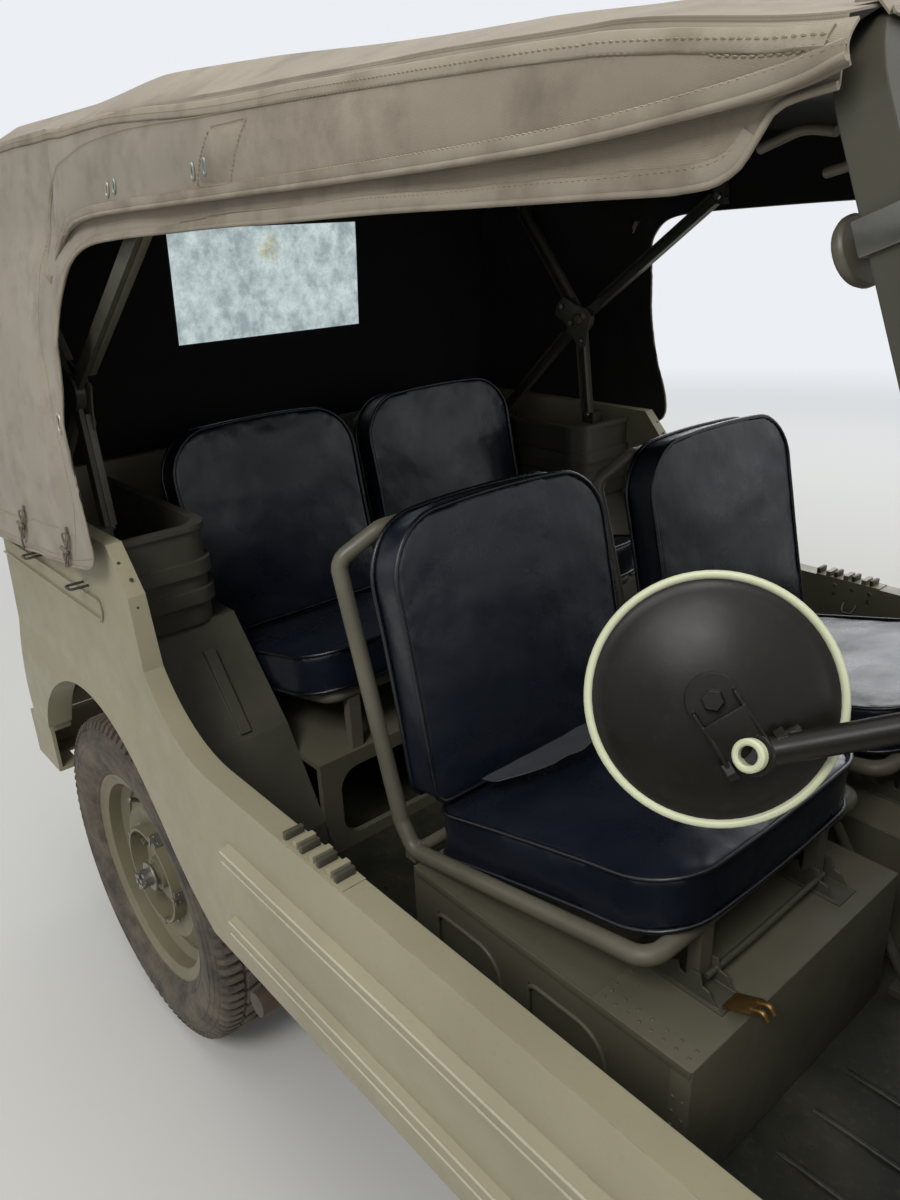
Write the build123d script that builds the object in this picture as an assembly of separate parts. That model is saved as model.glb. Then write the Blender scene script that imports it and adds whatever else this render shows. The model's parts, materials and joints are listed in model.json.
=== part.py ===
from build123d import *
import math
import os

# A light open army car with four seats and four driven wheels, its canvas hood up.
# X points forward, Y to the car's left and Z up, in millimetres. The origin is on the
# ground below the car's middle, halfway between the axles.

# Overall sizes
OVERHANG = 722.5
WHEELBASE = 2000
LENGTH = WHEELBASE + 2 * OVERHANG
TRACK = 1206
HITCH_REACH = 322.5
BUMPER_STANDOFF = 74.5
MOVING_GAP = 5
SEAT_GAP = 0.3

# Tyres and wheels
TYRE_RADIUS = 345
TYRE_WIDTH = 160
TREAD_WIDTH = 128
RIM_RADIUS = 222
RIM_WIDTH = 120
RIM_WELL_RADIUS = 186
RIM_WALL = 6
HUB_RING_RADIUS = 102
HUB_RING_OUT = 52
DRUM_RADIUS = 140
DRUM_DEPTH = 25
STUB_RADIUS = 20
CLIP_COUNT = 5

# Steering and suspension
KINGPIN_INSET = 75
KINGPIN_RADIUS = 12
STEER_ARM = 140
STEER_ARM_INSET = 60
TIE_ROD_RADIUS = 14
TIE_ROD_HEIGHT = 266
WISHBONE_HEIGHT = 250
WISHBONE_THICK = 24
WISHBONE_SPREAD = 90
SPRING_TOP = 520
SPRING_SAG = 56
LEAF_WIDTH = 60
LEAF_THICK = 8
SHAFT_RADIUS = 16
ENGINE_HALF = 200
ENGINE_LENGTH = 360
EXHAUST_HEIGHT = 330
SILENCER_RADIUS = 68
SILENCER_LENGTH = 330
AXLE_CASE_RADIUS = 105

# Chassis frame
RAIL_CENTRE = 300
RAIL_WIDTH = 50
RAIL_DEPTH = 80
FRAME_TOP = 465

# Body shell
SILL_BOTTOM = 478
SILL_TOP = 804
WAIST = 1100
COWL_TOP = 1085
NOSE_TOP = 992
SILL_HALF = 692
SIDE_DEPTH = 37
FOOT_PROUD = 3
BULGE_PROUD = 14
WAIST_INSET = 10
BULGE_HEIGHT = 640
FLOOR_THICK = 15
PANEL = 20
SHEET = 12
ARCH_TOP = 772
REAR_SKIRT = 580
COWL_REAR = 470
WING_REAR = 520
BONNET_REAR = 700
BONNET_HALF = 392
NOSE_DEPTH = 108
NOSE_CORNER = 90
NOSE_BROW = 60
BEAD_PROUD = 9
TAB_COUNT = 3
TAB_PITCH = 39
GRILLE_HALF = 300
GRILLE_BOTTOM = 640
GRILLE_TOP = 900
SLAT_COUNT = 7
LAMP_RADIUS = 88
MIRROR_RADIUS = 70

# Inside
SEAT_BOX_TOP = 692
SEAT_BOX_OUT = 512
SEAT_BOX_IN = 38
SEAT_BOX_REAR = -300
SEAT_BOX_FRONT = 176
HOUSE_IN = 450
HOUSE_TOP = 898
BIN_SINK = 20
BIN_IN = 480
REAR_BENCH_TOP = 675
BENCH_REACH = 360
SEAT_TUBE_RADIUS = 12
SEAT_WIDTH = 432
SEAT_CENTRE = 270
CUSHION_THICK = 85
BACK_THICK = 66
BACK_HEIGHT = 405
BACK_LEAN = 12
CUSHION_SLOPE = 13.9
DRIVER_Y = 330
STEERING_RADIUS = 200
STEERING_RIM = 12
COLUMN_RADIUS = 21

# Windscreen and hood
SCREEN_FOOT = 486
SCREEN_RAKE = 21.2
SCREEN_LENGTH = 600
SCREEN_THICK = 30
SCREEN_BORDER = 42
SCREEN_INSET = 27
SCREEN_CORNER = 60
GLASS_THICK = 5
CANVAS = 6
HOOD_RISE = 50
HOOD_CROWN = COWL_TOP + SCREEN_LENGTH + HOOD_RISE
HOOD_SEAM = HOOD_CROWN - 63
HOOD_SEAM_INSET = 22
HOOD_HEM = HOOD_CROWN - 151
HOOD_HEM_INSET = 11
HOOD_LAP = 103
HOOD_FRONT = 296
WINDOW_WIDTH = 460
WINDOW_HEIGHT = 212
WINDOW_DROP = 45

INNER_HALF = SILL_HALF - SIDE_DEPTH
FOOT_HALF = SILL_HALF + FOOT_PROUD
BULGE_HALF = SILL_HALF + BULGE_PROUD
WAIST_HALF = SILL_HALF - WAIST_INSET
SCREEN_HALF = INNER_HALF - SCREEN_INSET
HOOD_HEM_HALF = INNER_HALF - HOOD_HEM_INSET
HOOD_SEAM_HALF = HOOD_HEM_HALF - HOOD_SEAM_INSET
HOOD_FOOT_HALF = BULGE_HALF
HOOD_FOOT = WAIST - HOOD_LAP
WINDOW_TOP = HOOD_HEM - WINDOW_DROP
WINDOW_BOTTOM = WINDOW_TOP - WINDOW_HEIGHT
REAR = -WHEELBASE / 2
FRONT = WHEELBASE / 2
COLUMN_WAY = Vector(-0.8, 0, 0.6)
WHEEL_SPOT = Vector(COWL_REAR - 265, DRIVER_Y, COWL_TOP - 25)
TAIL = HITCH_REACH - LENGTH / 2
BUMPER_FACE = LENGTH / 2
NOSE = BUMPER_FACE - BUMPER_STANDOFF
WHEEL_Y = TRACK / 2
HUB_Z = TYRE_RADIUS
FLOOR = FRAME_TOP + FLOOR_THICK
BIN_TOP = WAIST - BIN_SINK
RAIL_OUT = RAIL_CENTRE + RAIL_WIDTH / 2
FRAME_BOTTOM = FRAME_TOP - RAIL_DEPTH
KINGPIN_Y = WHEEL_Y - KINGPIN_INSET
WING_FRONT = NOSE - NOSE_DEPTH
ENGINE_REAR = WING_FRONT - ENGINE_LENGTH
FIREWALL = WING_REAR + 40
TAB_REAR = REAR + BENCH_REACH + 295


def face_of(start, *steps):
    """A flat face. Each step is the next corner, or a via point and a corner for an arc."""
    edges = []
    here = start
    for step in steps:
        if isinstance(step[0], tuple):
            edges.append(ThreePointArc(here, step[0], step[1]))
            here = step[1]
        else:
            edges.append(Line(here, step))
            here = step
    if here != start:
        edges.append(Line(here, start))
    return make_face(edges)


def box(x0, x1, y0, y1, z0, z1):
    """A block between two opposite corners."""
    return Pos((x0 + x1) / 2, (y0 + y1) / 2, (z0 + z1) / 2) * Box(x1 - x0, y1 - y0, z1 - z0)


def along_x(face, x0, x1):
    """Extrude a face drawn in Y and Z between two stations along the car."""
    return extrude(Plane.YZ.offset(x0) * face, x1 - x0)


def along_y(face, y0, y1):
    """Extrude a face drawn in X and Z between two planes across the car."""
    return extrude(Plane.XZ.offset(-y1) * face, y1 - y0)


def along_z(face, z0, z1):
    """Extrude a face drawn in plan between two heights."""
    return extrude(Plane.XY.offset(z0) * face, z1 - z0)


def rod(start, end, radius):
    """A round bar between two points."""
    way = Vector(*end) - Vector(*start)
    return extrude(Plane(origin=start, z_dir=way) * Circle(radius), way.length)


def pipe(points, radius, bend):
    """A round tube along straight runs that are joined by arcs."""
    path = FilletPolyline(*points, radius=bend)
    return sweep(Plane(origin=path @ 0, z_dir=path % 0) * Circle(radius), path=path)


def spun(outline):
    """Revolve an outline of (radius, distance outboard) about the wheel's axis."""
    return revolve(face_of(*outline), Axis.Y)


def dome(radius, base, rise):
    """Outline steps of a spherical cap from its edge at a radius to its crown on the axis."""
    ball = (radius ** 2 + rise ** 2) / (2 * rise)
    middle = base + rise - ball + math.sqrt(ball ** 2 - radius ** 2 / 4)
    return (radius / 2, middle), (0, base + rise)


def right_of(shape):
    """The same piece on the other side of the car."""
    return mirror(shape, about=Plane.XZ)


def both(shape):
    """The piece and its opposite hand."""
    return shape + right_of(shape)


def at_wheel(shape, x, side):
    """Put a piece made about the wheel's centre at an axle, on the left (1) or right (-1)."""
    turned = shape if side > 0 else right_of(shape)
    return Pos(x, side * WHEEL_Y, HUB_Z) * turned


# Tyre and wheel, drawn about the wheel's centre with Y outboard

def make_tyre():
    """Tyre out to the tips of its tread."""
    half = TYRE_WIDTH / 2
    tread = TREAD_WIDTH / 2
    bead = RIM_WIDTH / 2 - 9
    shoulder = TYRE_RADIUS - 14
    return spun([
        (RIM_RADIUS - 17, -bead), (RIM_RADIUS - 5, -bead - 4), (RIM_RADIUS + 1, -bead - 10),
        ((RIM_RADIUS + 52, -half), (shoulder, -tread - 4)), (TYRE_RADIUS - 2, -tread + 14),
        (TYRE_RADIUS, -tread + 30), (TYRE_RADIUS, tread - 30), (TYRE_RADIUS - 2, tread - 14),
        (shoulder, tread + 4), ((RIM_RADIUS + 52, half), (RIM_RADIUS + 1, bead + 10)),
        (RIM_RADIUS - 5, bead + 4), (RIM_RADIUS - 17, bead)])


def make_wheel():
    """Pressed wheel with a dished disc, its out-turned hub ring, brake drum and hub."""
    half = RIM_WIDTH / 2
    seat = RIM_RADIUS - 18
    crest = [(RIM_RADIUS, -half), (RIM_RADIUS - 6, -half + 4), (seat, -half + 8), (seat - 1, -half + 26),
             (RIM_WELL_RADIUS, -half + 36), (RIM_WELL_RADIUS, half - 46), (seat - 1, half - 34),
             (seat, half - 8), (RIM_RADIUS - 6, half - 4), (RIM_RADIUS, half)]
    under = [(radius - RIM_WALL, out) for radius, out in reversed(crest)]
    rim = spun(crest + under)
    ring = HUB_RING_RADIUS
    lip = HUB_RING_OUT
    bore = STUB_RADIUS + SEAT_GAP
    disc = spun([
        (RIM_WELL_RADIUS - 1, -2), (RIM_WELL_RADIUS - 1, 8), ((166, 15), (ring + 38, 33)),
        (ring, 26), (ring, lip), (ring - RIM_WALL, lip), (ring - RIM_WALL, 18), (62, 18), (62, 30),
        (34, 30), (34, 42), (22, 42), (22, lip + 3), (0, lip + 3), (0, 20), (bore, 20),
        (bore, -DRUM_DEPTH), (DRUM_RADIUS, -DRUM_DEPTH), (DRUM_RADIUS, -2)])
    clip = box(-5, 5, 12, 30, ring - 24, ring - RIM_WALL + 1)
    clips = [Rot(0, k * 360 / CLIP_COUNT, 0) * clip for k in range(CLIP_COUNT)]
    return rim + disc + clips


def make_hub_carrier(steers):
    """Upright with its brake plate, stub axle and pin bores, and a steering arm behind the axle."""
    inset = -KINGPIN_INSET
    foot = WISHBONE_HEIGHT + WISHBONE_THICK / 2 + SEAT_GAP - HUB_Z
    head = SPRING_TOP - SPRING_SAG - LEAF_THICK * 3 - SEAT_GAP - HUB_Z
    plate_in = -DRUM_DEPTH - MOVING_GAP - 7
    plate_out = -DRUM_DEPTH - MOVING_GAP
    post = Pos(0, inset, foot) * Cylinder(20, head - foot, align=(Align.CENTER, Align.CENTER, Align.MIN))
    plate = spun([(0, plate_in), (DRUM_RADIUS, plate_in), (DRUM_RADIUS, plate_out), (0, plate_out)])
    boss = spun([(0, inset), (42, inset), (42, plate_in), (0, plate_in)])
    stub = spun([(0, plate_out), (STUB_RADIUS + 14, plate_out), (STUB_RADIUS + 14, -DRUM_DEPTH - 0.5),
                 (STUB_RADIUS, -DRUM_DEPTH - 0.5), (STUB_RADIUS, 19.5), (0, 19.5)])
    carrier = post + plate + boss + stub
    if steers:
        low = TIE_ROD_HEIGHT + TIE_ROD_RADIUS + 2 + SEAT_GAP - HUB_Z
        eye = inset + KINGPIN_INSET - STEER_ARM_INSET - KINGPIN_INSET
        arm = face_of((-18, inset - 16), (18, inset - 16), (18, inset), (-18, inset),
                      (-STEER_ARM + 8, eye + 16), ((-STEER_ARM - 16, eye), (-STEER_ARM + 4, eye - 16)))
        carrier += along_z(arm, low, low + 16)
    for z in (foot, head):
        carrier -= Pos(0, inset, z) * Cylinder(KINGPIN_RADIUS + SEAT_GAP, 44)
    return carrier


# Running gear

def make_chassis_frame():
    """Ladder frame: two rails, cross-members, spring saddles, wishbone hangers and rack hanger."""
    rear_end = TAIL - 40
    rail = box(rear_end, NOSE - 40, RAIL_CENTRE - RAIL_WIDTH / 2, RAIL_OUT, FRAME_BOTTOM, FRAME_TOP)
    frame = both(rail)
    # Each cross-member: centre along the car, width along the car, bottom height
    members = [(rear_end + 20, 40, FRAME_BOTTOM), (REAR + 220, 60, FRAME_BOTTOM), (-100, 60, FRAME_BOTTOM),
               (560, 60, FRAME_BOTTOM + 20), (NOSE - 68, 50, FRAME_BOTTOM)]
    for x, width, bottom in members:
        frame += box(x - width / 2, x + width / 2, -RAIL_CENTRE, RAIL_CENTRE, bottom, FRAME_TOP)
    saddle_top = SPRING_TOP - 5 * LEAF_THICK - 3 - SEAT_GAP
    for axle in (REAR, FRONT):
        frame += box(axle - 45, axle + 45, -RAIL_CENTRE, RAIL_CENTRE, FRAME_TOP - 13, FRAME_TOP - 2)
        frame += box(axle - 45, axle + 45, -60, 60, FRAME_TOP - 3, saddle_top)
        for spread in (-WISHBONE_SPREAD, WISHBONE_SPREAD):
            x = axle + spread
            foot = WISHBONE_HEIGHT - 16
            hanger = box(x - 14, x + 14, RAIL_CENTRE - 25, RAIL_CENTRE - 5, foot, FRAME_TOP - 4)
            frame += both(hanger)
    rack_x = FRONT - STEER_ARM
    frame += box(rack_x - 12, rack_x + 12, -RAIL_CENTRE, RAIL_CENTRE, FRAME_TOP - 20, FRAME_TOP)
    for y in (-150, 150):
        frame += box(rack_x - 10, rack_x + 10, y - 10, y + 10, TIE_ROD_HEIGHT, FRAME_TOP - 10)
    frame += Pos(rack_x, 0, TIE_ROD_HEIGHT) * Rot(90, 0, 0) * Cylinder(TIE_ROD_RADIUS + 10, 360)
    frame -= Pos(rack_x, 0, TIE_ROD_HEIGHT) * Rot(90, 0, 0) * Cylinder(TIE_ROD_RADIUS + SEAT_GAP, 400)
    return frame


def make_leaf_springs():
    """Two transverse leaf springs, clamped on the frame, with an end pad and pin at each upright."""
    springs = Part()
    # Each leaf: half length
    leaves = [KINGPIN_Y, 430, 335, 240, 145]
    pad_low = SPRING_TOP - SPRING_SAG - 3 * LEAF_THICK
    for axle in (REAR, FRONT):
        pack = Part()
        for k, half in enumerate(leaves):
            top = SPRING_TOP - k * LEAF_THICK
            end = top - SPRING_SAG * (half / KINGPIN_Y) ** 2
            low = LEAF_THICK + 0.5 if k < len(leaves) - 1 else LEAF_THICK
            pack += along_x(face_of((-half, end), ((0, top), (half, end)), (half, end - low),
                                    ((0, top - low), (-half, end - low))),
                            axle - LEAF_WIDTH / 2, axle + LEAF_WIDTH / 2)
        for side in (-1, 1):
            spot = Pos(axle, side * KINGPIN_Y, pad_low)
            low_align = (Align.CENTER, Align.CENTER, Align.MIN)
            high_align = (Align.CENTER, Align.CENTER, Align.MAX)
            pack += spot * Cylinder(26, 3 * LEAF_THICK - 2, align=low_align)
            pack += spot * Cylinder(KINGPIN_RADIUS, 20, align=high_align)
        pack += box(axle - 36, axle + 36, -60, 60, SPRING_TOP - 4, SPRING_TOP + 14)
        under = SPRING_TOP - 4 * LEAF_THICK
        pack += box(axle - 36, axle + 36, -60, 60, under - LEAF_THICK - 3, under)
        springs += pack
    return springs


def make_wishbones():
    """Four lower wishbones, each a forked plate with a pin up into its upright."""
    low = WISHBONE_HEIGHT - WISHBONE_THICK / 2
    high = WISHBONE_HEIGHT + WISHBONE_THICK / 2
    root = RAIL_CENTRE - 5 + SEAT_GAP
    plate = face_of((-WISHBONE_SPREAD - 15, root), (-WISHBONE_SPREAD + 15, root),
                    (-14, KINGPIN_Y - 60), (14, KINGPIN_Y - 60), (WISHBONE_SPREAD - 15, root),
                    (WISHBONE_SPREAD + 15, root), (24, KINGPIN_Y + 6),
                    ((0, KINGPIN_Y + 26), (-24, KINGPIN_Y + 6)))
    arm = along_z(plate, low, high)
    upward = (Align.CENTER, Align.CENTER, Align.MIN)
    arm += Pos(0, KINGPIN_Y, high) * Cylinder(KINGPIN_RADIUS, 20, align=upward)
    arms = Part()
    for axle in (REAR, FRONT):
        arms += Pos(axle, 0, 0) * arm
        arms += Pos(axle, 0, 0) * right_of(arm)
    return arms


def make_drive_units():
    """Front gearbox with its axle drive, and the rear axle drive, one case at each axle."""
    # Each case: axle, radius of its neck, start and end of its nose along the car, nose radius
    cases = [(FRONT, 46, FRONT - 178, FRONT - 360, 78), (REAR, 46, REAR + 120, REAR + 190, 52)]
    units = Part()
    for axle, neck, nose_start, nose_end, radius in cases:
        case = Pos(axle, 0, HUB_Z) * Rot(90, 0, 0) * Cylinder(AXLE_CASE_RADIUS, 170)
        case += rod((axle, -135, HUB_Z), (axle, 135, HUB_Z), 34)
        case += rod((axle, 0, HUB_Z), (nose_end, 0, HUB_Z), neck)
        case += rod((nose_start, 0, HUB_Z), (nose_end, 0, HUB_Z), radius)
        units += case
    return units


def make_drive_shafts():
    """Propeller shaft with its flanges, and four half shafts with their joint bells."""
    start = REAR + 190
    end = FRONT - 360
    shafts = rod((start, 0, HUB_Z), (end, 0, HUB_Z), 24)
    for a, b in ((start, start + 14), (end - 14, end)):
        shafts += rod((a, 0, HUB_Z), (b, 0, HUB_Z), 34)
    for axle in (REAR, FRONT):
        for side in (-1, 1):
            shafts += rod((axle, side * 135, HUB_Z), (axle, side * (KINGPIN_Y - 32), HUB_Z), SHAFT_RADIUS)
            shafts += rod((axle, side * (KINGPIN_Y - 80), HUB_Z), (axle, side * (KINGPIN_Y - 32), HUB_Z), 36)
            shafts += rod((axle, side * 135, HUB_Z), (axle, side * 175, HUB_Z), 36)
    return shafts


def make_tie_rod():
    """Track rod that slides through the rack case, with an eye below each steering arm."""
    x = FRONT - STEER_ARM
    end = KINGPIN_Y - STEER_ARM_INSET
    bar = rod((x, -end, TIE_ROD_HEIGHT), (x, end, TIE_ROD_HEIGHT), TIE_ROD_RADIUS)
    for side in (-1, 1):
        bar += Pos(x, side * end, TIE_ROD_HEIGHT) * Cylinder(16, 2 * TIE_ROD_RADIUS + 4)
    return bar


def make_exhaust():
    """Pipe from the engine's rear face, a drum silencer with its hanger, and a side outlet."""
    y = 10 - ENGINE_HALF
    z = EXHAUST_HEIGHT
    high = FRAME_BOTTOM + 20
    front = REAR + 850
    back = front - SILENCER_LENGTH
    climb = ENGINE_REAR - 360
    pipe_in = pipe([(front, y, z), (climb - 120, y, z), (climb, y, high), (ENGINE_REAR, y, high)], 22, 70)
    silencer = rod((back, y, z), (front, y, z), SILENCER_RADIUS)
    outlet = pipe([(back, y, z), (back - 76, y, z), (back - 76, -INNER_HALF - 13, z + 15)], 22, 60)
    strap = front - 150
    hanger = box(strap - 10, strap + 10, y - 10, y + 10, z + SILENCER_RADIUS - 8, FRAME_TOP)
    return pipe_in + silencer + outlet + hanger


def make_engine_block():
    """The engine as one block on two feet, ahead of the front axle."""
    block = box(ENGINE_REAR, WING_FRONT, -ENGINE_HALF, ENGINE_HALF, FRAME_BOTTOM - 85, NOSE_TOP - 142)
    feet = box(ENGINE_REAR + 60, WING_FRONT - 60, -RAIL_CENTRE, RAIL_CENTRE, FRAME_TOP, FRAME_TOP + 24)
    return block + feet


def make_radiator():
    """Upright radiator behind the engine, on two feet on the frame."""
    front = ENGINE_REAR - 60
    half = GRILLE_HALF - 30
    core = box(front - 60, front, -half, half, GRILLE_BOTTOM - 80, GRILLE_TOP)
    feet = box(front - 50, front - 10, half - 10, half + 30, FRAME_TOP, GRILLE_BOTTOM - 40)
    return core + both(feet)


# Body shell

def side_section(inner):
    """Cross section of the body side from its foot to the waist, out from an inner plane."""
    return face_of((inner, SILL_BOTTOM), (FOOT_HALF, SILL_BOTTOM),
                   ((BULGE_HALF, BULGE_HEIGHT), (SILL_HALF, SILL_TOP)), (WAIST_HALF, WAIST),
                   (inner, WAIST))


def arch_steps(axle, way):
    """Wheel arch from its end by the skirt (way 1) over the wheel to the sill, as outline steps."""
    end = (axle - way * 312, REAR_SKIRT)
    top = (axle - way * 30, ARCH_TOP)
    knee = (axle + way * 302, REAR_SKIRT + 12)
    sill = (axle + way * 386, SILL_BOTTOM)
    return end, ((axle - way * 222, ARCH_TOP - 68), top), ((axle + way * 176, ARCH_TOP - 58), knee), sill


def make_side_panel():
    """Left body side: sill, open waist, curved quarter, wheel arch, beads and strap tabs."""
    front = (COWL_REAR + 20, COWL_TOP)
    outline = face_of(
        (TAIL, REAR_SKIRT), *arch_steps(REAR, 1), (WING_REAR, SILL_BOTTOM), (WING_REAR, COWL_TOP), front,
        (COWL_REAR - 10, SILL_TOP + 126), ((COWL_REAR - 52, SILL_TOP + 36), (COWL_REAR - 140, SILL_TOP)),
        (REAR + 454, SILL_TOP), ((REAR + 345, SILL_TOP + 28), (REAR + 262, SILL_TOP + 106)),
        (REAR + 240, WAIST - 72), (REAR + 178, WAIST), (TAIL, WAIST))
    side = along_x(side_section(INNER_HALF), TAIL, WING_REAR) & along_y(outline, INNER_HALF, BULGE_HALF + 10)
    # Each bead: rear end, lower edge, upper edge
    beads = [(REAR + 498, SILL_TOP - 118, SILL_TOP - 74), (REAR + 489, SILL_TOP - 256, SILL_TOP - 207)]
    for rear_end, low, high in beads:
        ridge = face_of((SILL_HALF - 8, low), (BULGE_HALF - 2, low), (BULGE_HALF + BEAD_PROUD - 1, low + 14),
                        (BULGE_HALF + BEAD_PROUD, high - 12), (BULGE_HALF - 3, high), (SILL_HALF - 8, high))
        bar = along_x(ridge, rear_end, WING_REAR - 24)
        ends = face_of((rear_end + 16, low), (rear_end, (low + high) / 2), (rear_end + 16, high),
                       (WING_REAR - 36, high), (WING_REAR - 24, (low + high) / 2), (WING_REAR - 36, low))
        side += bar & along_y(ends, SILL_HALF - 20, BULGE_HALF + 20)
    # Strap tabs that stand on the sill flange, by their place along the car
    for k in range(TAB_COUNT):
        x = TAB_REAR + 27 + k * TAB_PITCH
        side += box(x - 5, x + 5, INNER_HALF + 1, SILL_HALF - 5, SILL_TOP - 1, SILL_TOP + 12)
    side += box(TAB_REAR, TAB_REAR + 139, INNER_HALF, SILL_HALF - 2, SILL_TOP - 1, SILL_TOP + 2)
    return side


def top_at(x):
    """Height of the wing tops, which fall evenly from the cowl to the nose."""
    return COWL_TOP - (COWL_TOP - NOSE_TOP) * (x - WING_REAR) / (WING_FRONT - WING_REAR)


def make_front_wing():
    """Left front wing: side with its arch, flat top, rear wall and the stepped engine apron."""
    arch = list(arch_steps(FRONT, -1))
    arch.reverse()
    sill = arch[0]
    rise = (arch[2][1], arch[1][0])
    crown = (arch[2][0], arch[3])
    outer = face_of((WING_REAR, SILL_BOTTOM), sill, (FRONT - 302, 592), ((FRONT - 176, 714), rise[0]),
                    crown, (WING_FRONT, REAR_SKIRT), (WING_FRONT, NOSE_TOP), (WING_REAR, COWL_TOP))
    body = along_x(side_section(INNER_HALF - 8), WING_REAR, WING_FRONT) & along_y(outer, 0, BULGE_HALF + 10)
    lid = face_of((WING_REAR, COWL_TOP - PANEL), (WING_FRONT, NOSE_TOP - PANEL), (WING_FRONT, NOSE_TOP),
                  (WING_REAR, COWL_TOP))
    top = along_y(lid, BONNET_HALF, INNER_HALF + 2)
    knee = BULGE_HEIGHT
    foot = RAIL_OUT - SHEET
    apron_face = face_of((foot, FRAME_TOP), (RAIL_OUT, FRAME_TOP), (RAIL_OUT, knee - 80),
                         (BONNET_HALF + SHEET, knee), (BONNET_HALF + SHEET, WAIST), (BONNET_HALF, WAIST),
                         (BONNET_HALF, knee + 6), (foot, knee - 74))
    below_top = face_of((WING_REAR, FRAME_TOP), (WING_FRONT, FRAME_TOP), (WING_FRONT, NOSE_TOP - 1),
                        (WING_REAR, COWL_TOP - 1))
    apron = along_x(apron_face, FIREWALL + SHEET, WING_FRONT) & along_y(below_top, 0, BULGE_HALF)
    for x in (FRONT, FRONT + 90):
        apron -= box(x - 50, x + 50, RAIL_CENTRE - 60, RAIL_OUT + 20, FRAME_TOP - 10, SPRING_TOP + 50)
    wall = box(WING_REAR, WING_REAR + PANEL, BONNET_HALF, INNER_HALF, FLOOR, COWL_TOP - 4)
    return body + top + apron + wall


def make_nose_panel():
    """Rounded nose with a slatted grille, two lamp holes and the bonnet's front ledge."""
    def shell(inset):
        solid = box(WING_FRONT - 100, NOSE - inset, -SILL_HALF + inset, SILL_HALF - inset,
                    REAR_SKIRT, NOSE_TOP - inset)
        corners = solid.edges().filter_by(Axis.Z).group_by(Axis.X)[-1]
        solid = fillet(corners, NOSE_CORNER - inset)
        top = solid.faces().sort_by(Axis.Z)[-1]
        front = top.edges().group_by(lambda edge: edge.center().X > WING_FRONT + 20)[-1]
        solid = fillet(front, NOSE_BROW - inset)
        return solid & box(WING_FRONT, NOSE + 1, -SILL_HALF - 1, SILL_HALF + 1, REAR_SKIRT, NOSE_TOP)

    nose = shell(0) - shell(PANEL)
    nose -= box(NOSE - PANEL - 1, NOSE + 1, -GRILLE_HALF, GRILLE_HALF, GRILLE_BOTTOM, GRILLE_TOP)
    pitch = (GRILLE_TOP - GRILLE_BOTTOM) / SLAT_COUNT
    for k in range(SLAT_COUNT):
        z = GRILLE_BOTTOM + pitch * (k + 0.5)
        blade = face_of((NOSE - 18, z + 9), (NOSE - 14, z + 12), (NOSE - 1, z - 8), (NOSE - 5, z - 11))
        nose += along_y(blade, -GRILLE_HALF - 2, GRILLE_HALF + 2)
    for y in (-GRILLE_HALF / 3, GRILLE_HALF / 3):
        nose += box(NOSE - 16, NOSE - 7, y - 5, y + 5, GRILLE_BOTTOM - 2, GRILLE_TOP + 2)
    for side in (-1, 1):
        y = side * LAMP_Y
        nose -= rod((NOSE - 60, y, LAMP_Z), (NOSE + 10, y, LAMP_Z), LAMP_RADIUS + SEAT_GAP)
    ledge_top = top_at(WING_FRONT) - PANEL - SEAT_GAP
    nose += box(WING_FRONT - 40, WING_FRONT + 30, -BONNET_HALF, BONNET_HALF, ledge_top - 14, ledge_top)
    nose += box(WING_FRONT + 2, WING_FRONT + 30, -BONNET_HALF, BONNET_HALF, ledge_top - 1, ledge_top + 5)
    return nose


LAMP_Y = GRILLE_HALF + LAMP_RADIUS + 90
LAMP_Z = (GRILLE_BOTTOM + GRILLE_TOP) / 2 + 70


def make_bonnet():
    """Raised lid over the engine, crowned across, with two hinge eyes at its rear edge."""
    half = BONNET_HALF - MOVING_GAP
    rear = BONNET_REAR + MOVING_GAP
    front = WING_FRONT - MOVING_GAP
    sections = []
    for x in (rear, front):
        base = top_at(x) - PANEL
        edge = top_at(x) + 10
        section = face_of((-half, base), (half, base), (half, edge), ((0, edge + 22), (-half, edge)))
        sections.append(Plane.YZ.offset(x) * section)
    lid = loft(sections)
    hollow = []
    for x in (rear + 24, front - 24):
        base = top_at(x) - PANEL
        edge = top_at(x) - 4
        section = face_of((-half + 24, base - 5), (half - 24, base - 5), (half - 24, edge),
                          ((0, edge + 22), (-half + 24, edge)))
        hollow.append(Plane.YZ.offset(x) * section)
    lid -= loft(hollow)
    for side in (-1, 1):
        y = side * HINGE_Y
        lid -= box(rear - 1, rear + 16, y - 46, y + 46, WAIST - 100, WAIST + 20)
        lid += rod((HINGE_X, y - 12, HINGE_Z), (HINGE_X, y + 12, HINGE_Z), 11)
        lid += box(HINGE_X, rear + 30, y - 12, y + 12, HINGE_Z + 2, HINGE_Z + 11)
        lid -= rod((HINGE_X, y - 40, HINGE_Z), (HINGE_X, y + 40, HINGE_Z), 5 + SEAT_GAP)
    return lid


HINGE_Y = 240
HINGE_X = BONNET_REAR + MOVING_GAP
HINGE_Z = top_at(BONNET_REAR) + 14


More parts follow.
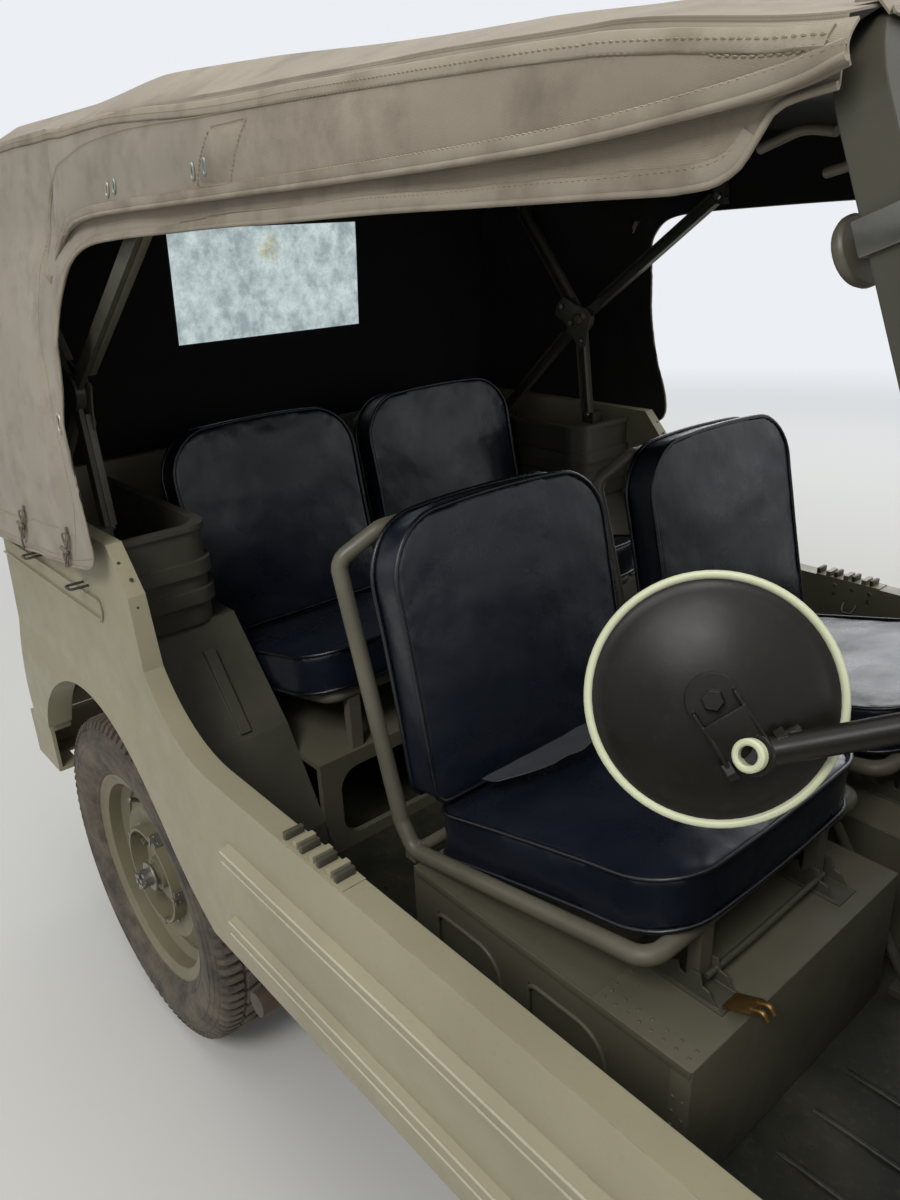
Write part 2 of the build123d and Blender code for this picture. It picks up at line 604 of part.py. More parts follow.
def make_cowl():
    """Scuttle between the wings with the firewall, dash panel and the bonnet's hinge pins."""
    rear_deck = box(COWL_REAR, WING_REAR, -INNER_HALF, INNER_HALF, COWL_TOP - PANEL, COWL_TOP)
    deck = face_of((WING_REAR, COWL_TOP - PANEL), (BONNET_REAR, top_at(BONNET_REAR) - PANEL),
                   (BONNET_REAR, top_at(BONNET_REAR)), (WING_REAR, COWL_TOP))
    cowl = rear_deck + along_y(deck, -BONNET_HALF, BONNET_HALF)
    cowl += box(COWL_REAR, COWL_REAR + SHEET, -INNER_HALF, INNER_HALF, COWL_TOP - 145, COWL_TOP - 4)
    cowl += box(FIREWALL, FIREWALL + SHEET, -BONNET_HALF, BONNET_HALF, FLOOR, COWL_TOP - 8)
    cowl -= rod(tuple(WHEEL_SPOT), tuple(WHEEL_SPOT - COLUMN_WAY * 600), COLUMN_RADIUS + SEAT_GAP)
    for side in (-1, 1):
        y = side * HINGE_Y
        for gap in (-1, 1):
            near = y + gap * (12 + SEAT_GAP)
            far = y + gap * 32
            low, high = sorted((near, far))
            cowl += rod((HINGE_X, low, HINGE_Z), (HINGE_X, high, HINGE_Z), 11)
            cowl += box(BONNET_REAR - 24, HINGE_X, low, high, HINGE_Z - 22, HINGE_Z)
        cowl += rod((HINGE_X, y - 20, HINGE_Z), (HINGE_X, y + 20, HINGE_Z), 5)
    return cowl


def make_tail_panel():
    """Tail wall between the sides, with the boss that carries the spare wheel."""
    panel = box(TAIL, TAIL + PANEL, -INNER_HALF, INNER_HALF, FLOOR, WAIST)
    panel -= both(box(TAIL - 1, TAIL + PANEL + 1, RAIL_OUT + 95, INNER_HALF + 1, FLOOR - 1, REAR_SKIRT))
    boss = rod((TAIL + 4, 0, SPARE_Z), (SPARE_X + DRUM_DEPTH + SEAT_GAP, 0, SPARE_Z), 60)
    return panel + boss


SPARE_X = TAIL - TYRE_WIDTH / 2 - 18
SPARE_Z = 850


def make_floor_pan():
    """Floor on the frame from the rear seats to the firewall, with a shallow tunnel."""
    floor = box(REAR + BENCH_REACH, WING_REAR, -INNER_HALF, INNER_HALF, FRAME_TOP, FLOOR)
    floor += box(WING_REAR - 1, FIREWALL, -BONNET_HALF, BONNET_HALF, FRAME_TOP, FLOOR)
    floor += box(REAR + 95, REAR + BENCH_REACH + 1, -HOUSE_IN, HOUSE_IN, FRAME_TOP, FLOOR)
    return floor


def make_seat_boxes():
    """Two boxes below the front seats, and the rear bench with two hatches in its front."""
    seat_box = box(SEAT_BOX_REAR, SEAT_BOX_FRONT, SEAT_BOX_IN, SEAT_BOX_OUT, FLOOR, SEAT_BOX_TOP)
    # Arched panels pressed into the outer face: rear end and front end
    for rear_end, front_end in ((-250, -120), (-70, 60)):
        arch = face_of((rear_end, FLOOR + 40), (front_end, FLOOR + 40), (front_end, SEAT_BOX_TOP - 90),
                       ((front_end - 12, SEAT_BOX_TOP - 62), (front_end - 40, SEAT_BOX_TOP - 50)),
                       (rear_end, SEAT_BOX_TOP - 50))
        seat_box -= along_y(arch, SEAT_BOX_OUT - 4, SEAT_BOX_OUT + 1)
    front = REAR + BENCH_REACH
    bench = box(TAIL + PANEL, front, -HOUSE_IN, HOUSE_IN, REAR_BENCH_TOP - SHEET, REAR_BENCH_TOP)
    bench += box(REAR + 95 - SHEET, REAR + 95, -HOUSE_IN, HOUSE_IN, FRAME_TOP, REAR_BENCH_TOP)
    bench += box(front - SHEET, front, -HOUSE_IN, HOUSE_IN, FLOOR, REAR_BENCH_TOP)
    hatch = Pos(HOUSE_IN - 200, REAR_BENCH_TOP - 100) * RectangleRounded(320, 140, 40)
    hatch = Plane.YZ.offset(front - SHEET - 1) * hatch
    return both(seat_box) + (bench - both(extrude(hatch, SHEET + 2)))


def make_wheel_houses():
    """Inner rear wheel houses: a wall, a top and the sloping front with its pressed rib."""
    outline = [(TAIL + PANEL, HOUSE_TOP), (REAR + 112, HOUSE_TOP), (REAR + 265, ARCH_TOP - 47),
               (REAR + 360, REAR_SKIRT - 20), (REAR + 372, FLOOR)]
    under = [(REAR + 358, FLOOR), (REAR + 348, REAR_SKIRT - 24), (REAR + 255, ARCH_TOP - 54),
             (REAR + 107, HOUSE_TOP - SHEET), (TAIL + PANEL, HOUSE_TOP - SHEET)]
    skin = along_y(face_of(*outline, *under), HOUSE_IN, INNER_HALF)
    wall = face_of((TAIL + PANEL, REAR_SKIRT), *outline, (REAR + 97, FLOOR), (REAR + 97, REAR_SKIRT))
    wall = along_y(wall, HOUSE_IN, HOUSE_IN + SHEET)
    rib = face_of((REAR + 150, HOUSE_TOP - 44), (REAR + 160, HOUSE_TOP - 36), (REAR + 262, ARCH_TOP - 36),
                  (REAR + 252, ARCH_TOP - 44))
    rib = along_y(rib, HOUSE_IN + 70, HOUSE_IN + 90)
    return both(skin + wall + rib)


def make_stowage_bins():
    """Open-topped bins above the wheel houses, with two ribs pressed round each wall."""
    front = REAR + 123
    rear_end = TAIL + PANEL
    corner = 45

    def ring(out, low, high):
        bulge = (front + out - corner * 0.29, BIN_IN - out + corner * 0.29)
        plan = face_of((rear_end, BIN_IN - out), (front - corner, BIN_IN - out),
                       (bulge, (front + out, BIN_IN + corner)), (front + out, INNER_HALF),
                       (rear_end, INNER_HALF))
        return along_z(plan, low, high)

    tray = ring(0, HOUSE_TOP, BIN_TOP) - ring(-SHEET, HOUSE_TOP + SHEET, BIN_TOP + 1)
    # Ribs, by their lower edge
    for low in (HOUSE_TOP + 40, HOUSE_TOP + 92):
        tray += ring(7, low, low + 26) - ring(-4, low - 1, low + 27)
    tray += ring(5, BIN_TOP - 10, BIN_TOP) - ring(-SHEET, BIN_TOP - 11, BIN_TOP + 1)
    return both(tray)


# Windscreen and hood

RAKE = math.radians(SCREEN_RAKE)
SCREEN_PLANE = Plane(origin=(SCREEN_FOOT, 0, COWL_TOP), x_dir=(0, 1, 0),
                     z_dir=(math.cos(RAKE), 0, math.sin(RAKE)))


def screen_slab(half, low, high, near, far):
    """A block in the windscreen's own plane: half width, reach up the rake, and depth."""
    return extrude(SCREEN_PLANE.offset(near) * Pos(0, (low + high) / 2) * Rectangle(2 * half, high - low),
                   far - near)


def make_windscreen_frame():
    """Raked frame on the cowl with feet and a rebate for the glass."""
    frame = screen_slab(SCREEN_HALF, SCREEN_THICK * math.tan(RAKE) + 1, SCREEN_LENGTH, 0, SCREEN_THICK)
    head = frame.edges().filter_by(lambda e: abs(e.tangent_at(0.5).dot(SCREEN_PLANE.z_dir)) > 0.99)
    frame = fillet(head.group_by(Axis.Z)[-1], SCREEN_CORNER)
    frame -= screen_slab(SCREEN_HALF - SCREEN_BORDER, SCREEN_BORDER + 10, SCREEN_LENGTH - SCREEN_BORDER, -5,
                         SCREEN_THICK + 5)
    # The rebate is 10 wider all round than the opening
    frame -= screen_slab(SCREEN_HALF - SCREEN_BORDER + 10, SCREEN_BORDER,
                         SCREEN_LENGTH - SCREEN_BORDER + 10, 12, 12 + GLASS_THICK + 2 * SEAT_GAP)
    for side in (-1, 1):
        y = side * (SCREEN_HALF - 60)
        frame += box(SCREEN_FOOT - 12, SCREEN_FOOT + 30, y - 20, y + 20, COWL_TOP, COWL_TOP + 26)
    return frame


def make_windscreen_glass():
    """One flat pane in the frame's rebate."""
    near = 12 + SEAT_GAP
    return screen_slab(SCREEN_HALF - SCREEN_BORDER + 9, SCREEN_BORDER + 1,
                       SCREEN_LENGTH - SCREEN_BORDER + 9, near, near + GLASS_THICK)


def hood_section(inset):
    """Cross section of the hood as a filled face, drawn in by an inset."""
    crown = HOOD_CROWN - inset
    seam = (HOOD_SEAM_HALF - inset, HOOD_SEAM - inset / 2)
    hem = (HOOD_HEM_HALF - inset, HOOD_HEM)
    foot = (HOOD_FOOT_HALF - inset, WAIST)
    base = (HOOD_FOOT_HALF - inset, HOOD_FOOT)

    def other(point):
        return (-point[0], point[1])

    return face_of(other(base), other(foot), other(hem), other(seam), ((0, crown), seam), hem, foot, base)


def hood_profile(inset):
    """Side view of the hood as a filled face, from the windscreen's head over to the tail."""
    rear = TAIL - 14 + inset
    shoulder = HOOD_CROWN - 150
    return face_of((HOOD_FRONT, HOOD_FOOT), (HOOD_FRONT, HOOD_CROWN - 68 - inset), (0, HOOD_CROWN - inset),
                   (REAR - 230, HOOD_CROWN - inset),
                   ((REAR - 330, HOOD_CROWN - 48 - inset), (rear + 26, shoulder)), (rear, HOOD_FOOT))


def hood_form(inset, grow=0):
    """The hood's solid form, drawn in by an inset and grown past its front and foot."""
    across = along_x(hood_section(inset), TAIL - 40, HOOD_FRONT + grow)
    return across & along_y(hood_profile(inset), -800, 800)


def make_canvas_top():
    """Canvas hood: one thin skin, open at the front, the foot and the sides, with a window hole."""
    skin = hood_form(0) - hood_form(CANVAS)
    skin -= box(HOOD_FRONT - 12, HOOD_FRONT + 10, -800, 800, HOOD_FOOT, HOOD_HEM)
    opening = face_of((HOOD_FRONT + 40, HOOD_HEM + 30), (HOOD_FRONT - 60, HOOD_HEM + 10),
                      (REAR + 350, HOOD_HEM - 8), ((REAR + 235, HOOD_HEM - 58), (REAR + 196, HOOD_HEM - 156)),
                      (REAR + 160, WAIST + 100), (REAR + 160, WAIST - 10), (REAR + 134, WAIST - 49),
                      (TAIL + 34, HOOD_FOOT + 2), (TAIL + 34, HOOD_FOOT - 60),
                      (HOOD_FRONT + 40, HOOD_FOOT - 60))
    skin -= along_y(opening, -800, 800)
    half = WINDOW_WIDTH / 2
    skin -= box(TAIL - 60, TAIL + 80, -half, half, WINDOW_BOTTOM, WINDOW_TOP)
    return skin


def make_rear_window():
    """Clear pane that fills the hole in the rear curtain, from the curtain's own slope."""
    half = WINDOW_WIDTH / 2 - SEAT_GAP
    pane = hood_form(1) - hood_form(CANVAS - 1)
    hole = box(TAIL - 60, TAIL + 80, -half, half, WINDOW_BOTTOM + SEAT_GAP, WINDOW_TOP - SEAT_GAP)
    return pane & hole


def make_hood_frame():
    """Two flat bows under the hood, with hinged stays from a bracket at each side."""
    frame = Part()
    low = HOOD_HEM - 30
    inner = CANVAS + SEAT_GAP
    for x in (REAR + 370, REAR - 200):
        band = hood_section(inner) - hood_section(inner + 20)
        bow = along_x(band, x - 13, x + 13)
        frame += bow & box(x - 20, x + 20, -800, 800, low, HOOD_CROWN + 10)
    out = HOOD_HEM_HALF - 8
    pivot = (REAR + 2, HOOD_HEM - 274)
    # Stays, each from one joint to another: x, z, x, z
    stays = [(REAR + 28, WAIST - 20, *pivot), (*pivot, REAR + 372, HOOD_HEM - 14),
             (*pivot, REAR - 202, HOOD_HEM - 14), (*pivot, REAR - 280, WAIST - 55)]
    side = Part()
    for x0, z0, x1, z1 in stays:
        run = math.hypot(x1 - x0, z1 - z0)
        turn = math.degrees(math.atan2(z1 - z0, x1 - x0))
        bar = Pos((x0 + x1) / 2, out - 12, (z0 + z1) / 2) * Rot(0, -turn, 0) * Box(run + 20, 8, 24)
        side += bar
    side += Pos(pivot[0], out - 12, pivot[1]) * Rot(90, 0, 0) * Cylinder(30, 16)
    for x, z in ((REAR + 28, WAIST - 20), (REAR - 280, WAIST - 55)):
        side += box(x - 18, x + 18, out - 18, INNER_HALF, z - 22, z + 6)
    return frame + both(side)


# Seats

def make_seat(rear_x, base_z, length, tube_half, drop, feet):
    """One seat about Y = 0: its tube frame, its cushion and its back cushion."""
    slope = math.tan(math.radians(CUSHION_SLOPE))
    lean = math.radians(BACK_LEAN)
    half = SEAT_WIDTH / 2
    lift = base_z + SEAT_GAP
    front_x = rear_x + length
    profile = face_of((rear_x, lift), (front_x, lift + length * slope),
                      (front_x, lift + length * slope + CUSHION_THICK), (rear_x, lift + CUSHION_THICK))
    cushion = along_y(profile, -half, half)
    cushion = fillet(cushion.edges().filter_by(Axis.Z).group_by(Axis.X)[-1], 70)
    foot_x = rear_x + 22
    foot_z = lift + CUSHION_THICK + 8
    slab = Box(BACK_THICK, SEAT_WIDTH - 6, BACK_HEIGHT, align=(Align.MAX, Align.CENTER, Align.MIN))
    slab = fillet(slab.edges().filter_by(Axis.X).group_by(Axis.Z)[-1], 80)
    back = Pos(foot_x, 0, foot_z) * Rot(0, -BACK_LEAN, 0) * slab

    def behind(z):
        reach = (BACK_THICK + SEAT_TUBE_RADIUS + SEAT_GAP) / math.cos(lean)
        return foot_x - (z - foot_z) * math.tan(lean) - reach

    top_z = base_z + BACK_HEIGHT + 50
    knee_z = base_z + 40
    bar_x = front_x - 26
    bar_z = lift + (length - 26) * slope - (SEAT_TUBE_RADIUS + SEAT_GAP) / math.cos(math.atan(slope))
    low_z = base_z + 2 - drop
    path = [(bar_x, 0, bar_z), (bar_x, tube_half, bar_z), (rear_x - 24, tube_half, low_z),
            (behind(knee_z) - 4, tube_half, knee_z), (behind(top_z) - 24, tube_half, top_z - 40),
            (behind(top_z), tube_half - 60, top_z), (behind(top_z), 0, top_z)]
    tubes = pipe(path, SEAT_TUBE_RADIUS, 26)
    tubes += right_of(tubes)
    for y in (-half * 0.6, half * 0.6):
        tubes += box(bar_x - 9, bar_x + 9, y - 12, y + 12, feet, bar_z)
    for y in (-tube_half, tube_half):
        tubes += box(rear_x - 34, rear_x - 12, y - 9, y + 9, feet, low_z)
    tubes += rod((rear_x - 23, -tube_half, low_z), (rear_x - 23, tube_half, low_z), 9)
    return tubes, cushion, back


def make_seats():
    """Two front seats on their boxes and two rear seats on the bench, as three groups."""
    groups = [Part(), Part(), Part()]
    half = SEAT_WIDTH / 2
    # Each row: rear of the cushion, its base height, cushion length, tubes' half width, their drop,
    # centre across, foot height
    rows = [(SEAT_BOX_REAR + 10, SEAT_BOX_TOP + 10, 420, half + SEAT_TUBE_RADIUS + SEAT_GAP, 0, SEAT_CENTRE,
             SEAT_BOX_TOP),
            (REAR - 30, REAR_BENCH_TOP + 31, 400, half - 45, 20.5, HOUSE_IN - half - 2, REAR_BENCH_TOP)]
    for rear_x, base_z, length, tube_half, drop, centre, feet in rows:
        pieces = make_seat(rear_x, base_z, length, tube_half, drop, feet)
        for k, piece in enumerate(pieces):
            for side in (-1, 1):
                groups[k] += Pos(0, side * centre, 0) * piece
    return groups


# Controls, lamps and outside fittings


def make_steering_wheel():
    """Three-spoke steering wheel on the raked column."""
    rim = Torus(STEERING_RADIUS, STEERING_RIM)
    hub = Cylinder(30, 30)
    wheel = rim + hub
    for k in range(3):
        wheel += Rot(0, 0, 90 + 120 * k) * Pos(STEERING_RADIUS / 2, 0, 0) * Box(STEERING_RADIUS, 22, 8)
    return Plane(origin=WHEEL_SPOT, x_dir=(0, 1, 0), z_dir=COLUMN_WAY) * wheel


def make_steering_column():
    """Column tube from below the wheel through the firewall to the steering box."""
    start = WHEEL_SPOT - COLUMN_WAY * (15 + SEAT_GAP)
    end = WHEEL_SPOT - COLUMN_WAY * 470
    column = rod(tuple(start), tuple(end), COLUMN_RADIUS)
    column += box(COWL_REAR + SHEET, WING_REAR - 4, DRIVER_Y - 20, DRIVER_Y + 20,
                  COWL_TOP - 240, COWL_TOP - PANEL)
    column += box(FIREWALL + SHEET, FIREWALL + 90, DRIVER_Y - 55, DRIVER_Y + 15,
                  FLOOR + 220, FLOOR + 350)
    return column


def make_controls():
    """Gear lever, two transfer levers and hand brake on the floor, and three pedals."""
    # Levers: reach of the foot and of the top from the firewall, place across, height of the top
    levers = [(230, 310, 0, 380), (270, 320, -52, 220), (270, 320, 52, 220), (350, 500, -12, 240)]
    controls = Part()
    for reach, top_reach, y, rise in levers:
        x = FIREWALL - reach
        top_x = FIREWALL - top_reach
        top_z = FLOOR + rise
        controls += rod((x, y, FLOOR + 8), (top_x, y, top_z), 8)
        controls += Pos(top_x, y, top_z) * Sphere(17)
        controls += box(x - 22, x + 22, y - 20, y + 20, FLOOR, FLOOR + 12)
    hinge = FLOOR + 265
    for y in (DRIVER_Y - 120, DRIVER_Y - 45, DRIVER_Y + 28):
        controls += box(FIREWALL - 14, FIREWALL, y - 12, y + 12, hinge - 15, hinge + 15)
        controls += rod((FIREWALL - 8, y, hinge), (FIREWALL - 110, y, hinge - 135), 7)
        controls += Pos(FIREWALL - 112, y, hinge - 139) * Rot(0, 30, 0) * Box(10, 60, 64)
    return controls


def make_headlamps():
    """Round headlamps in the nose, each a bowl, a rim and a domed lens."""
    lamp = spun([(0, -50), (LAMP_RADIUS - 30, -50), (LAMP_RADIUS, -16), (LAMP_RADIUS, 2),
                 (LAMP_RADIUS + 8, 2), (LAMP_RADIUS + 8, 14), (LAMP_RADIUS - 6, 18),
                 dome(LAMP_RADIUS - 6, 18, 16)])
    lamp = Rot(0, 0, -90) * lamp
    return Part() + [Pos(NOSE + SEAT_GAP, side * LAMP_Y, LAMP_Z) * lamp for side in (-1, 1)]


def make_tail_lamps():
    """Small round lamps on the tail panel, two on each side."""
    lamps = Part()
    cup = Rot(0, -90, 0) * Cone(34, 28, 30, align=(Align.CENTER, Align.CENTER, Align.MIN))
    for y in (INNER_HALF - 205, INNER_HALF - 115):
        lamps += both(Pos(TAIL, y, WAIST - 140) * cup)
    return lamps


def make_front_bumper():
    """Channel bumper with a bracket on each frame rail and two drilled tow eyes."""
    low = FRAME_TOP - 10
    high = FRAME_TOP + 95
    back = BUMPER_FACE - 62
    channel = face_of((back, low), (BUMPER_FACE, low), (BUMPER_FACE, high), (back, high), (back, high - 8),
                      (BUMPER_FACE - 8, high - 8), (BUMPER_FACE - 8, low + 8), (back, low + 8))
    bumper = along_y(channel, 52 - SILL_HALF, SILL_HALF - 52)
    bracket = box(NOSE - 40, BUMPER_FACE - 7, RAIL_CENTRE - 20, RAIL_CENTRE + 20,
                  FRAME_BOTTOM + 10, FRAME_TOP + 60)
    bumper += both(bracket)
    eye = box(BUMPER_FACE - 62, BUMPER_FACE - 2, EYE_Y - 9, EYE_Y + 9, high - 1, high + 70)
    eye -= rod((BUMPER_FACE - 32, EYE_Y - 20, high + 38), (BUMPER_FACE - 32, EYE_Y + 20, high + 38), EYE_BORE)
    return bumper + both(eye)


BUMPERETTE_RETURN = 55
EYE_Y = 420
EYE_BORE = 18


def make_rear_bumperettes():
    """Corner bumperettes: a channel across each tail corner that returns along the side."""
    low = FRAME_TOP - 15
    high = FRAME_TOP + 93
    back = TAIL - 75
    end = TAIL + BUMPERETTE_RETURN
    inner = RAIL_OUT + 105
    wrap = face_of((back, inner), (back, FOOT_HALF), (end, FOOT_HALF), (end, FOOT_HALF - 8),
                   (back + 8, FOOT_HALF - 8), (back + 8, inner))
    guard = along_z(wrap, low, high)
    for z in (low, high - 8):
        flange = face_of((back, inner), (back, FOOT_HALF), (end, FOOT_HALF), (end, FOOT_HALF - 45),
                         (TAIL - 20, FOOT_HALF - 45), (TAIL - 20, inner))
        guard += along_z(flange, z, z + 8)
    guard += box(TAIL - 40, TAIL - 20, RAIL_OUT, inner + 40, FRAME_TOP - 10, FRAME_TOP - 2)
    guard += box(back + 7, TAIL - 40, RAIL_OUT - 5, inner + 40, low + 6, low + 56)
    return both(guard)


def make_tow_hitch():
    """Towing jaw on the rear cross-member: two plates with one vertical pin bore."""
    start = TAIL - 40
    end = -LENGTH / 2
    middle = FRAME_TOP - RAIL_DEPTH / 2
    jaw = rod((start - 100, 0, middle), (start, 0, middle), 32)
    jaw += box(start - 14, start, -75, 75, middle - 38, middle + 38)
    jaw += box(start - 130, start - 90, -45, 45, middle - 48, middle + 48)
    lip = face_of((start - 110, -45), (end + 40, -45), ((end, 0), (end + 40, 45)), (start - 110, 45))
    for z in (middle - 48, middle + 26):
        jaw += along_z(lip, z, z + 22)
    return jaw - Pos(end + 50, 0, middle) * Cylinder(HITCH_BORE, 140)


HITCH_BORE = 20


def make_mirrors():
    """Round mirrors on bent arms from the cowl, each with a clamp behind the disc."""
    centre = Vector(WING_REAR - 198, -SILL_HALF - 64, COWL_TOP + 212)
    way = Vector(0.50, -0.76, 0.41).normalized()
    disc = Plane(origin=centre, z_dir=way) * revolve(
        face_of((0, -6), (MIRROR_RADIUS, -6), (MIRROR_RADIUS, 1), dome(MIRROR_RADIUS, 1, 14)),
        Axis.Y).rotate(Axis.X, 90)
    knuckle = Vector(WING_REAR - 148, -SILL_HALF - 46, COWL_TOP + 215)
    foot_x = WING_REAR - 15
    foot_y = -(INNER_HALF + 17)
    arm = pipe([tuple(knuckle), (foot_x, foot_y, COWL_TOP + 221), (foot_x, foot_y, COWL_TOP + 4)], 8, 34)
    joint = Pos(knuckle) * Sphere(15)
    stem = rod(tuple(centre + way * 6), tuple(knuckle), 7)
    foot = Pos(foot_x, foot_y, COWL_TOP) * Cylinder(13, 12, align=(Align.CENTER, Align.CENTER, Align.MIN))
    return both(disc + stem + joint + arm + foot)


def make_all():
    """Every node of the car, by name."""
    tubes, cushions, backs = make_seats()
    side = make_side_panel()
    wing = make_front_wing()
    nodes = {
        "chassis_frame": make_chassis_frame(), "leaf_springs": make_leaf_springs(),
        "wishbones": make_wishbones(), "drive_units": make_drive_units(),
        "drive_shafts": make_drive_shafts(), "tie_rod": make_tie_rod(), "exhaust": make_exhaust(),
        "engine_block": make_engine_block(), "radiator": make_radiator(),
        "side_panel_left": side, "side_panel_right": right_of(side),
        "front_wing_left": wing, "front_wing_right": right_of(wing),
        "nose_panel": make_nose_panel(), "bonnet": make_bonnet(), "cowl": make_cowl(),
        "tail_panel": make_tail_panel(), "floor_pan": make_floor_pan(), "seat_boxes": make_seat_boxes(),
        "wheel_houses": make_wheel_houses(), "stowage_bins": make_stowage_bins(),
        "windscreen_frame": make_windscreen_frame(), "windscreen_glass": make_windscreen_glass(),
        "canvas_top": make_canvas_top(), "rear_window": make_rear_window(),
        "hood_frame": make_hood_frame(), "seat_frames": tubes, "seat_cushions": cushions,
        "seat_backs": backs, "steering_wheel": make_steering_wheel(),
        "steering_column": make_steering_column(), "controls": make_controls(),
        "headlamps": make_headlamps(), "tail_lamps": make_tail_lamps(),
        "front_bumper": make_front_bumper(), "rear_bumperettes": make_rear_bumperettes(),
        "tow_hitch": make_tow_hitch(), "mirrors": make_mirrors(),
    }
    tyre = make_tyre()
    wheel = make_wheel()
    corners = [("front_left", FRONT, 1), ("front_right", FRONT, -1), ("rear_left", REAR, 1),
               ("rear_right", REAR, -1)]
    for name, axle, way in corners:
        nodes["tyre_" + name] = at_wheel(tyre, axle, way)
        nodes["wheel_" + name] = at_wheel(wheel, axle, way)
    knuckle = make_hub_carrier(True)
    nodes["knuckle_left"] = at_wheel(knuckle, FRONT, 1)
    nodes["knuckle_right"] = at_wheel(knuckle, FRONT, -1)
    carrier = make_hub_carrier(False)
    nodes["rear_hub_carriers"] = at_wheel(carrier, REAR, 1) + at_wheel(carrier, REAR, -1)
    spare = Pos(SPARE_X, 0, SPARE_Z) * Rot(0, 0, 90)
    nodes["spare_tyre"] = spare * tyre
    nodes["spare_wheel"] = spare * wheel
    return nodes


os.makedirs("parts", exist_ok=True)
for node_name, shape in make_all().items():
    export_step(shape, "parts/" + node_name + ".step")
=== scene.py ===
"""Looks of a light four-seat army car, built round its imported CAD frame.

Every length is in metres, +X is forward, +Y is the car's left and +Z is up.
"""

import json
import logging
import math
import random
from dataclasses import dataclass, field
from enum import Enum
from typing import Callable, Iterable, Optional, Sequence

import bmesh
import bpy
from mathutils import Matrix, Vector, noise as field_noise
from mathutils.bvhtree import BVHTree

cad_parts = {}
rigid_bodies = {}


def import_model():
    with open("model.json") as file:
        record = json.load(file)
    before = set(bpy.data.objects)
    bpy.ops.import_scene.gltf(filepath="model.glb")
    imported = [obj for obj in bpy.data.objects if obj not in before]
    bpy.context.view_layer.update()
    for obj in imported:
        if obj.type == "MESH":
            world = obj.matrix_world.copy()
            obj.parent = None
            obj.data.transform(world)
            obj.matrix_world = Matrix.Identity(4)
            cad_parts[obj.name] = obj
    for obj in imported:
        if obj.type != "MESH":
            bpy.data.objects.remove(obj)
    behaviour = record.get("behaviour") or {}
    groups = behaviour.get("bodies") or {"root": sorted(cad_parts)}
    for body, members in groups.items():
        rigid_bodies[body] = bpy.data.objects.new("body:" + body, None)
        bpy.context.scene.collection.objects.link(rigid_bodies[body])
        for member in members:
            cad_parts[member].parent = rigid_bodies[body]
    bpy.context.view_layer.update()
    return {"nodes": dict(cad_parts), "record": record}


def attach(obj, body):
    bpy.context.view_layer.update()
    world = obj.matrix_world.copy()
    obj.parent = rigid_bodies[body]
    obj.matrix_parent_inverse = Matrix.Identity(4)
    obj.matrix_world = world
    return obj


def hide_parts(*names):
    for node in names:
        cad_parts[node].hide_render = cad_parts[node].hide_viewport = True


Point = Sequence[float]

logging.basicConfig(level=logging.INFO, format="%(message)s")
LOG = logging.getLogger("army_car")

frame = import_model()
BODY = "body"
MM = 0.001


class Slot(Enum):
    """The record's material slots, by which the imported nodes take their finishes."""

    PAINT = "khaki_paint"
    CABIN = "cabin_paint"
    CHASSIS = "chassis_paint"
    TUBE = "tube_paint"
    EXHAUST = "exhaust_steel"
    CASTING = "cast_iron"
    CANVAS = "canvas"
    SHEET = "clear_sheet"
    GLASS = "glass"
    LAMP = "lamp_glass"
    RED = "red_lens"
    VINYL = "seat_vinyl"
    RUBBER = "hard_rubber"
    TYRE = "tyre"


class Corner(Enum):
    """The four road wheels: the name's ending, then the hub's place."""

    FRONT_LEFT = ("front_left", 1.0, 0.603)
    FRONT_RIGHT = ("front_right", 1.0, -0.603)
    REAR_LEFT = ("rear_left", -1.0, 0.603)
    REAR_RIGHT = ("rear_right", -1.0, -0.603)


# Finishes

def linear(hex_colour: str, alpha: float = 1.0) -> tuple[float, float, float, float]:
    """Turns an sRGB hex colour into the linear values that Blender's sockets take.

    Args:
        hex_colour: Six hex digits, such as "8E8868".
        alpha: Opacity that goes with it.

    Returns:
        Linear red, green, blue and alpha.
    """
    out = []
    for k in (0, 2, 4):
        value = int(hex_colour[k:k + 2], 16) / 255
        out.append(value / 12.92 if value <= 0.04045 else ((value + 0.055) / 1.055) ** 2.4)
    return (*out, alpha)


def add_node(tree: bpy.types.NodeTree, kind: str, settings: Optional[dict] = None,
             links: Optional[dict] = None) -> bpy.types.Node:
    """Adds a node with its settings and links.

    Args:
        tree: The material's node tree.
        kind: Blender's node type, without its "ShaderNode" start.
        settings: Attribute names and values.
        links: Input names or numbers, each with a socket to link or a plain value.

    Returns:
        The new node.
    """
    node = tree.nodes.new("ShaderNode" + kind)
    for name, value in (settings or {}).items():
        setattr(node, name, value)
    for name, value in (links or {}).items():
        socket = node.inputs[name]
        if isinstance(value, bpy.types.NodeSocket):
            tree.links.new(value, socket)
        else:
            socket.default_value = value
    return node


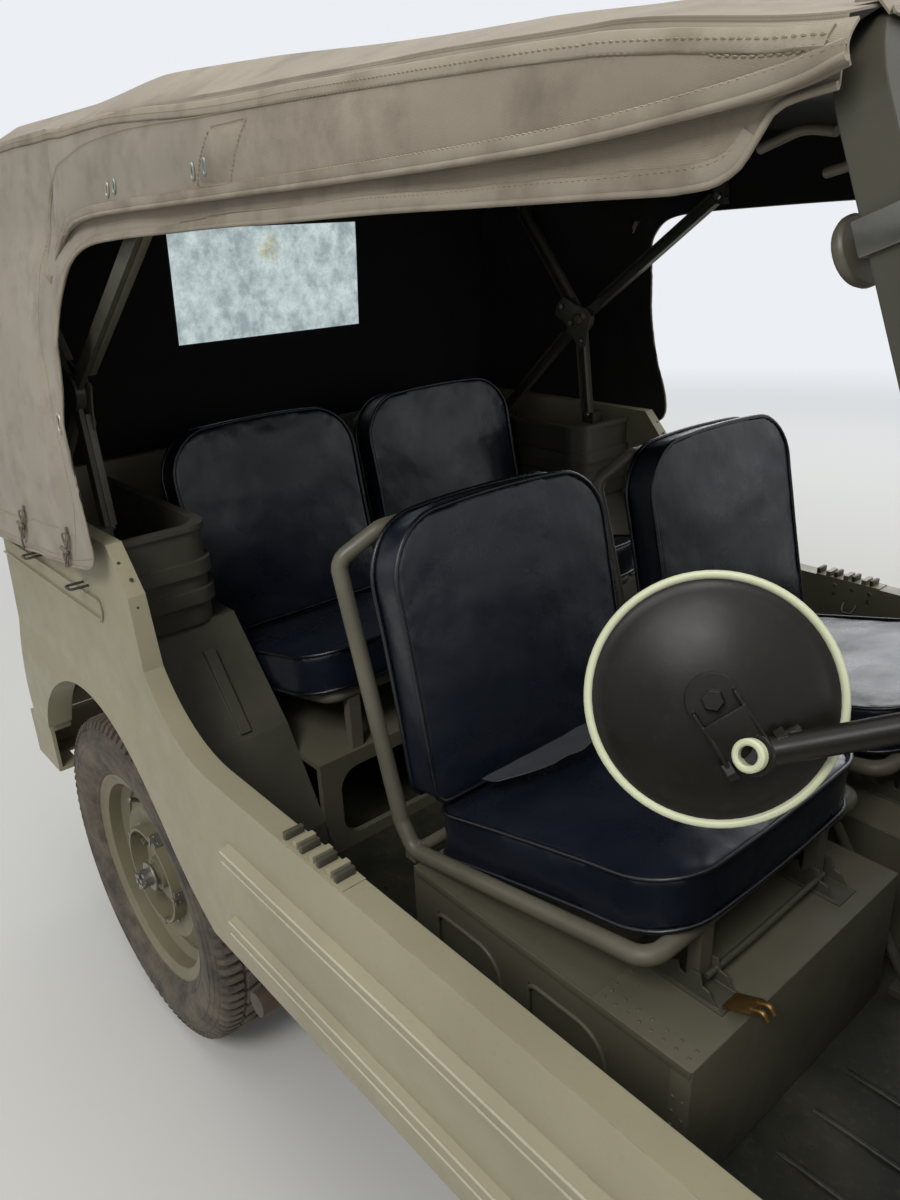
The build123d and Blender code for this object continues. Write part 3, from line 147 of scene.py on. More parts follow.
@dataclass(frozen=True)
class Finish:
    """A finish with one principled surface, dressed by its own pattern."""

    name: str
    colour: str
    roughness: float
    slot: Slot

    def sockets(self) -> dict:
        """Gives the plain values of the surface's own sockets."""
        return {"Roughness": self.roughness}

    def pattern(self, tree: bpy.types.NodeTree, place: bpy.types.NodeSocket) -> dict:
        """Adds the pattern's nodes and gives the sockets that they drive."""
        return {"Base Color": linear(self.colour)}

    def material(self) -> bpy.types.Material:
        """Gives the finish's material, made on its first use.

        Returns:
            The material.
        """
        found = bpy.data.materials.get(self.name)
        if found:
            return found
        made = bpy.data.materials.new(self.name)
        made.use_nodes = True
        tree = made.node_tree
        surface = tree.nodes["Principled BSDF"]
        coordinates = add_node(tree, "TexCoord")
        driven = self.pattern(tree, coordinates.outputs["Object"])
        for name, value in {**self.sockets(), **driven}.items():
            if isinstance(value, bpy.types.NodeSocket):
                tree.links.new(value, surface.inputs[name])
            else:
                surface.inputs[name].default_value = value
        return made


def mixed(tree: bpy.types.NodeTree, share: object, first: object, second: object) -> bpy.types.NodeSocket:
    """Mixes two colours by a share from 0 to 1.

    Args:
        tree: The material's node tree.
        share: Socket or number that says how much of the second colour there is.
        first: Colour or socket.
        second: Colour or socket.

    Returns:
        The mixed colour's socket.
    """
    node = add_node(tree, "Mix", {"data_type": "RGBA"}, {0: share, 6: first, 7: second})
    return node.outputs[2]


def ranged(tree: bpy.types.NodeTree, value: bpy.types.NodeSocket, low: float, high: float,
           to_low: float = 0.0, to_high: float = 1.0) -> bpy.types.NodeSocket:
    """Stretches a value from one range to another, clamped at both ends."""
    node = add_node(tree, "MapRange", {}, {0: value, 1: low, 2: high, 3: to_low, 4: to_high})
    return node.outputs[0]


def noise(tree: bpy.types.NodeTree, place: bpy.types.NodeSocket, size_mm: float,
          detail: float = 3.0, rough: float = 0.55) -> bpy.types.NodeSocket:
    """Adds a noise whose blotches are about size_mm across and gives its value.

    Args:
        tree: The material's node tree.
        place: Coordinates that the noise is read at.
        size_mm: Rough size of a blotch, in real millimetres.
        detail: How many finer layers are added.
        rough: How strong the finer layers are.

    Returns:
        The noise's value.
    """
    node = add_node(tree, "TexNoise", {}, {"Vector": place, "Scale": 1 / (size_mm * MM), "Detail": detail,
                                          "Roughness": rough})
    return node.outputs["Fac"]


def bumped(tree: bpy.types.NodeTree, height: bpy.types.NodeSocket, depth_mm: float,
           normal: Optional[bpy.types.NodeSocket] = None) -> bpy.types.NodeSocket:
    """Turns a height from 0 to 1 into a normal, with the depth in millimetres.

    Args:
        tree: The material's node tree.
        height: Height from 0 to 1.
        depth_mm: Depth that a height of 1 stands for.
        normal: Normal that the bump is added to, if there is one.

    Returns:
        The normal's socket.
    """
    links = {"Height": height, "Distance": depth_mm * MM, "Strength": 1.0}
    if normal is not None:
        links["Normal"] = normal
    return add_node(tree, "Bump", {}, links).outputs["Normal"]


@dataclass(frozen=True)
class VehiclePaint(Finish):
    """Brushed and sprayed army paint on steel sheet: satin, dusty, rubbed along its edges."""

    dust: str = "989078"
    dusty: float = 0.25
    worn: str = "4A463C"
    wear: float = 0.5
    edge_mm: float = 1.6
    sheen: float = 0.35

    def sockets(self) -> dict:
        """Gives the plain values of the surface's own sockets."""
        return {"Specular IOR Level": self.sheen, "IOR": 1.5}

    def pattern(self, tree: bpy.types.NodeTree, place: bpy.types.NodeSocket) -> dict:
        """Adds tone drift, dust, rubbed edges and sprayed-paint texture.

        Args:
            tree: The material's node tree.
            place: Coordinates that the pattern is read at.

        Returns:
            The sockets that the pattern drives, by name.
        """
        drift = ranged(tree, noise(tree, place, 260), 0.35, 0.65)
        speck = ranged(tree, noise(tree, place, 9, 5, 0.7), 0.56, 0.72)
        cloud = ranged(tree, noise(tree, place, 120, 4), 0.42, 0.7, 0, self.dusty)
        base = linear(self.colour)
        darker = tuple(0.86 * c for c in base[:3]) + (1,)
        colour = mixed(tree, drift, base, darker)
        colour = mixed(tree, cloud, colour, linear(self.dust))
        flecks = add_node(tree, "Math", {"operation": "MULTIPLY"}, {0: speck, 1: 0.18 * self.wear})
        colour = mixed(tree, flecks.outputs[0], colour, linear(self.worn))
        # Paint is rubbed thin where two panels meet at an edge
        round_edge = add_node(tree, "Bevel", {"samples": 4}, {"Radius": self.edge_mm * MM})
        facing = add_node(tree, "NewGeometry").outputs["True Normal"]
        turn = add_node(tree, "VectorMath", {"operation": "DOT_PRODUCT"},
                        {0: round_edge.outputs[0], 1: facing}).outputs["Value"]
        edge = ranged(tree, turn, 0.99, 0.80)
        rubbed = add_node(tree, "Math", {"operation": "MULTIPLY"},
                          {0: edge, 1: ranged(tree, noise(tree, place, 22, 4), 0.5, 0.62, 0, self.wear)})
        colour = mixed(tree, rubbed.outputs[0], colour, linear(self.worn))
        rough = ranged(tree, noise(tree, place, 45, 4), 0.3, 0.7, self.roughness - 0.07, self.roughness + 0.1)
        dents = bumped(tree, noise(tree, place, 150, 1), 0.9, round_edge.outputs[0])
        normal = bumped(tree, noise(tree, place, 2.4, 2), 0.035, dents)
        return {"Base Color": colour, "Roughness": rough, "Normal": normal}


@dataclass(frozen=True)
class Cast(Finish):
    """Sand-cast or rough metal: grainy bump, oil film and dust."""

    grain_mm: float = 2.0
    depth_mm: float = 0.25
    metallic: float = 0.0
    stain: str = "5B4E3E"
    stained: float = 0.35

    def sockets(self) -> dict:
        """Gives the plain values of the surface's own sockets."""
        return {"Metallic": self.metallic}

    def pattern(self, tree: bpy.types.NodeTree, place: bpy.types.NodeSocket) -> dict:
        """Adds grain, stain and uneven gloss.

        Args:
            tree: The material's node tree.
            place: Coordinates that the pattern is read at.

        Returns:
            The sockets that the pattern drives, by name.
        """
        stain = ranged(tree, noise(tree, place, 60, 5), 0.45, 0.65, 0, self.stained)
        colour = mixed(tree, stain, linear(self.colour), linear(self.stain))
        rough = ranged(tree, noise(tree, place, 25, 4), 0.3, 0.7, self.roughness - 0.1, self.roughness + 0.12)
        normal = bumped(tree, noise(tree, place, self.grain_mm, 3), self.depth_mm)
        return {"Base Color": colour, "Roughness": rough, "Normal": normal}


@dataclass(frozen=True)
class Canvas(Finish):
    """Weathered cotton canvas: plain weave, faded blotches and soft creases."""

    faded: str = "A59A89"
    soil_and_weave_shade: str = "574E41"
    thread_mm: float = 1.5
    crease_mm: float = 2.2

    def sockets(self) -> dict:
        """Gives the plain values of the surface's own sockets."""
        return {"Roughness": self.roughness, "Sheen Weight": 0.25, "Sheen Roughness": 0.5,
                "Specular IOR Level": 0.15}

    def pattern(self, tree: bpy.types.NodeTree, place: bpy.types.NodeSocket) -> dict:
        """Adds the weave on the cloth's own coordinates, darker in its low gaps as painted shade, with
        fading, soil and creases.

        Args:
            tree: The material's node tree.
            place: Coordinates that the pattern is read at.

        Returns:
            The sockets that the pattern drives, by name.
        """
        cloth = add_node(tree, "UVMap", {"uv_map": "cloth"}).outputs[0]
        height = None
        # The real thread is about half a millimetre, drawn three times as coarse so that it shows
        for bands in ("X", "Y"):
            wave = add_node(tree, "TexWave", {"wave_type": "BANDS", "bands_direction": bands},
                            {"Vector": cloth, "Scale": 0.314 / (self.thread_mm * MM), "Distortion": 0.6,
                             "Detail": 1.0, "Detail Scale": 2.0})
            if height is None:
                height = wave.outputs["Fac"]
            else:
                height = add_node(tree, "Math", {"operation": "MULTIPLY"},
                                  {0: height, 1: wave.outputs["Fac"]}).outputs[0]
        fade = ranged(tree, noise(tree, place, 210, 5, 0.6), 0.4, 0.66, 0, 0.75)
        soil = ranged(tree, noise(tree, place, 70, 6, 0.65), 0.5, 0.72, 0, 0.45)
        colour = mixed(tree, fade, linear(self.colour), linear(self.faded))
        colour = mixed(tree, soil, colour, linear(self.soil_and_weave_shade))
        # Darker in the low gaps between the threads: painted shade in the weave
        threads = ranged(tree, height, 0.0, 0.8, 0.16, 0.0)
        colour = mixed(tree, threads, colour, linear(self.soil_and_weave_shade))
        crease = add_node(tree, "TexNoise", {"noise_type": "RIDGED_MULTIFRACTAL"},
                          {"Vector": place, "Scale": 1 / 0.11, "Detail": 3.0,
                           "Distortion": 0.7}).outputs["Fac"]
        folds = bumped(tree, crease, self.crease_mm)
        normal = bumped(tree, height, 0.22, folds)
        return {"Base Color": colour, "Normal": normal}


@dataclass(frozen=True)
class Vinyl(Finish):
    """Coated seat cloth: fine pressed leather grain, polished by use, with pale scuffs."""

    scuff: str = "6E7178"
    grain_mm: float = 2.0

    def sockets(self) -> dict:
        """Gives the plain values of the surface's own sockets."""
        return {"Specular IOR Level": 0.5, "IOR": 1.5, "Coat Weight": 0.12, "Coat Roughness": 0.3}

    def pattern(self, tree: bpy.types.NodeTree, place: bpy.types.NodeSocket) -> dict:
        """Adds the grain, creases, polish and scuffs.

        Args:
            tree: The material's node tree.
            place: Coordinates that the pattern is read at.

        Returns:
            The sockets that the pattern drives, by name.
        """
        cells = add_node(tree, "TexVoronoi", {"feature": "DISTANCE_TO_EDGE"},
                         {"Vector": place, "Scale": 1 / (self.grain_mm * MM)}).outputs["Distance"]
        grain = ranged(tree, cells, 0.0, 0.35)
        worn = ranged(tree, noise(tree, place, 130, 5, 0.6), 0.42, 0.68)
        scratch = add_node(tree, "TexNoise", {"noise_type": "RIDGED_MULTIFRACTAL"},
                           {"Vector": place, "Scale": 1 / 0.035, "Detail": 6.0, "Distortion": 1.4})
        marks = ranged(tree, scratch.outputs["Fac"], 0.62, 0.9)
        shown = add_node(tree, "Math", {"operation": "MULTIPLY"},
                         {0: marks, 1: ranged(tree, noise(tree, place, 90, 3), 0.52, 0.66, 0, 0.22)})
        colour = mixed(tree, shown.outputs[0], linear(self.colour), linear(self.scuff))
        rough = ranged(tree, worn, 0, 1, self.roughness - 0.07, self.roughness + 0.12)
        folds = bumped(tree, noise(tree, place, 38, 3, 0.5), 1.1)
        normal = bumped(tree, grain, 0.07, folds)
        return {"Base Color": colour, "Roughness": rough, "Normal": normal}


@dataclass(frozen=True)
class TyreRubber(Finish):
    """Natural-rubber tyre: grey-brown road dust over black."""

    dust: str = "6D6254"

    def pattern(self, tree: bpy.types.NodeTree, place: bpy.types.NodeSocket) -> dict:
        """Adds road dust and moulded texture.

        Args:
            tree: The material's node tree.
            place: Coordinates that the pattern is read at.

        Returns:
            The sockets that the pattern drives, by name.
        """
        cloud = ranged(tree, noise(tree, place, 55, 5, 0.65), 0.35, 0.65, 0.15, 0.8)
        colour = mixed(tree, cloud, linear(self.colour), linear(self.dust))
        fine = bumped(tree, noise(tree, place, 3.0, 3), 0.12)
        rough = ranged(tree, noise(tree, place, 30, 3), 0.3, 0.7, self.roughness - 0.1, self.roughness + 0.08)
        return {"Base Color": colour, "Normal": fine, "Roughness": rough}


@dataclass(frozen=True)
class Moulded(Finish):
    """Hard moulded rubber or plastic: smooth, with fingerprints and fine scratches."""

    metallic: float = 0.0
    transmission: float = 0.0
    mark_mm: float = 14.0

    def sockets(self) -> dict:
        """Gives the plain values of the surface's own sockets."""
        return {"Metallic": self.metallic, "Transmission Weight": self.transmission}

    def pattern(self, tree: bpy.types.NodeTree, place: bpy.types.NodeSocket) -> dict:
        """Adds handling marks.

        Args:
            tree: The material's node tree.
            place: Coordinates that the pattern is read at.

        Returns:
            The sockets that the pattern drives, by name.
        """
        marks = noise(tree, place, self.mark_mm, 5, 0.65)
        base = linear(self.colour)
        lighter = tuple(min(1.0, 1.25 * c + 0.004) for c in base[:3]) + (1,)
        colour = mixed(tree, ranged(tree, marks, 0.45, 0.7, 0, 0.6), base, lighter)
        rough = ranged(tree, marks, 0.3, 0.7, max(0.03, self.roughness - 0.06), self.roughness + 0.1)
        normal = bumped(tree, noise(tree, place, 1.8, 2), 0.03)
        return {"Base Color": colour, "Roughness": rough, "Normal": normal}


@dataclass(frozen=True)
class ClearSheet(Finish):
    """Flexible clear plastic gone milky: pale blue-white, rubbed, with one yellow stain."""

    scuff: str = "A3B3B6"
    stain: str = "C9B24A"
    shade: str = "2E3536"

    def sockets(self) -> dict:
        """Gives the plain values of the surface's own sockets."""
        return {"Roughness": self.roughness, "Alpha": 0.93, "Transmission Weight": 0.1}

    def pattern(self, tree: bpy.types.NodeTree, place: bpy.types.NodeSocket) -> dict:
        """Adds rubbed streaks, a stain and the light that comes through the sheet.

        Args:
            tree: The material's node tree.
            place: Coordinates that the pattern is read at.

        Returns:
            The sockets that the pattern drives, by name.
        """
        cloud = ranged(tree, noise(tree, place, 46, 6, 0.7), 0.38, 0.62)
        rub = ranged(tree, noise(tree, place, 7, 5, 0.7), 0.5, 0.62, 0, 0.5)
        share = add_node(tree, "Math", {"operation": "MAXIMUM"}, {0: cloud, 1: rub}).outputs[0]
        colour = mixed(tree, share, linear(self.colour), linear(self.scuff))
        at = add_node(tree, "VectorMath", {"operation": "DISTANCE"}, {0: place, 1: (-1.385, 0.0, 1.505)})
        spot = ranged(tree, at.outputs["Value"], 0.036, 0.006, 0, 0.9)
        blot = add_node(tree, "Math", {"operation": "MULTIPLY"},
                        {0: spot, 1: ranged(tree, noise(tree, place, 12, 4), 0.45, 0.6)})
        colour = mixed(tree, blot.outputs[0], colour, linear(self.stain))
        normal = bumped(tree, noise(tree, place, 70, 2), 1.5)
        # Painted light: the sheet glows with its own colour, standing in for the daylight behind it as seen
        # from inside the hood, and its surface colour is darkened towards the shade colour
        body = mixed(tree, 0.72, colour, linear(self.shade))
        return {"Base Color": body, "Normal": normal, "Emission Color": colour, "Emission Strength": 0.72}


@dataclass(frozen=True)
class ClearGlass(Finish):
    """Float glass: thin, clear, a little green, with dust in its corners."""

    ior: float = 1.5
    clear: float = 0.22

    def sockets(self) -> dict:
        """Gives the plain values of the surface's own sockets."""
        return {"IOR": self.ior, "Alpha": self.clear, "Specular IOR Level": 0.6}

    def pattern(self, tree: bpy.types.NodeTree, place: bpy.types.NodeSocket) -> dict:
        """Adds a dust film that makes the glass show."""
        film = ranged(tree, noise(tree, place, 90, 5, 0.65), 0.4, 0.75)
        rough = ranged(tree, film, 0, 1, self.roughness, self.roughness + 0.18)
        return {"Base Color": linear(self.colour), "Roughness": rough}


KHAKI = VehiclePaint("khaki_army_paint", "9A937A", 0.40, Slot.PAINT)
CABIN = VehiclePaint("dark_olive_cabin_paint", "46443A", 0.44, Slot.CABIN, dust="716C5B", dusty=0.22,
                     worn="77725F", wear=0.4)
# The windscreen frame's khaki, darkened: painted shade
SHADE_DARKENED_SCREEN_KHAKI = VehiclePaint("dull_screen_frame_paint", "46443A", 0.42, Slot.PAINT, dust="64604F", dusty=0.2)
CHASSIS = VehiclePaint("dusty_chassis_paint", "33322B", 0.62, Slot.CHASSIS, dust="7A705E", dusty=0.45,
                       wear=0.4)
TUBE_PAINT = VehiclePaint("worn_tube_enamel", "5F5B4E", 0.42, Slot.TUBE, dust="8C8470", dusty=0.2,
                          worn="2F2D29", wear=0.9)
MUFFLER = Cast("heated_steel_pipe", "5A524A", 0.6, Slot.EXHAUST, metallic=0.6, stain="6B4A33", stained=0.6)
IRON = Cast("sand_cast_iron", "33322F", 0.68, Slot.CASTING)
BRIGHT_STEEL = Cast("bare_turned_steel", "8C8A84", 0.36, Slot.EXHAUST, grain_mm=1.0, depth_mm=0.03,
                    metallic=0.9)
BRASS = Cast("tarnished_brass", "8A6B3A", 0.42, Slot.EXHAUST, grain_mm=1.2, depth_mm=0.05, metallic=0.85,
             stain="3E3423")
CANVAS_CLOTH = Canvas("weathered_cotton_canvas", "918777", 0.93, Slot.CANVAS)
# Near-black inner face of the hood's canvas: painted shade for the inside of the hood
CANVAS_INNER_SHADE = Canvas("dark_canvas_lining", "211F22", 0.95, Slot.CANVAS, faded="26231F", soil_and_weave_shade="121110")
CANVAS_SEAM = Cast("folded_canvas_seam", "938A7B", 0.95, Slot.CANVAS, grain_mm=1.6, depth_mm=0.25,
                   stain="665B4B",
                   stained=0.5)
THREAD = Cast("waxed_linen_thread", "A3967F", 0.8, Slot.CANVAS, grain_mm=0.8, depth_mm=0.1, stain="6E6351")
EYELET = Cast("zinc_eyelet", "A9A59A", 0.45, Slot.CANVAS, grain_mm=1.0, depth_mm=0.05, metallic=0.7,
              stain="6F8F86", stained=0.5)
TOGGLE = Cast("grey_braided_cord", "6F675A", 0.85, Slot.CANVAS, grain_mm=1.2, depth_mm=0.3, stain="4A443B")
SEAT_VINYL = Vinyl("blue_black_seat_vinyl", "131823", 0.33, Slot.VINYL)
PIPING = Vinyl("seat_piping_vinyl", "0D0F15", 0.3, Slot.VINYL, grain_mm=1.2)
PLATE_PAINT = VehiclePaint("blank_plate_enamel", "26262A", 0.36, Slot.CABIN, dust="55544C", dusty=0.3,
                           worn="8C8A80", wear=0.25, edge_mm=0.8, sheen=0.5)
WHEEL_PAINT = VehiclePaint("dull_wheel_paint", "767059", 0.5, Slot.PAINT, dust="857A66", dusty=0.4)
# Pale, glossy paint of the tubes along the beads' edges: painted highlights
BEAD_HIGHLIGHT_PAINT = VehiclePaint("rubbed_edge_paint", "B4AF98", 0.2, Slot.PAINT, dust="A7A28B", dusty=0.1,
                            sheen=0.8)
CAST_ALLOY = Cast("dull_cast_alloy", "7E807C", 0.5, Slot.CASTING, grain_mm=1.6, depth_mm=0.12, metallic=0.9,
                  stain="4A463C", stained=0.5)
PALE_RIM = VehiclePaint("pale_green_rim_enamel", "C2C6A6", 0.34, Slot.PAINT, dust="A8A88C", dusty=0.3,
                        worn="8A8465", wear=0.5, edge_mm=0.6)
MIRROR_PAINT = VehiclePaint("dark_olive_gloss_paint", "110F0A", 0.36, Slot.CABIN, dust="211E18", dusty=0.3,
                            worn="5B5342", wear=0.3, edge_mm=0.6, sheen=0.2)
# The seat boxes' khaki made darker than the body's: their own khaki paint with painted shade
SHADE_DARKENED_BOX_KHAKI = VehiclePaint("olive_seat_box_paint", "5E5B4C", 0.42, Slot.CABIN, dust="777260", dusty=0.2,
                         worn="8A846E", wear=0.5)
MIRROR_GLASS = Moulded("silvered_glass", "D4D9DA", 0.04, Slot.GLASS, metallic=1.0)
WORN_STEEL = Cast("worn_clamp_steel", "6E6E68", 0.34, Slot.TUBE, grain_mm=1.4, depth_mm=0.04, metallic=0.8,
                  stain="44423A", stained=0.6)
FLOOR_PAINT = VehiclePaint("trodden_floor_paint", "262720", 0.34, Slot.CABIN, dust="5B5646", dusty=0.3,
                           worn="8A8470", wear=0.7, sheen=0.5)
WORN_VINYL = Vinyl("worn_grey_seat_vinyl", "4A4C50", 0.42, Slot.VINYL)
TREAD = TyreRubber("dusty_tyre_rubber", "2A2826", 0.86, Slot.TYRE)
HARD_RUBBER = Moulded("hard_rubber_moulding", "16161A", 0.32, Slot.RUBBER)
LENS = Moulded("red_moulded_lens", "7A0F0C", 0.12, Slot.RED)
AMBER = Moulded("amber_moulded_lens", "C4661A", 0.14, Slot.RED)
WINDOW_SHEET = ClearSheet("milky_window_sheet", "DDEBEB", 0.4, Slot.SHEET)
SCREEN_GLASS = ClearGlass("float_glass", "C9D6CF", 0.04, Slot.GLASS)
LAMP_GLASS = ClearGlass("fluted_lamp_glass", "E4E8E6", 0.05, Slot.LAMP, clear=0.35)


# Workshop: small tools that every sub-assembly uses

def clear_selection() -> None:
    """Leaves edit mode and deselects everything."""
    if bpy.context.object and bpy.context.object.mode != "OBJECT":
        bpy.ops.object.mode_set(mode="OBJECT")
    bpy.ops.object.select_all(action="DESELECT")


def choose(piece: bpy.types.Object) -> None:
    """Makes a piece the only selected and the active one."""
    clear_selection()
    piece.select_set(True)
    bpy.context.view_layer.objects.active = piece


def settle(piece: bpy.types.Object) -> bpy.types.Object:
    """Puts a piece's place, turn and scale into its mesh."""
    choose(piece)
    bpy.ops.object.transform_apply(location=True, rotation=True, scale=True)
    return piece


def modify(piece: bpy.types.Object, kind: str, **settings: object) -> bpy.types.Object:
    """Adds a modifier with its settings and applies it.

    Args:
        piece: What the modifier changes.
        kind: The modifier's type.
        settings: The modifier's settings, by name.

    Returns:
        The piece.
    """
    choose(piece)
    modifier = piece.modifiers.new(kind.lower(), kind)
    for name, value in settings.items():
        setattr(modifier, name, value)
    bpy.ops.object.modifier_apply(modifier=modifier.name)
    return piece


def smooth(piece: bpy.types.Object, degrees: float = 35) -> bpy.types.Object:
    """Shades a piece smooth, with its edges sharper than the angle left sharp."""
    choose(piece)
    bpy.ops.object.shade_smooth_by_angle(angle=math.radians(degrees))
    return piece


def outward(piece: bpy.types.Object, merge: float = 1e-5) -> bpy.types.Object:
    """Merges a piece's doubles and turns its faces outwards.

    Args:
        piece: What is merged and turned.
        merge: Distance under which two points become one.

    Returns:
        The piece.
    """
    choose(piece)
    bpy.ops.object.mode_set(mode="EDIT")
    bpy.ops.mesh.select_all(action="SELECT")
    bpy.ops.mesh.remove_doubles(threshold=merge)
    bpy.ops.mesh.normals_make_consistent(inside=False)
    bpy.ops.object.mode_set(mode="OBJECT")
    return piece


def block(name: str, low: Point, high: Point, edge: float = 0.0015, rings: int = 2) -> bpy.types.Object:
    """Adds a block between two corners, with its edges rounded.

    Args:
        name: The piece's name.
        low: Lowest corner.
        high: Highest corner.
        edge: Radius of its edges.
        rings: Segments of each rounded edge.

    Returns:
        The new piece.
    """
    clear_selection()
    centre = [(a + b) / 2 for a, b in zip(low, high)]
    bpy.ops.mesh.primitive_cube_add(size=1, location=centre)
    piece = bpy.context.object
    piece.name = name
    piece.scale = [b - a for a, b in zip(low, high)]
    settle(piece)
    if edge:
        bpy.ops.object.mode_set(mode="EDIT")
        bpy.ops.mesh.select_all(action="SELECT")
        bpy.ops.mesh.bevel(offset=edge, segments=rings, affect="EDGES")
        bpy.ops.object.mode_set(mode="OBJECT")
    return smooth(piece)


def rod(name: str, start: Point, end: Point, radius: float, sides: int = 16,
        edge: float = 0.001, end_radius: Optional[float] = None) -> bpy.types.Object:
    """Adds a round bar between two points, with the edges of its ends rounded.

    Args:
        name: The piece's name.
        start: Centre of the first end.
        end: Centre of the last end.
        radius: Radius at the first end.
        sides: Sides of the circle.
        edge: Width of the rounded edge at the ends.
        end_radius: Radius at the last end, where it tapers.

    Returns:
        The new piece.
    """
    clear_selection()
    along = Vector(end) - Vector(start)
    bpy.ops.mesh.primitive_cone_add(vertices=sides, radius1=radius,
                                    radius2=radius if end_radius is None else end_radius,
                                    depth=along.length, location=(Vector(start) + Vector(end)) / 2)
    piece = bpy.context.object
    piece.name = name
    if edge:
        bpy.ops.object.mode_set(mode="EDIT")
        bpy.ops.mesh.select_mode(type="FACE")
        bpy.ops.mesh.select_all(action="DESELECT")
        bpy.ops.object.mode_set(mode="OBJECT")
        for face in piece.data.polygons:
            face.select = abs(face.normal.z) > 0.9
        bpy.ops.object.mode_set(mode="EDIT")
        bpy.ops.mesh.inset(thickness=edge, depth=0)
        bpy.ops.mesh.select_more()
        bpy.ops.object.mode_set(mode="OBJECT")
        for vertex in piece.data.vertices:
            flat = math.hypot(vertex.co.x, vertex.co.y)
            limit = (radius if vertex.co.z < 0 or end_radius is None else end_radius) - edge * 0.5
            if flat > limit:
                vertex.co.z -= math.copysign(edge, vertex.co.z)
    piece.rotation_mode = "QUATERNION"
    piece.rotation_quaternion = Vector((0, 0, 1)).rotation_difference(along.normalized())
    settle(piece)
    return smooth(piece)


def turned(name: str, outline: Sequence[Point], place: Matrix, sides: int = 32,
           degrees: float = 30) -> bpy.types.Object:
    """Spins an outline round its own Z axis, as on a lathe.

    Args:
        name: The piece's name.
        outline: Points (radius, height); where a radius is 0 the shape closes on its axis.
        place: Where the shape's own axes lie in the car.
        sides: Steps round the axis.
        degrees: Edges sharper than this stay sharp.

    Returns:
        The new piece.
    """
    clear_selection()
    bpy.ops.mesh.primitive_plane_add(size=1)
    piece = bpy.context.object
    piece.name = name
    mesh = bmesh.new()
    last = None
    for radius, height in outline:
        point = mesh.verts.new((radius, 0, height))
        if last:
            mesh.edges.new((last, point))
        last = point
    mesh.to_mesh(piece.data)
    mesh.free()
    bpy.ops.object.mode_set(mode="EDIT")
    bpy.ops.mesh.select_all(action="SELECT")
    bpy.ops.mesh.spin(steps=sides, angle=2 * math.pi, center=(0, 0, 0), axis=(0, 0, 1))
    bpy.ops.mesh.select_all(action="SELECT")
    bpy.ops.mesh.remove_doubles(threshold=1e-5)
    bpy.ops.mesh.normals_make_consistent(inside=False)
    bpy.ops.object.mode_set(mode="OBJECT")
    piece.matrix_world = place
    settle(piece)
    return smooth(piece, degrees)


def tube(name: str, points: Sequence[Point], radius: float, bend: float = 0.0, closed: bool = False,
         sides: int = 4) -> bpy.types.Object:
    """Runs a round tube through points, with its corners rounded.

    Args:
        name: The piece's name.
        points: Centre line.
        radius: The tube's radius.
        bend: Radius of the corners; 0 for a smooth line through many points.
        closed: Whether the tube joins its own start.
        sides: Bevel resolution of the curve.

    Returns:
        The new piece, as a mesh.
    """
    clear_selection()
    line = [Vector(point) for point in points]
    if bend:
        soft = [line[0]]
        for before, corner, after in zip(line, line[1:], line[2:]):
            back, ahead = (before - corner), (after - corner)
            reach = min(bend, 0.45 * back.length, 0.45 * ahead.length)
            first, last = corner + back.normalized() * reach, corner + ahead.normalized() * reach
            for step in range(7):
                t = step / 6
                soft.append((1 - t) ** 2 * first + 2 * t * (1 - t) * corner + t ** 2 * last)
        soft.append(line[-1])
        line = soft
    data = bpy.data.curves.new(name, "CURVE")
    data.dimensions = "3D"
    spline = data.splines.new("POLY")
    spline.points.add(len(line) - 1)
    for point, place in zip(spline.points, line):
        point.co = (*place, 1)
    spline.use_cyclic_u = closed
    data.bevel_depth = radius
    data.bevel_resolution = sides
    data.use_fill_caps = True
    piece = bpy.data.objects.new(name, data)
    bpy.context.scene.collection.objects.link(piece)
    choose(piece)
    bpy.ops.object.convert(target="MESH")
    return smooth(bpy.context.object, 50)


def plate(name: str, outline: Sequence[Point], normal: Point, thick: float,
          edge: float = 0.001) -> bpy.types.Object:
    """Makes a flat plate from an outline in space.

    Args:
        name: The piece's name.
        outline: The corners of one face.
        normal: The way from that face through the thickness.
        thick: Thickness.
        edge: Radius of the plate's edges.

    Returns:
        The new piece.
    """
    clear_selection()
    bpy.ops.mesh.primitive_plane_add(size=1)
    piece = bpy.context.object
    piece.name = name
    mesh = bmesh.new()
    mesh.faces.new([mesh.verts.new(point) for point in outline])
    mesh.to_mesh(piece.data)
    mesh.free()
    bpy.ops.object.mode_set(mode="EDIT")
    bpy.ops.mesh.select_all(action="SELECT")
    bpy.ops.mesh.extrude_region_move(TRANSFORM_OT_translate={"value": Vector(normal).normalized() * thick})
    bpy.ops.mesh.select_all(action="SELECT")
    bpy.ops.mesh.normals_make_consistent(inside=False)
    if edge:
        bpy.ops.mesh.bevel(offset=edge, segments=2, affect="EDGES", clamp_overlap=True)
    bpy.ops.object.mode_set(mode="OBJECT")
    return smooth(piece)


def joined(name: str, pieces: Sequence[bpy.types.Object]) -> bpy.types.Object:
    """Joins pieces into one, under a name.

    Args:
        name: The joined piece's name.
        pieces: What is joined, onto the first one.

    Returns:
        The joined piece.
    """
    clear_selection()
    for piece in pieces:
        piece.select_set(True)
    bpy.context.view_layer.objects.active = pieces[0]
    if len(pieces) > 1:
        bpy.ops.object.join()
    pieces[0].name = name
    return pieces[0]


def copied(piece: bpy.types.Object, name: str, place: Matrix) -> bpy.types.Object:
    """Copies a piece with its own mesh to another place.

    Args:
        piece: What is copied.
        name: The copy's name.
        place: How the copy is moved from the first one's place.

    Returns:
        The copy.
    """
    made = piece.copy()
    made.data = piece.data.copy()
    made.name = name
    bpy.context.scene.collection.objects.link(made)
    made.data.transform(place)
    if place.determinant() < 0:
        made.data.flip_normals()
    return made


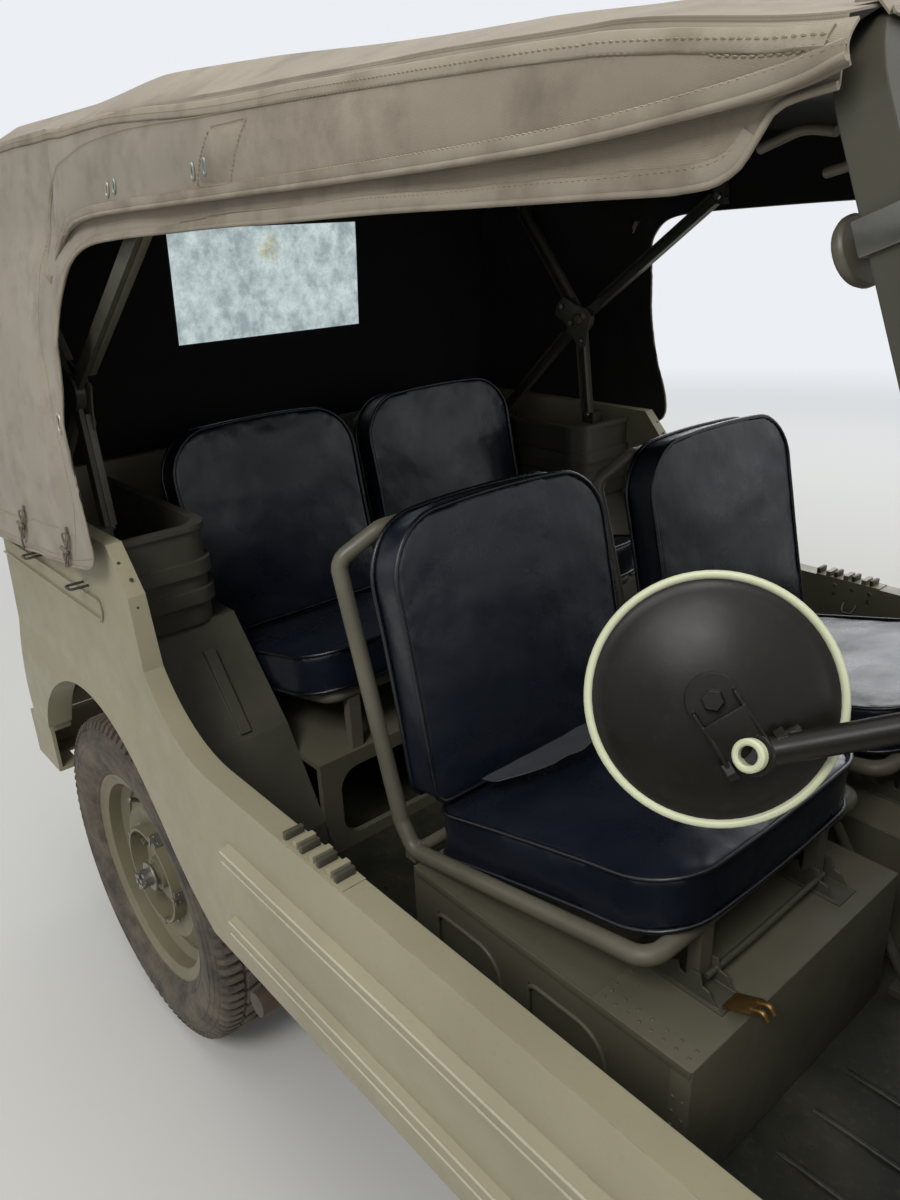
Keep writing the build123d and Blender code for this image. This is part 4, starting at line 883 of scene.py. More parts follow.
def dressed(piece: bpy.types.Object, finish: Finish, body: str = BODY,
            stands_for: Sequence[str] = ()) -> bpy.types.Object:
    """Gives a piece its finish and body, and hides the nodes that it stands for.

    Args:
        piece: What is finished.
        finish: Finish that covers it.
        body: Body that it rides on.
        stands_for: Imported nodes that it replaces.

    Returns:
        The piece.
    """
    piece.data.materials.clear()
    piece.data.materials.append(finish.material())
    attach(piece, body)
    if stands_for:
        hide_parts(*stands_for)
    LOG.info("%s: %d faces", piece.name, len(piece.data.polygons))
    return piece


FLIP = Matrix.Scale(-1, 4, (0, 1, 0))


def aimed(place: Point, way: Point) -> Matrix:
    """Gives the frame at a place whose Z axis points a way."""
    turn = Vector((0, 0, 1)).rotation_difference(Vector(way).normalized())
    return Matrix.Translation(place) @ turn.to_matrix().to_4x4()


def from_mesh(name: str, mesh: bmesh.types.BMesh) -> bpy.types.Object:
    """Turns a bmesh into a piece of the scene, facing out.

    Args:
        name: The piece's name.
        mesh: Its faces; freed here.

    Returns:
        The piece.
    """
    data = bpy.data.meshes.new(name)
    mesh.to_mesh(data)
    mesh.free()
    piece = bpy.data.objects.new(name, data)
    bpy.context.scene.collection.objects.link(piece)
    return outward(piece, 1e-6)


def studs(name: str, spots: Sequence[tuple[Point, Point]], radius: float, high: float,
          sides: int = 10) -> bpy.types.Object:
    """Sets rivet or bolt heads on their spots.

    Args:
        name: The piece's name.
        spots: Each head's place and the way that it faces.
        radius: Radius of the heads.
        high: Height of the heads.
        sides: Six for bolt heads, more for round rivets.

    Returns:
        All the heads as one piece.
    """
    levels = ((1.0, -0.3), (1.0, 0.8), (0.88, 1.0)) if sides == 6 else ((1.0, -0.3), (1.0, 0.3), (0.85, 0.75),
                                                                    (0.45, 1.0))
    mesh = bmesh.new()
    for place, way in spots:
        axes = aimed(place, way)
        rings = []
        for share, level in levels:
            turns = [2 * math.pi * n / sides for n in range(sides)]
            rings.append([mesh.verts.new(axes @ Vector((radius * share * math.cos(t),
                                                        radius * share * math.sin(t),
                                                        high * level))) for t in turns])
        for a, b in zip(rings, rings[1:]):
            for n in range(sides):
                mesh.faces.new((a[n], a[(n + 1) % sides], b[(n + 1) % sides], b[n]))
        mesh.faces.new(rings[0][::-1])
        mesh.faces.new(rings[-1])
    return smooth(from_mesh(name, mesh), 40)


def strip(name: str, start: Point, end: Point, across: Point, width: float, thick: float,
          edge: float = 0.0008) -> bpy.types.Object:
    """Makes a flat bar between two points.

    Args:
        name: The piece's name.
        start: Middle of one end.
        end: Middle of the other end.
        across: The way of the bar's width.
        width: Its width.
        thick: Its thickness, centred on the line.
        edge: Radius of its edges.

    Returns:
        The bar.
    """
    run = (Vector(end) - Vector(start)).normalized()
    side = Vector(across)
    side = (side - run * side.dot(run)).normalized()
    out = run.cross(side)
    a, b, half = Vector(start) - out * thick / 2, Vector(end) - out * thick / 2, side * width / 2
    return plate(name, [a - half, b - half, b + half, a + half], out, thick, edge)


def spread(start: Point, end: Point, count: int) -> list[Vector]:
    """Gives evenly spaced places from a start to an end, both included."""
    a, b = Vector(start), Vector(end)
    return [a.lerp(b, n / (count - 1)) for n in range(count)]


def twins(piece: bpy.types.Object, finish: Finish, body: str = BODY,
          stands_for: Sequence[str] = ()) -> list[bpy.types.Object]:
    """Finishes a right-hand piece and its mirrored copy on the left.

    Args:
        piece: The right-hand piece.
        finish: Finish of both.
        body: Body that both ride on.
        stands_for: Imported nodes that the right-hand one replaces.

    Returns:
        The right-hand piece and its copy.
    """
    name = piece.name
    piece.name = name + "_right"
    other = copied(piece, name + "_left", FLIP)
    return [dressed(piece, finish, body, stands_for), dressed(other, finish, body)]


@dataclass
class Studio:
    """Pale floor, plain soft light and the camera at the photograph's angle."""

    camera_place: Point = (0.578, -1.158, 1.550)
    camera_right: Point = (0.654, 0.755, -0.040)
    camera_up: Point = (-0.264, 0.277, 0.924)
    lens: float = 27.82
    floor_colour: str = "D4D3CE"
    sky: Point = (0.93, 0.96, 1.0, 1)
    sky_seen: float = 0.9
    sky_light: float = 0.5
    fade_start: float = 3.0
    fade_end: float = 9.0

    def add_camera(self) -> None:
        """Adds the camera and makes it the scene's own."""
        data = bpy.data.cameras.new("camera")
        data.sensor_width = 36
        data.lens = self.lens
        data.clip_start = 0.02
        data.clip_end = 60
        camera = bpy.data.objects.new("camera", data)
        bpy.context.scene.collection.objects.link(camera)
        right, up = Vector(self.camera_right).normalized(), Vector(self.camera_up)
        up = (up - right * up.dot(right)).normalized()
        turn = Matrix((right, up, right.cross(up))).transposed().to_4x4()
        camera.matrix_world = Matrix.Translation(self.camera_place) @ turn
        bpy.context.scene.camera = camera

    def add_floor(self) -> None:
        """Adds the pale floor, which keeps the car's shadow and shows white to the camera's far view."""
        clear_selection()
        bpy.ops.mesh.primitive_plane_add(size=40, location=(0, 0, -0.0005))
        floor = bpy.context.object
        floor.name = "floor"
        settle(floor)
        material = bpy.data.materials.new("pale_floor")
        material.use_nodes = True
        surface = material.node_tree.nodes["Principled BSDF"]
        surface.inputs["Roughness"].default_value = 0.85
        surface.inputs["Specular IOR Level"].default_value = 0.0
        # Far from the car the floor takes on the sky's own light, so that no horizon shows
        tree = material.node_tree
        place = add_node(tree, "TexCoord").outputs["Object"]
        away = add_node(tree, "VectorMath", {"operation": "LENGTH"}, {0: place}).outputs["Value"]
        fade = ranged(tree, away, self.fade_start, self.fade_end)
        seen = add_node(tree, "LightPath").outputs["Is Camera Ray"]
        tree.links.new(mixed(tree, fade, linear(self.floor_colour), (0, 0, 0, 1)),
                       surface.inputs["Base Color"])
        glow = add_node(tree, "Math", {"operation": "MULTIPLY"}, {0: fade, 1: seen}).outputs[0]
        glow = add_node(tree, "Math", {"operation": "MULTIPLY"}, {0: glow, 1: self.sky_seen}).outputs[0]
        surface.inputs["Emission Color"].default_value = self.sky
        tree.links.new(glow, surface.inputs["Emission Strength"])
        floor.data.materials.append(material)

    def add_world(self) -> None:
        """Adds the even sky: full white for what the camera and glossy surfaces see, softer as light."""
        world = bpy.data.worlds.new("sky")
        bpy.context.scene.world = world
        world.use_nodes = True
        tree = world.node_tree
        background = tree.nodes["Background"]
        path = add_node(tree, "LightPath")
        seen = add_node(tree, "Math", {"operation": "MAXIMUM"},
                        {0: path.outputs["Is Camera Ray"], 1: path.outputs["Is Transmission Ray"]})
        seen = add_node(tree, "Math", {"operation": "MAXIMUM"}, {0: seen.outputs[0],
                                                                1: path.outputs["Is Glossy Ray"]})
        strength = add_node(tree, "MapRange", {}, {0: seen.outputs[0], 3: self.sky_light, 4: self.sky_seen})
        tree.links.new(strength.outputs[0], background.inputs["Strength"])
        background.inputs["Color"].default_value = self.sky

    def add_lamp(self, name: str, place: Point, aim: Point, size: float, power: float, colour: Point) -> None:
        """Adds one soft square lamp, turned to its aim.

        Args:
            name: The lamp's name.
            place: Where it stands.
            aim: Point that it faces.
            size: Side of its square, in metres.
            power: Its power, in watts.
            colour: Its linear colour.
        """
        data = bpy.data.lights.new(name, "AREA")
        data.size = size
        data.energy = power
        data.color = colour
        lamp = bpy.data.objects.new(name, data)
        bpy.context.scene.collection.objects.link(lamp)
        lamp.location = place
        lamp.rotation_mode = "QUATERNION"
        lamp.rotation_quaternion = (Vector(aim) - Vector(place)).to_track_quat("-Z", "Y")

    def build(self) -> None:
        """Builds the whole studio."""
        self.add_camera()
        self.add_floor()
        self.add_world()
        self.add_lamp("overhead", (0.5, 0.3, 6.0), (0, 0, 0.8), 5.0, 160, (1.0, 0.98, 0.95))
        self.add_lamp("side", (1.3, -3.9, 4.9), (-0.1, -0.4, 0.7), 1.8, 150, (1.0, 0.99, 0.97))
        self.add_lamp("far_side", (-2.5, 5.5, 3.2), (0, 0, 0.8), 3.5, 75, (0.96, 0.98, 1.0))
        self.add_lamp("front", (6.0, 0.5, 2.6), (0, 0, 0.8), 3.0, 60, (1.0, 0.99, 0.97))
        bpy.context.scene.view_settings.view_transform = "Standard"
        LOG.info("studio: camera, floor, sky and four lamps")


@dataclass
class FrameFinishes:
    """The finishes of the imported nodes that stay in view."""

    by_slot: dict = field(default_factory=lambda: {
        Slot.PAINT.value: KHAKI, Slot.CABIN.value: CABIN, Slot.CHASSIS.value: CHASSIS,
        Slot.TUBE.value: TUBE_PAINT,
        Slot.EXHAUST.value: MUFFLER, Slot.CASTING.value: IRON, Slot.CANVAS.value: CANVAS_INNER_SHADE,
        Slot.SHEET.value: WINDOW_SHEET, Slot.GLASS.value: SCREEN_GLASS, Slot.LAMP.value: LAMP_GLASS,
        Slot.RED.value: LENS, Slot.VINYL.value: SEAT_VINYL, Slot.RUBBER.value: HARD_RUBBER,
        Slot.TYRE.value: TREAD})

    # The windscreen frame and the seat boxes take darker copies of the khaki: painted shade
    by_node: dict = field(default_factory=lambda: {
        "windscreen_frame": SHADE_DARKENED_SCREEN_KHAKI, "floor_pan": FLOOR_PAINT, "seat_boxes": SHADE_DARKENED_BOX_KHAKI,
        "spare_wheel": WHEEL_PAINT,
        **{"wheel_" + corner.value[0]: WHEEL_PAINT for corner in Corner}})

    def build(self) -> None:
        """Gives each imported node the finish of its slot, or its own."""
        slots = {part["node"]: part["material_slot"] for part in frame["record"]["subparts"]}
        for node, piece in frame["nodes"].items():
            finish = self.by_node.get(node, self.by_slot[slots[node]])
            piece.data.materials.clear()
            piece.data.materials.append(finish.material())
        LOG.info("packed nodes: %d finished", len(frame["nodes"]))


# Soft goods

def along(line: Sequence[Point], share: float) -> list[float]:
    """Gives the point at a share of a smooth line through evenly weighted points.

    Args:
        line: Points of any dimension.
        share: Place along the line, from 0 to 1.

    Returns:
        The point, by Catmull-Rom interpolation.
    """
    last = len(line) - 1
    spot = min(max(share, 0.0), 1.0) * last
    k = min(int(spot), last - 1)
    t = spot - k
    a, b, c, d = (line[min(max(n, 0), last)] for n in (k - 1, k, k + 1, k + 2))
    return [0.5 * (2 * q + (r - p) * t + (2 * p - 5 * q + 4 * r - s) * t * t + (3 * q - p - 3 * r + s)
                   * t ** 3)
            for p, q, r, s in zip(a, b, c, d)]


def table(rows: Sequence[Point], value: float) -> float:
    """Reads a smooth height table of (place, height) rows, sorted by place.

    Args:
        rows: The table's rows.
        value: Place that is looked up.

    Returns:
        The height at that place.
    """
    if value <= rows[0][0]:
        return rows[0][1]
    for (x0, y0), (x1, y1) in zip(rows, rows[1:]):
        if value <= x1:
            t = (value - x0) / (x1 - x0)
            return y0 + (y1 - y0) * (t if len(rows) == 2 else t * t * (3 - 2 * t) * 0.5 + t * 0.5)
    return rows[-1][1]


def wave(x: float, y: float, z: float = 0.0) -> float:
    """Gives smooth noise from -1 to 1 at a place."""
    return field_noise.noise(Vector((x, y, z)))


@dataclass
class CanvasHood:
    """The canvas hood: its main sheet, outer side flaps and front band, and the trim sewn to them."""

    thick: float = 0.0018
    crown: Sequence[Point] = ((-1.388, 1.592), (-1.372, 1.640), (-1.335, 1.684), (-1.28, 1.718),
                              (-1.19, 1.733),
                              (-1.0, 1.730), (-0.85, 1.729), (-0.63, 1.741), (-0.4, 1.729), (-0.15, 1.718),
                              (0.02, 1.714), (0.16, 1.698), (0.296, 1.672))
    shoulder: Sequence[Point] = ((-1.388, 0.4), (-1.25, 0.85), (-0.45, 0.85), (0.0, 0.35), (0.296, 0.3))
    edge: Sequence[Point] = ((-1.388, 1.588), (-1.372, 1.622), (-1.335, 1.652), (-1.25, 1.676), (-1.0, 1.684),
                             (-0.62, 1.686), (-0.3, 1.675), (-0.05, 1.668), (0.14, 1.660), (0.296, 1.640))
    half_at: Sequence[Point] = ((0.99, 0.7085), (1.10, 0.7065), (1.28, 0.702), (1.40, 0.686), (1.50, 0.660),
                                (1.56, 0.643), (1.63, 0.640), (1.69, 0.637))
    tail_at: Sequence[Point] = ((0.99, -1.4185), (1.20, -1.412), (1.585, -1.389), (1.70, -1.386))
    corner: float = 0.055
    front: float = 0.296
    # The side opening's edge, from the front to the foot and round to the tail: place along the car, height
    opening: Sequence[Point] = (
        (0.296, 1.606), (0.262, 1.600), (0.250, 1.585), (0.236, 1.568), (0.205, 1.560), (0.125, 1.559),
        (0.0, 1.558), (-0.12, 1.557), (-0.25, 1.554), (-0.38, 1.552), (-0.52, 1.548), (-0.66, 1.543),
        (-0.75, 1.536), (-0.80, 1.518), (-0.832, 1.480), (-0.842, 1.428), (-0.845, 1.36), (-0.845, 1.28),
        (-0.828, 1.20), (-0.806, 1.13), (-0.812, 1.075), (-0.90, 1.052), (-1.00, 1.040), (-1.12, 1.028),
        (-1.24, 1.017), (-1.34, 1.008))
    roof_places: Sequence[float] = (
        0.296, 0.262, 0.250, 0.236, 0.205, 0.125, 0.0, -0.12, -0.25, -0.38, -0.50, -0.61, -0.69, -0.74,
        -0.785,
        -0.82, -0.85, -0.88, -0.91, -0.94, -0.97, -1.02, -1.09, -1.17, -1.25, -1.31)
    flap_hem: Sequence[Point] = ((0.306, 1.613), (0.275, 1.605), (0.212, 1.598), (0.091, 1.589),
                                 (-0.076, 1.583),
                                 (-0.321, 1.579), (-0.52, 1.576), (-0.66, 1.572), (-0.751, 1.566),
                                 (-0.81, 1.553),
                                 (-0.86, 1.522), (-0.885, 1.490))
    window: Sequence[float] = (0.23, 1.327, 1.539)
    band_half: float = 0.612
    band_foot: float = 1.636
    rows: int = 34
    columns: int = 150

    def half(self, height: float) -> float:
        """Gives the hood's half width at a height."""
        return table(self.half_at, height)

    def tail(self, height: float) -> float:
        """Gives the place of the rear curtain at a height."""
        return table(self.tail_at, height)

    def side_point(self, x: float, height: float, proud: float = 0.0) -> Vector:
        """Gives a point of the right side's sheet, moved outwards by a distance.

        Args:
            x: Place along the car.
            height: Height above the ground.
            proud: Distance outwards from the sheet.

        Returns:
            The point.
        """
        half, tail = self.half(height), self.tail(height)
        reach = tail + self.corner - x
        if reach > 0:
            turn = math.asin(min(1.0, reach / self.corner))
            return Vector((tail + self.corner - (self.corner + proud) * math.sin(turn),
                           -(half - self.corner + (self.corner + proud) * math.cos(turn)), height))
        return Vector((x, -half - proud, height))

    def roof_point(self, x: float, y: float) -> Vector:
        """Gives a point of the roof from its place in plan.

        Args:
            x: Place along the car.
            y: Place across the car.

        Returns:
            The point.
        """
        top, low = table(self.crown, x), table(self.edge, x)
        rim = self.half(low)
        share = min(1.0, abs(y) / rim)
        # Cloth sinks between the bows and ripples a little where it is pulled
        sag = 0.0035 * wave(x * 5, y * 4, 2.0) * (1 - share)
        round_off = table(self.shoulder, x)
        rise = round_off * (1 - share ** 15) + (1 - round_off) * (1 - share ** 2.2)
        return Vector((x, y, low + (top - low) * rise + sag))

    def drape(self, point: Vector, depth: float) -> Vector:
        """Gives the soft folds that move a side point outwards, more where nothing holds the cloth.

        Args:
            point: The point before its folds.
            depth: Four times its height below the roof's edge.

        Returns:
            The move.
        """
        x, height = point.x, point.z
        folds = 0.0045 * wave(x * 3.2, height * 9, 5.0) + 0.002 * wave(x * 9, height * 22, 1.0)
        quarter = min(1.0, max(0.0, (-0.80 - x) / 0.12)) * min(1.0, max(0.0, (1.62 - height) / 0.3))
        if quarter:
            folds += quarter * 0.006 * wave(x * 15 + 1.2 * height, height * 1.6, 9.0)
        held = min(1.0, depth * 6)
        return Vector((0, -folds * held, 0)) if point.x > self.tail(height) + self.corner * 0.5 else \
            Vector((-abs(folds) * held * 0.5, 0, 0))

    def side_rows(self, share: float) -> tuple[Vector, Vector]:
        """Gives a column's roof end and its foot, for the side of the hood.

        Args:
            share: Place of the column along the side, from 0 to 1.

        Returns:
            The roof end, and the foot with its place across left at 0.
        """
        place = along([(x,) for x in self.roof_places], share)[0]
        foot = along(self.opening, share)
        top = table(self.edge, place)
        return Vector((place, -self.half(top), top)), Vector((foot[0], 0, foot[1]))

    def sheet_mesh(self) -> bpy.types.Object:
        """Builds the main sheet: roof, right side and rear half, then mirrored and merged.

        Returns:
            The main sheet, not yet thickened.
        """
        mesh = bmesh.new()
        cloth = mesh.loops.layers.uv.new("cloth")
        places = []
        for i in range(self.columns + 1):
            top, foot = self.side_rows(i / self.columns)
            column = []
            for k in range(self.rows + 1):
                s = k / self.rows
                height = top.z + (foot.z - top.z) * s
                x = top.x + (foot.x - top.x) * s ** 1.3
                point = self.side_point(x, height)
                column.append(point + self.drape(point, min(s, 1.0) * abs(top.z - foot.z) * 4))
            places.append(column)
        half_window, low, high = self.window
        spans = [(-0.66, -half_window, 14), (-half_window, 0.0, 9)]
        tops = [y0 + (y1 - y0) * n / count for y0, y1, count in spans for n in range(count)] + [0.0]
        marks = [(0, None), (8, high), (20, low), (self.rows, None)]
        for y in tops:
            column = []
            blend = min(1.0, max(0.0, (y + 0.66) / 0.12))
            for k in range(self.rows + 1):
                start = 1.592
                end = 1.004 - 0.006 * blend
                for (k0, z0), (k1, z1) in zip(marks, marks[1:]):
                    if k0 <= k <= k1:
                        z0 = start if z0 is None else z0
                        z1 = end if z1 is None else z1
                        exact = z0 + (z1 - z0) * (k - k0) / (k1 - k0)
                even = start + (end - start) * k / self.rows
                height = even + (exact - even) * blend
                ripple = 0.004 * wave(y * 7, height * 3, 4.0) * min(1, k / 6) * min(1.0,
                                                                                    abs(abs(y) - 0.23) * 12)
                if abs(y) < half_window + 0.02 and low - 0.02 < height < high + 0.02:
                    ripple = 0
                column.append(Vector((self.tail(height) + ripple, y, height)))
            places.append(column)
        grid = [[mesh.verts.new(point) for point in column] for column in places]
        self.fill(mesh, grid, cloth)
        side = [column[0] for column in grid]
        self.roof_mesh(mesh, side, cloth)
        bmesh.ops.remove_doubles(mesh, verts=mesh.verts, dist=0.0004)
        return self.as_piece(mesh, "canvas_hood")

    def roof_mesh(self, mesh: bmesh.types.BMesh, rim: list, cloth: object) -> None:
        """Fills the roof between the rims as a grid that narrows to the rounded rear edge.

        Args:
            mesh: Mesh that the faces are added to.
            rim: Top vertices of the side and rear columns, in order.
            cloth: The layer that keeps the cloth's coordinates.
        """
        steps = 16
        side_rim = rim[:self.columns + 1]
        rear_rim = rim[self.columns + 1:]
        lines = []
        for vertex in side_rim:
            x = vertex.co.x
            line = [vertex]
            for n in range(1, steps + 1):
                y = vertex.co.y * (1 - (n / steps) ** 0.8)
                line.append(mesh.verts.new(self.roof_point(x, y)))
            lines.append(line)
        # Rear strip: from the last roof line over the shoulder to the curtain's top edge
        last = lines[-1]
        ring = [last[n].co.copy() for n in range(steps + 1)]
        edge_line = [vertex.co.copy() for vertex in rear_rim]
        over = 9
        for m in range(1, over + 1):
            t = m / over
            line = []
            for n in range(steps + 1):
                start = ring[n]
                share = n / steps
                spot = share * (len(edge_line) - 1)
                k = min(int(spot), len(edge_line) - 2)
                goal = edge_line[k].lerp(edge_line[k + 1], spot - k)
                angle = t * math.pi / 2
                x = start.x + (goal.x - start.x) * math.sin(angle)
                z = goal.z + (start.z - goal.z) * math.cos(angle)
                y = start.y + (goal.y - start.y) * t
                line.append(mesh.verts.new((x, y, z)))
            lines.append(line)
        # The small gusset that closes the rounded rear corner
        gusset = mesh.faces.new([line[0] for line in lines[-over - 1:]])
        for loop in gusset.loops:
            loop[cloth].uv = (loop.vert.co.x, loop.vert.co.z)
        self.fill(mesh, lines, cloth)

    def fill(self, mesh: bmesh.types.BMesh, grid: list, cloth: object) -> None:
        """Adds the quads of a grid, with the cloth's own coordinates measured in metres.

        Args:
            mesh: Mesh that the faces are added to.
            grid: Lines of vertices, all of one length.
            cloth: The layer that keeps the cloth's coordinates.
        """
        half_window, low, high = self.window
        run = 0.0
        for i in range(len(grid) - 1):
            step = (grid[i + 1][0].co - grid[i][0].co).length
            fall = 0.0
            for k in range(len(grid[i]) - 1):
                a, b, c, d = grid[i][k], grid[i + 1][k], grid[i + 1][k + 1], grid[i][k + 1]
                drop = (d.co - a.co).length
                middle = (a.co + b.co + c.co + d.co) / 4
                in_window = (middle.x < -1.37 and abs(middle.y) < half_window and low < middle.z < high)
                if not in_window and len({a, b, c, d}) == 4:
                    face = mesh.faces.new((a, b, c, d))
                    spots = ((run, fall), (run + step, fall), (run + step, fall + drop), (run, fall + drop))
                    for loop, spot in zip(face.loops, spots):
                        loop[cloth].uv = spot
                fall += drop
            run += step

    def as_piece(self, mesh: bmesh.types.BMesh, name: str) -> bpy.types.Object:
        """Turns a half mesh into a whole piece: mirrored across the car, merged and facing out.

        Args:
            mesh: The right half; freed here.
            name: The piece's name.

        Returns:
            The whole piece.
        """
        data = bpy.data.meshes.new(name)
        mesh.to_mesh(data)
        mesh.free()
        piece = bpy.data.objects.new(name, data)
        bpy.context.scene.collection.objects.link(piece)
        modify(piece, "MIRROR", use_axis=(False, True, False), use_clip=True, merge_threshold=0.0006)
        return outward(piece, 0.0003)

    def flap(self, name: str, side: int) -> bpy.types.Object:
        """Builds one outer side flap, sewn under the roof's fold and hanging free at its hem.

        Args:
            name: The flap's name.
            side: -1 for the right side, 1 for the left.

        Returns:
            The flap.
        """
        mesh = bmesh.new()
        cloth = mesh.loops.layers.uv.new("cloth")
        grid = []
        count, rows = 110, 12
        for i in range(count + 1):
            foot = along(self.flap_hem, i / count)
            top_x = 0.304 + (-0.862 - 0.304) * i / count
            top_z = table(self.edge, top_x) - 0.004
            column = []
            for k in range(rows + 1):
                s = k / rows
                height = top_z + (foot[1] - top_z) * s
                x = top_x + (foot[0] - top_x) * s
                belly = 0.006 * math.sin(math.pi * min(1.0, s)) + 0.006 * s
                ripple = 0.005 * wave(x * 4.2, height * 16, 7.0) * math.sin(math.pi * s * 0.8)
                sewn = min(1.0, (count - i) / 5)
                base = self.half(max(height, 1.55))
                column.append(mesh.verts.new((x, side * (base + 0.003 + (belly + ripple) * sewn), height)))
            grid.append(column)
        self.fill(mesh, grid, cloth)
        data = bpy.data.meshes.new(name)
        mesh.to_mesh(data)
        mesh.free()
        piece = bpy.data.objects.new(name, data)
        bpy.context.scene.collection.objects.link(piece)
        return outward(piece)

    def front_band(self) -> None:
        """Turns the roof's front edge down over the head of the windscreen frame."""
        mesh = bmesh.new()
        cloth = mesh.loops.layers.uv.new("cloth")
        grid, count = [], 60
        for n in range(count + 1):
            y = self.band_half * (2 * n / count - 1)
            high = self.roof_point(self.front, y).z
            corner = max(0.0, abs(y) - self.band_half + 0.05) / 0.05
            low = self.band_foot + 0.004 * corner ** 2
            places = ((self.front - 0.012, high + 0.0026), (self.front + 0.002, high + 0.0012),
                      (self.front + 0.0080, high - 0.0060), (self.front + 0.0095, (high + low) / 2),
                      (self.front + 0.0120 + 0.0008 * wave(y * 9, 2.0), low))
            grid.append([mesh.verts.new((x, y, z)) for x, z in places])
        for i in range(count):
            for k in range(len(grid[0]) - 1):
                face = mesh.faces.new((grid[i][k], grid[i + 1][k], grid[i + 1][k + 1], grid[i][k + 1]))
                for loop in face.loops:
                    loop[cloth].uv = (loop.vert.co.y, loop.vert.co.z - loop.vert.co.x)
        band = from_mesh("hood_front_band", mesh)
        if sum(face.normal.z * face.area for face in band.data.polygons) < 0:
            band.data.flip_normals()
        modify(band, "SOLIDIFY", thickness=0.0016, offset=-1.0)
        dressed(smooth(band, 50), CANVAS_CLOTH)

    def lined(self, piece: bpy.types.Object, outer: Finish, lining: Finish) -> bpy.types.Object:
        """Gives a sheet its thickness, a near-black inner face (painted shade), smooth shading and body.

        Args:
            piece: The sheet.
            outer: Finish of its outer face.
            lining: Finish of its inner face.

        Returns:
            The sheet.
        """
        piece.data.materials.clear()
        piece.data.materials.append(outer.material())
        piece.data.materials.append(lining.material())
        modify(piece, "SOLIDIFY", thickness=self.thick, offset=-1.0, material_offset=1, material_offset_rim=0)
        smooth(piece, 60)
        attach(piece, BODY)
        LOG.info("%s: %d faces", piece.name, len(piece.data.polygons))
        return piece

    def build(self) -> None:
        """Builds the sheet, its flaps and all that is sewn to them."""
        main = self.sheet_mesh()
        facing = sum(face.normal.z * face.area for face in main.data.polygons if face.center.z > 1.7)
        if facing < 0:
            main.data.flip_normals()
        flaps = []
        for side, name in ((-1, "hood_flap_right"), (1, "hood_flap_left")):
            flap = self.flap(name, side)
            if sum(face.normal.y * face.area for face in flap.data.polygons) * side < 0:
                flap.data.flip_normals()
            flaps.append(flap)
        HoodTrim(self, main, flaps[0]).build()
        self.front_band()
        for flap in flaps:
            self.lined(flap, CANVAS_CLOTH, CANVAS_INNER_SHADE)
        self.lined(main, CANVAS_CLOTH, CANVAS_INNER_SHADE)
        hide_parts("canvas_top")


def course(points: Sequence[Point], step: float, smooth_line: bool = True) -> list[Vector]:
    """Walks a line through points at an even step.

    Args:
        points: The line's points.
        step: Distance between the returned places.
        smooth_line: Whether the line runs smoothly through the points or straight between them.

    Returns:
        Places along the line, first and last included.
    """
    if smooth_line and len(points) > 2:
        dense = [Vector(along(points, n / 240)) for n in range(241)]
    else:
        dense = [Vector(point) for point in points]
    places, left = [dense[0]], step
    for a, b in zip(dense, dense[1:]):
        run = (b - a).length
        done = 0.0
        while run - done >= left:
            done += left
            places.append(a.lerp(b, done / run))
            left = step
        left -= run - done
    return places


@dataclass
class ClothSurface:
    """A sheet's outer face, on which seams, stitches and patches are laid."""

    pieces: Sequence[bpy.types.Object]
    inside: Point = (-0.5, 0.0, 1.25)

    def __post_init__(self) -> None:
        """Keeps a search tree of the sheets as they are now."""
        mesh = bmesh.new()
        for piece in self.pieces:
            mesh.from_mesh(piece.data)
        self.tree = BVHTree.FromBMesh(mesh)
        mesh.free()

    def spot(self, point: Point) -> tuple[Vector, Vector]:
        """Gives the nearest place of the sheet and its way outwards.

        Args:
            point: A point near the sheet.

        Returns:
            The nearest place, and the way outwards there.
        """
        place, normal, _, _ = self.tree.find_nearest(Vector(point))
        if normal.dot(place - Vector(self.inside)) < 0:
            normal = -normal
        return place, normal


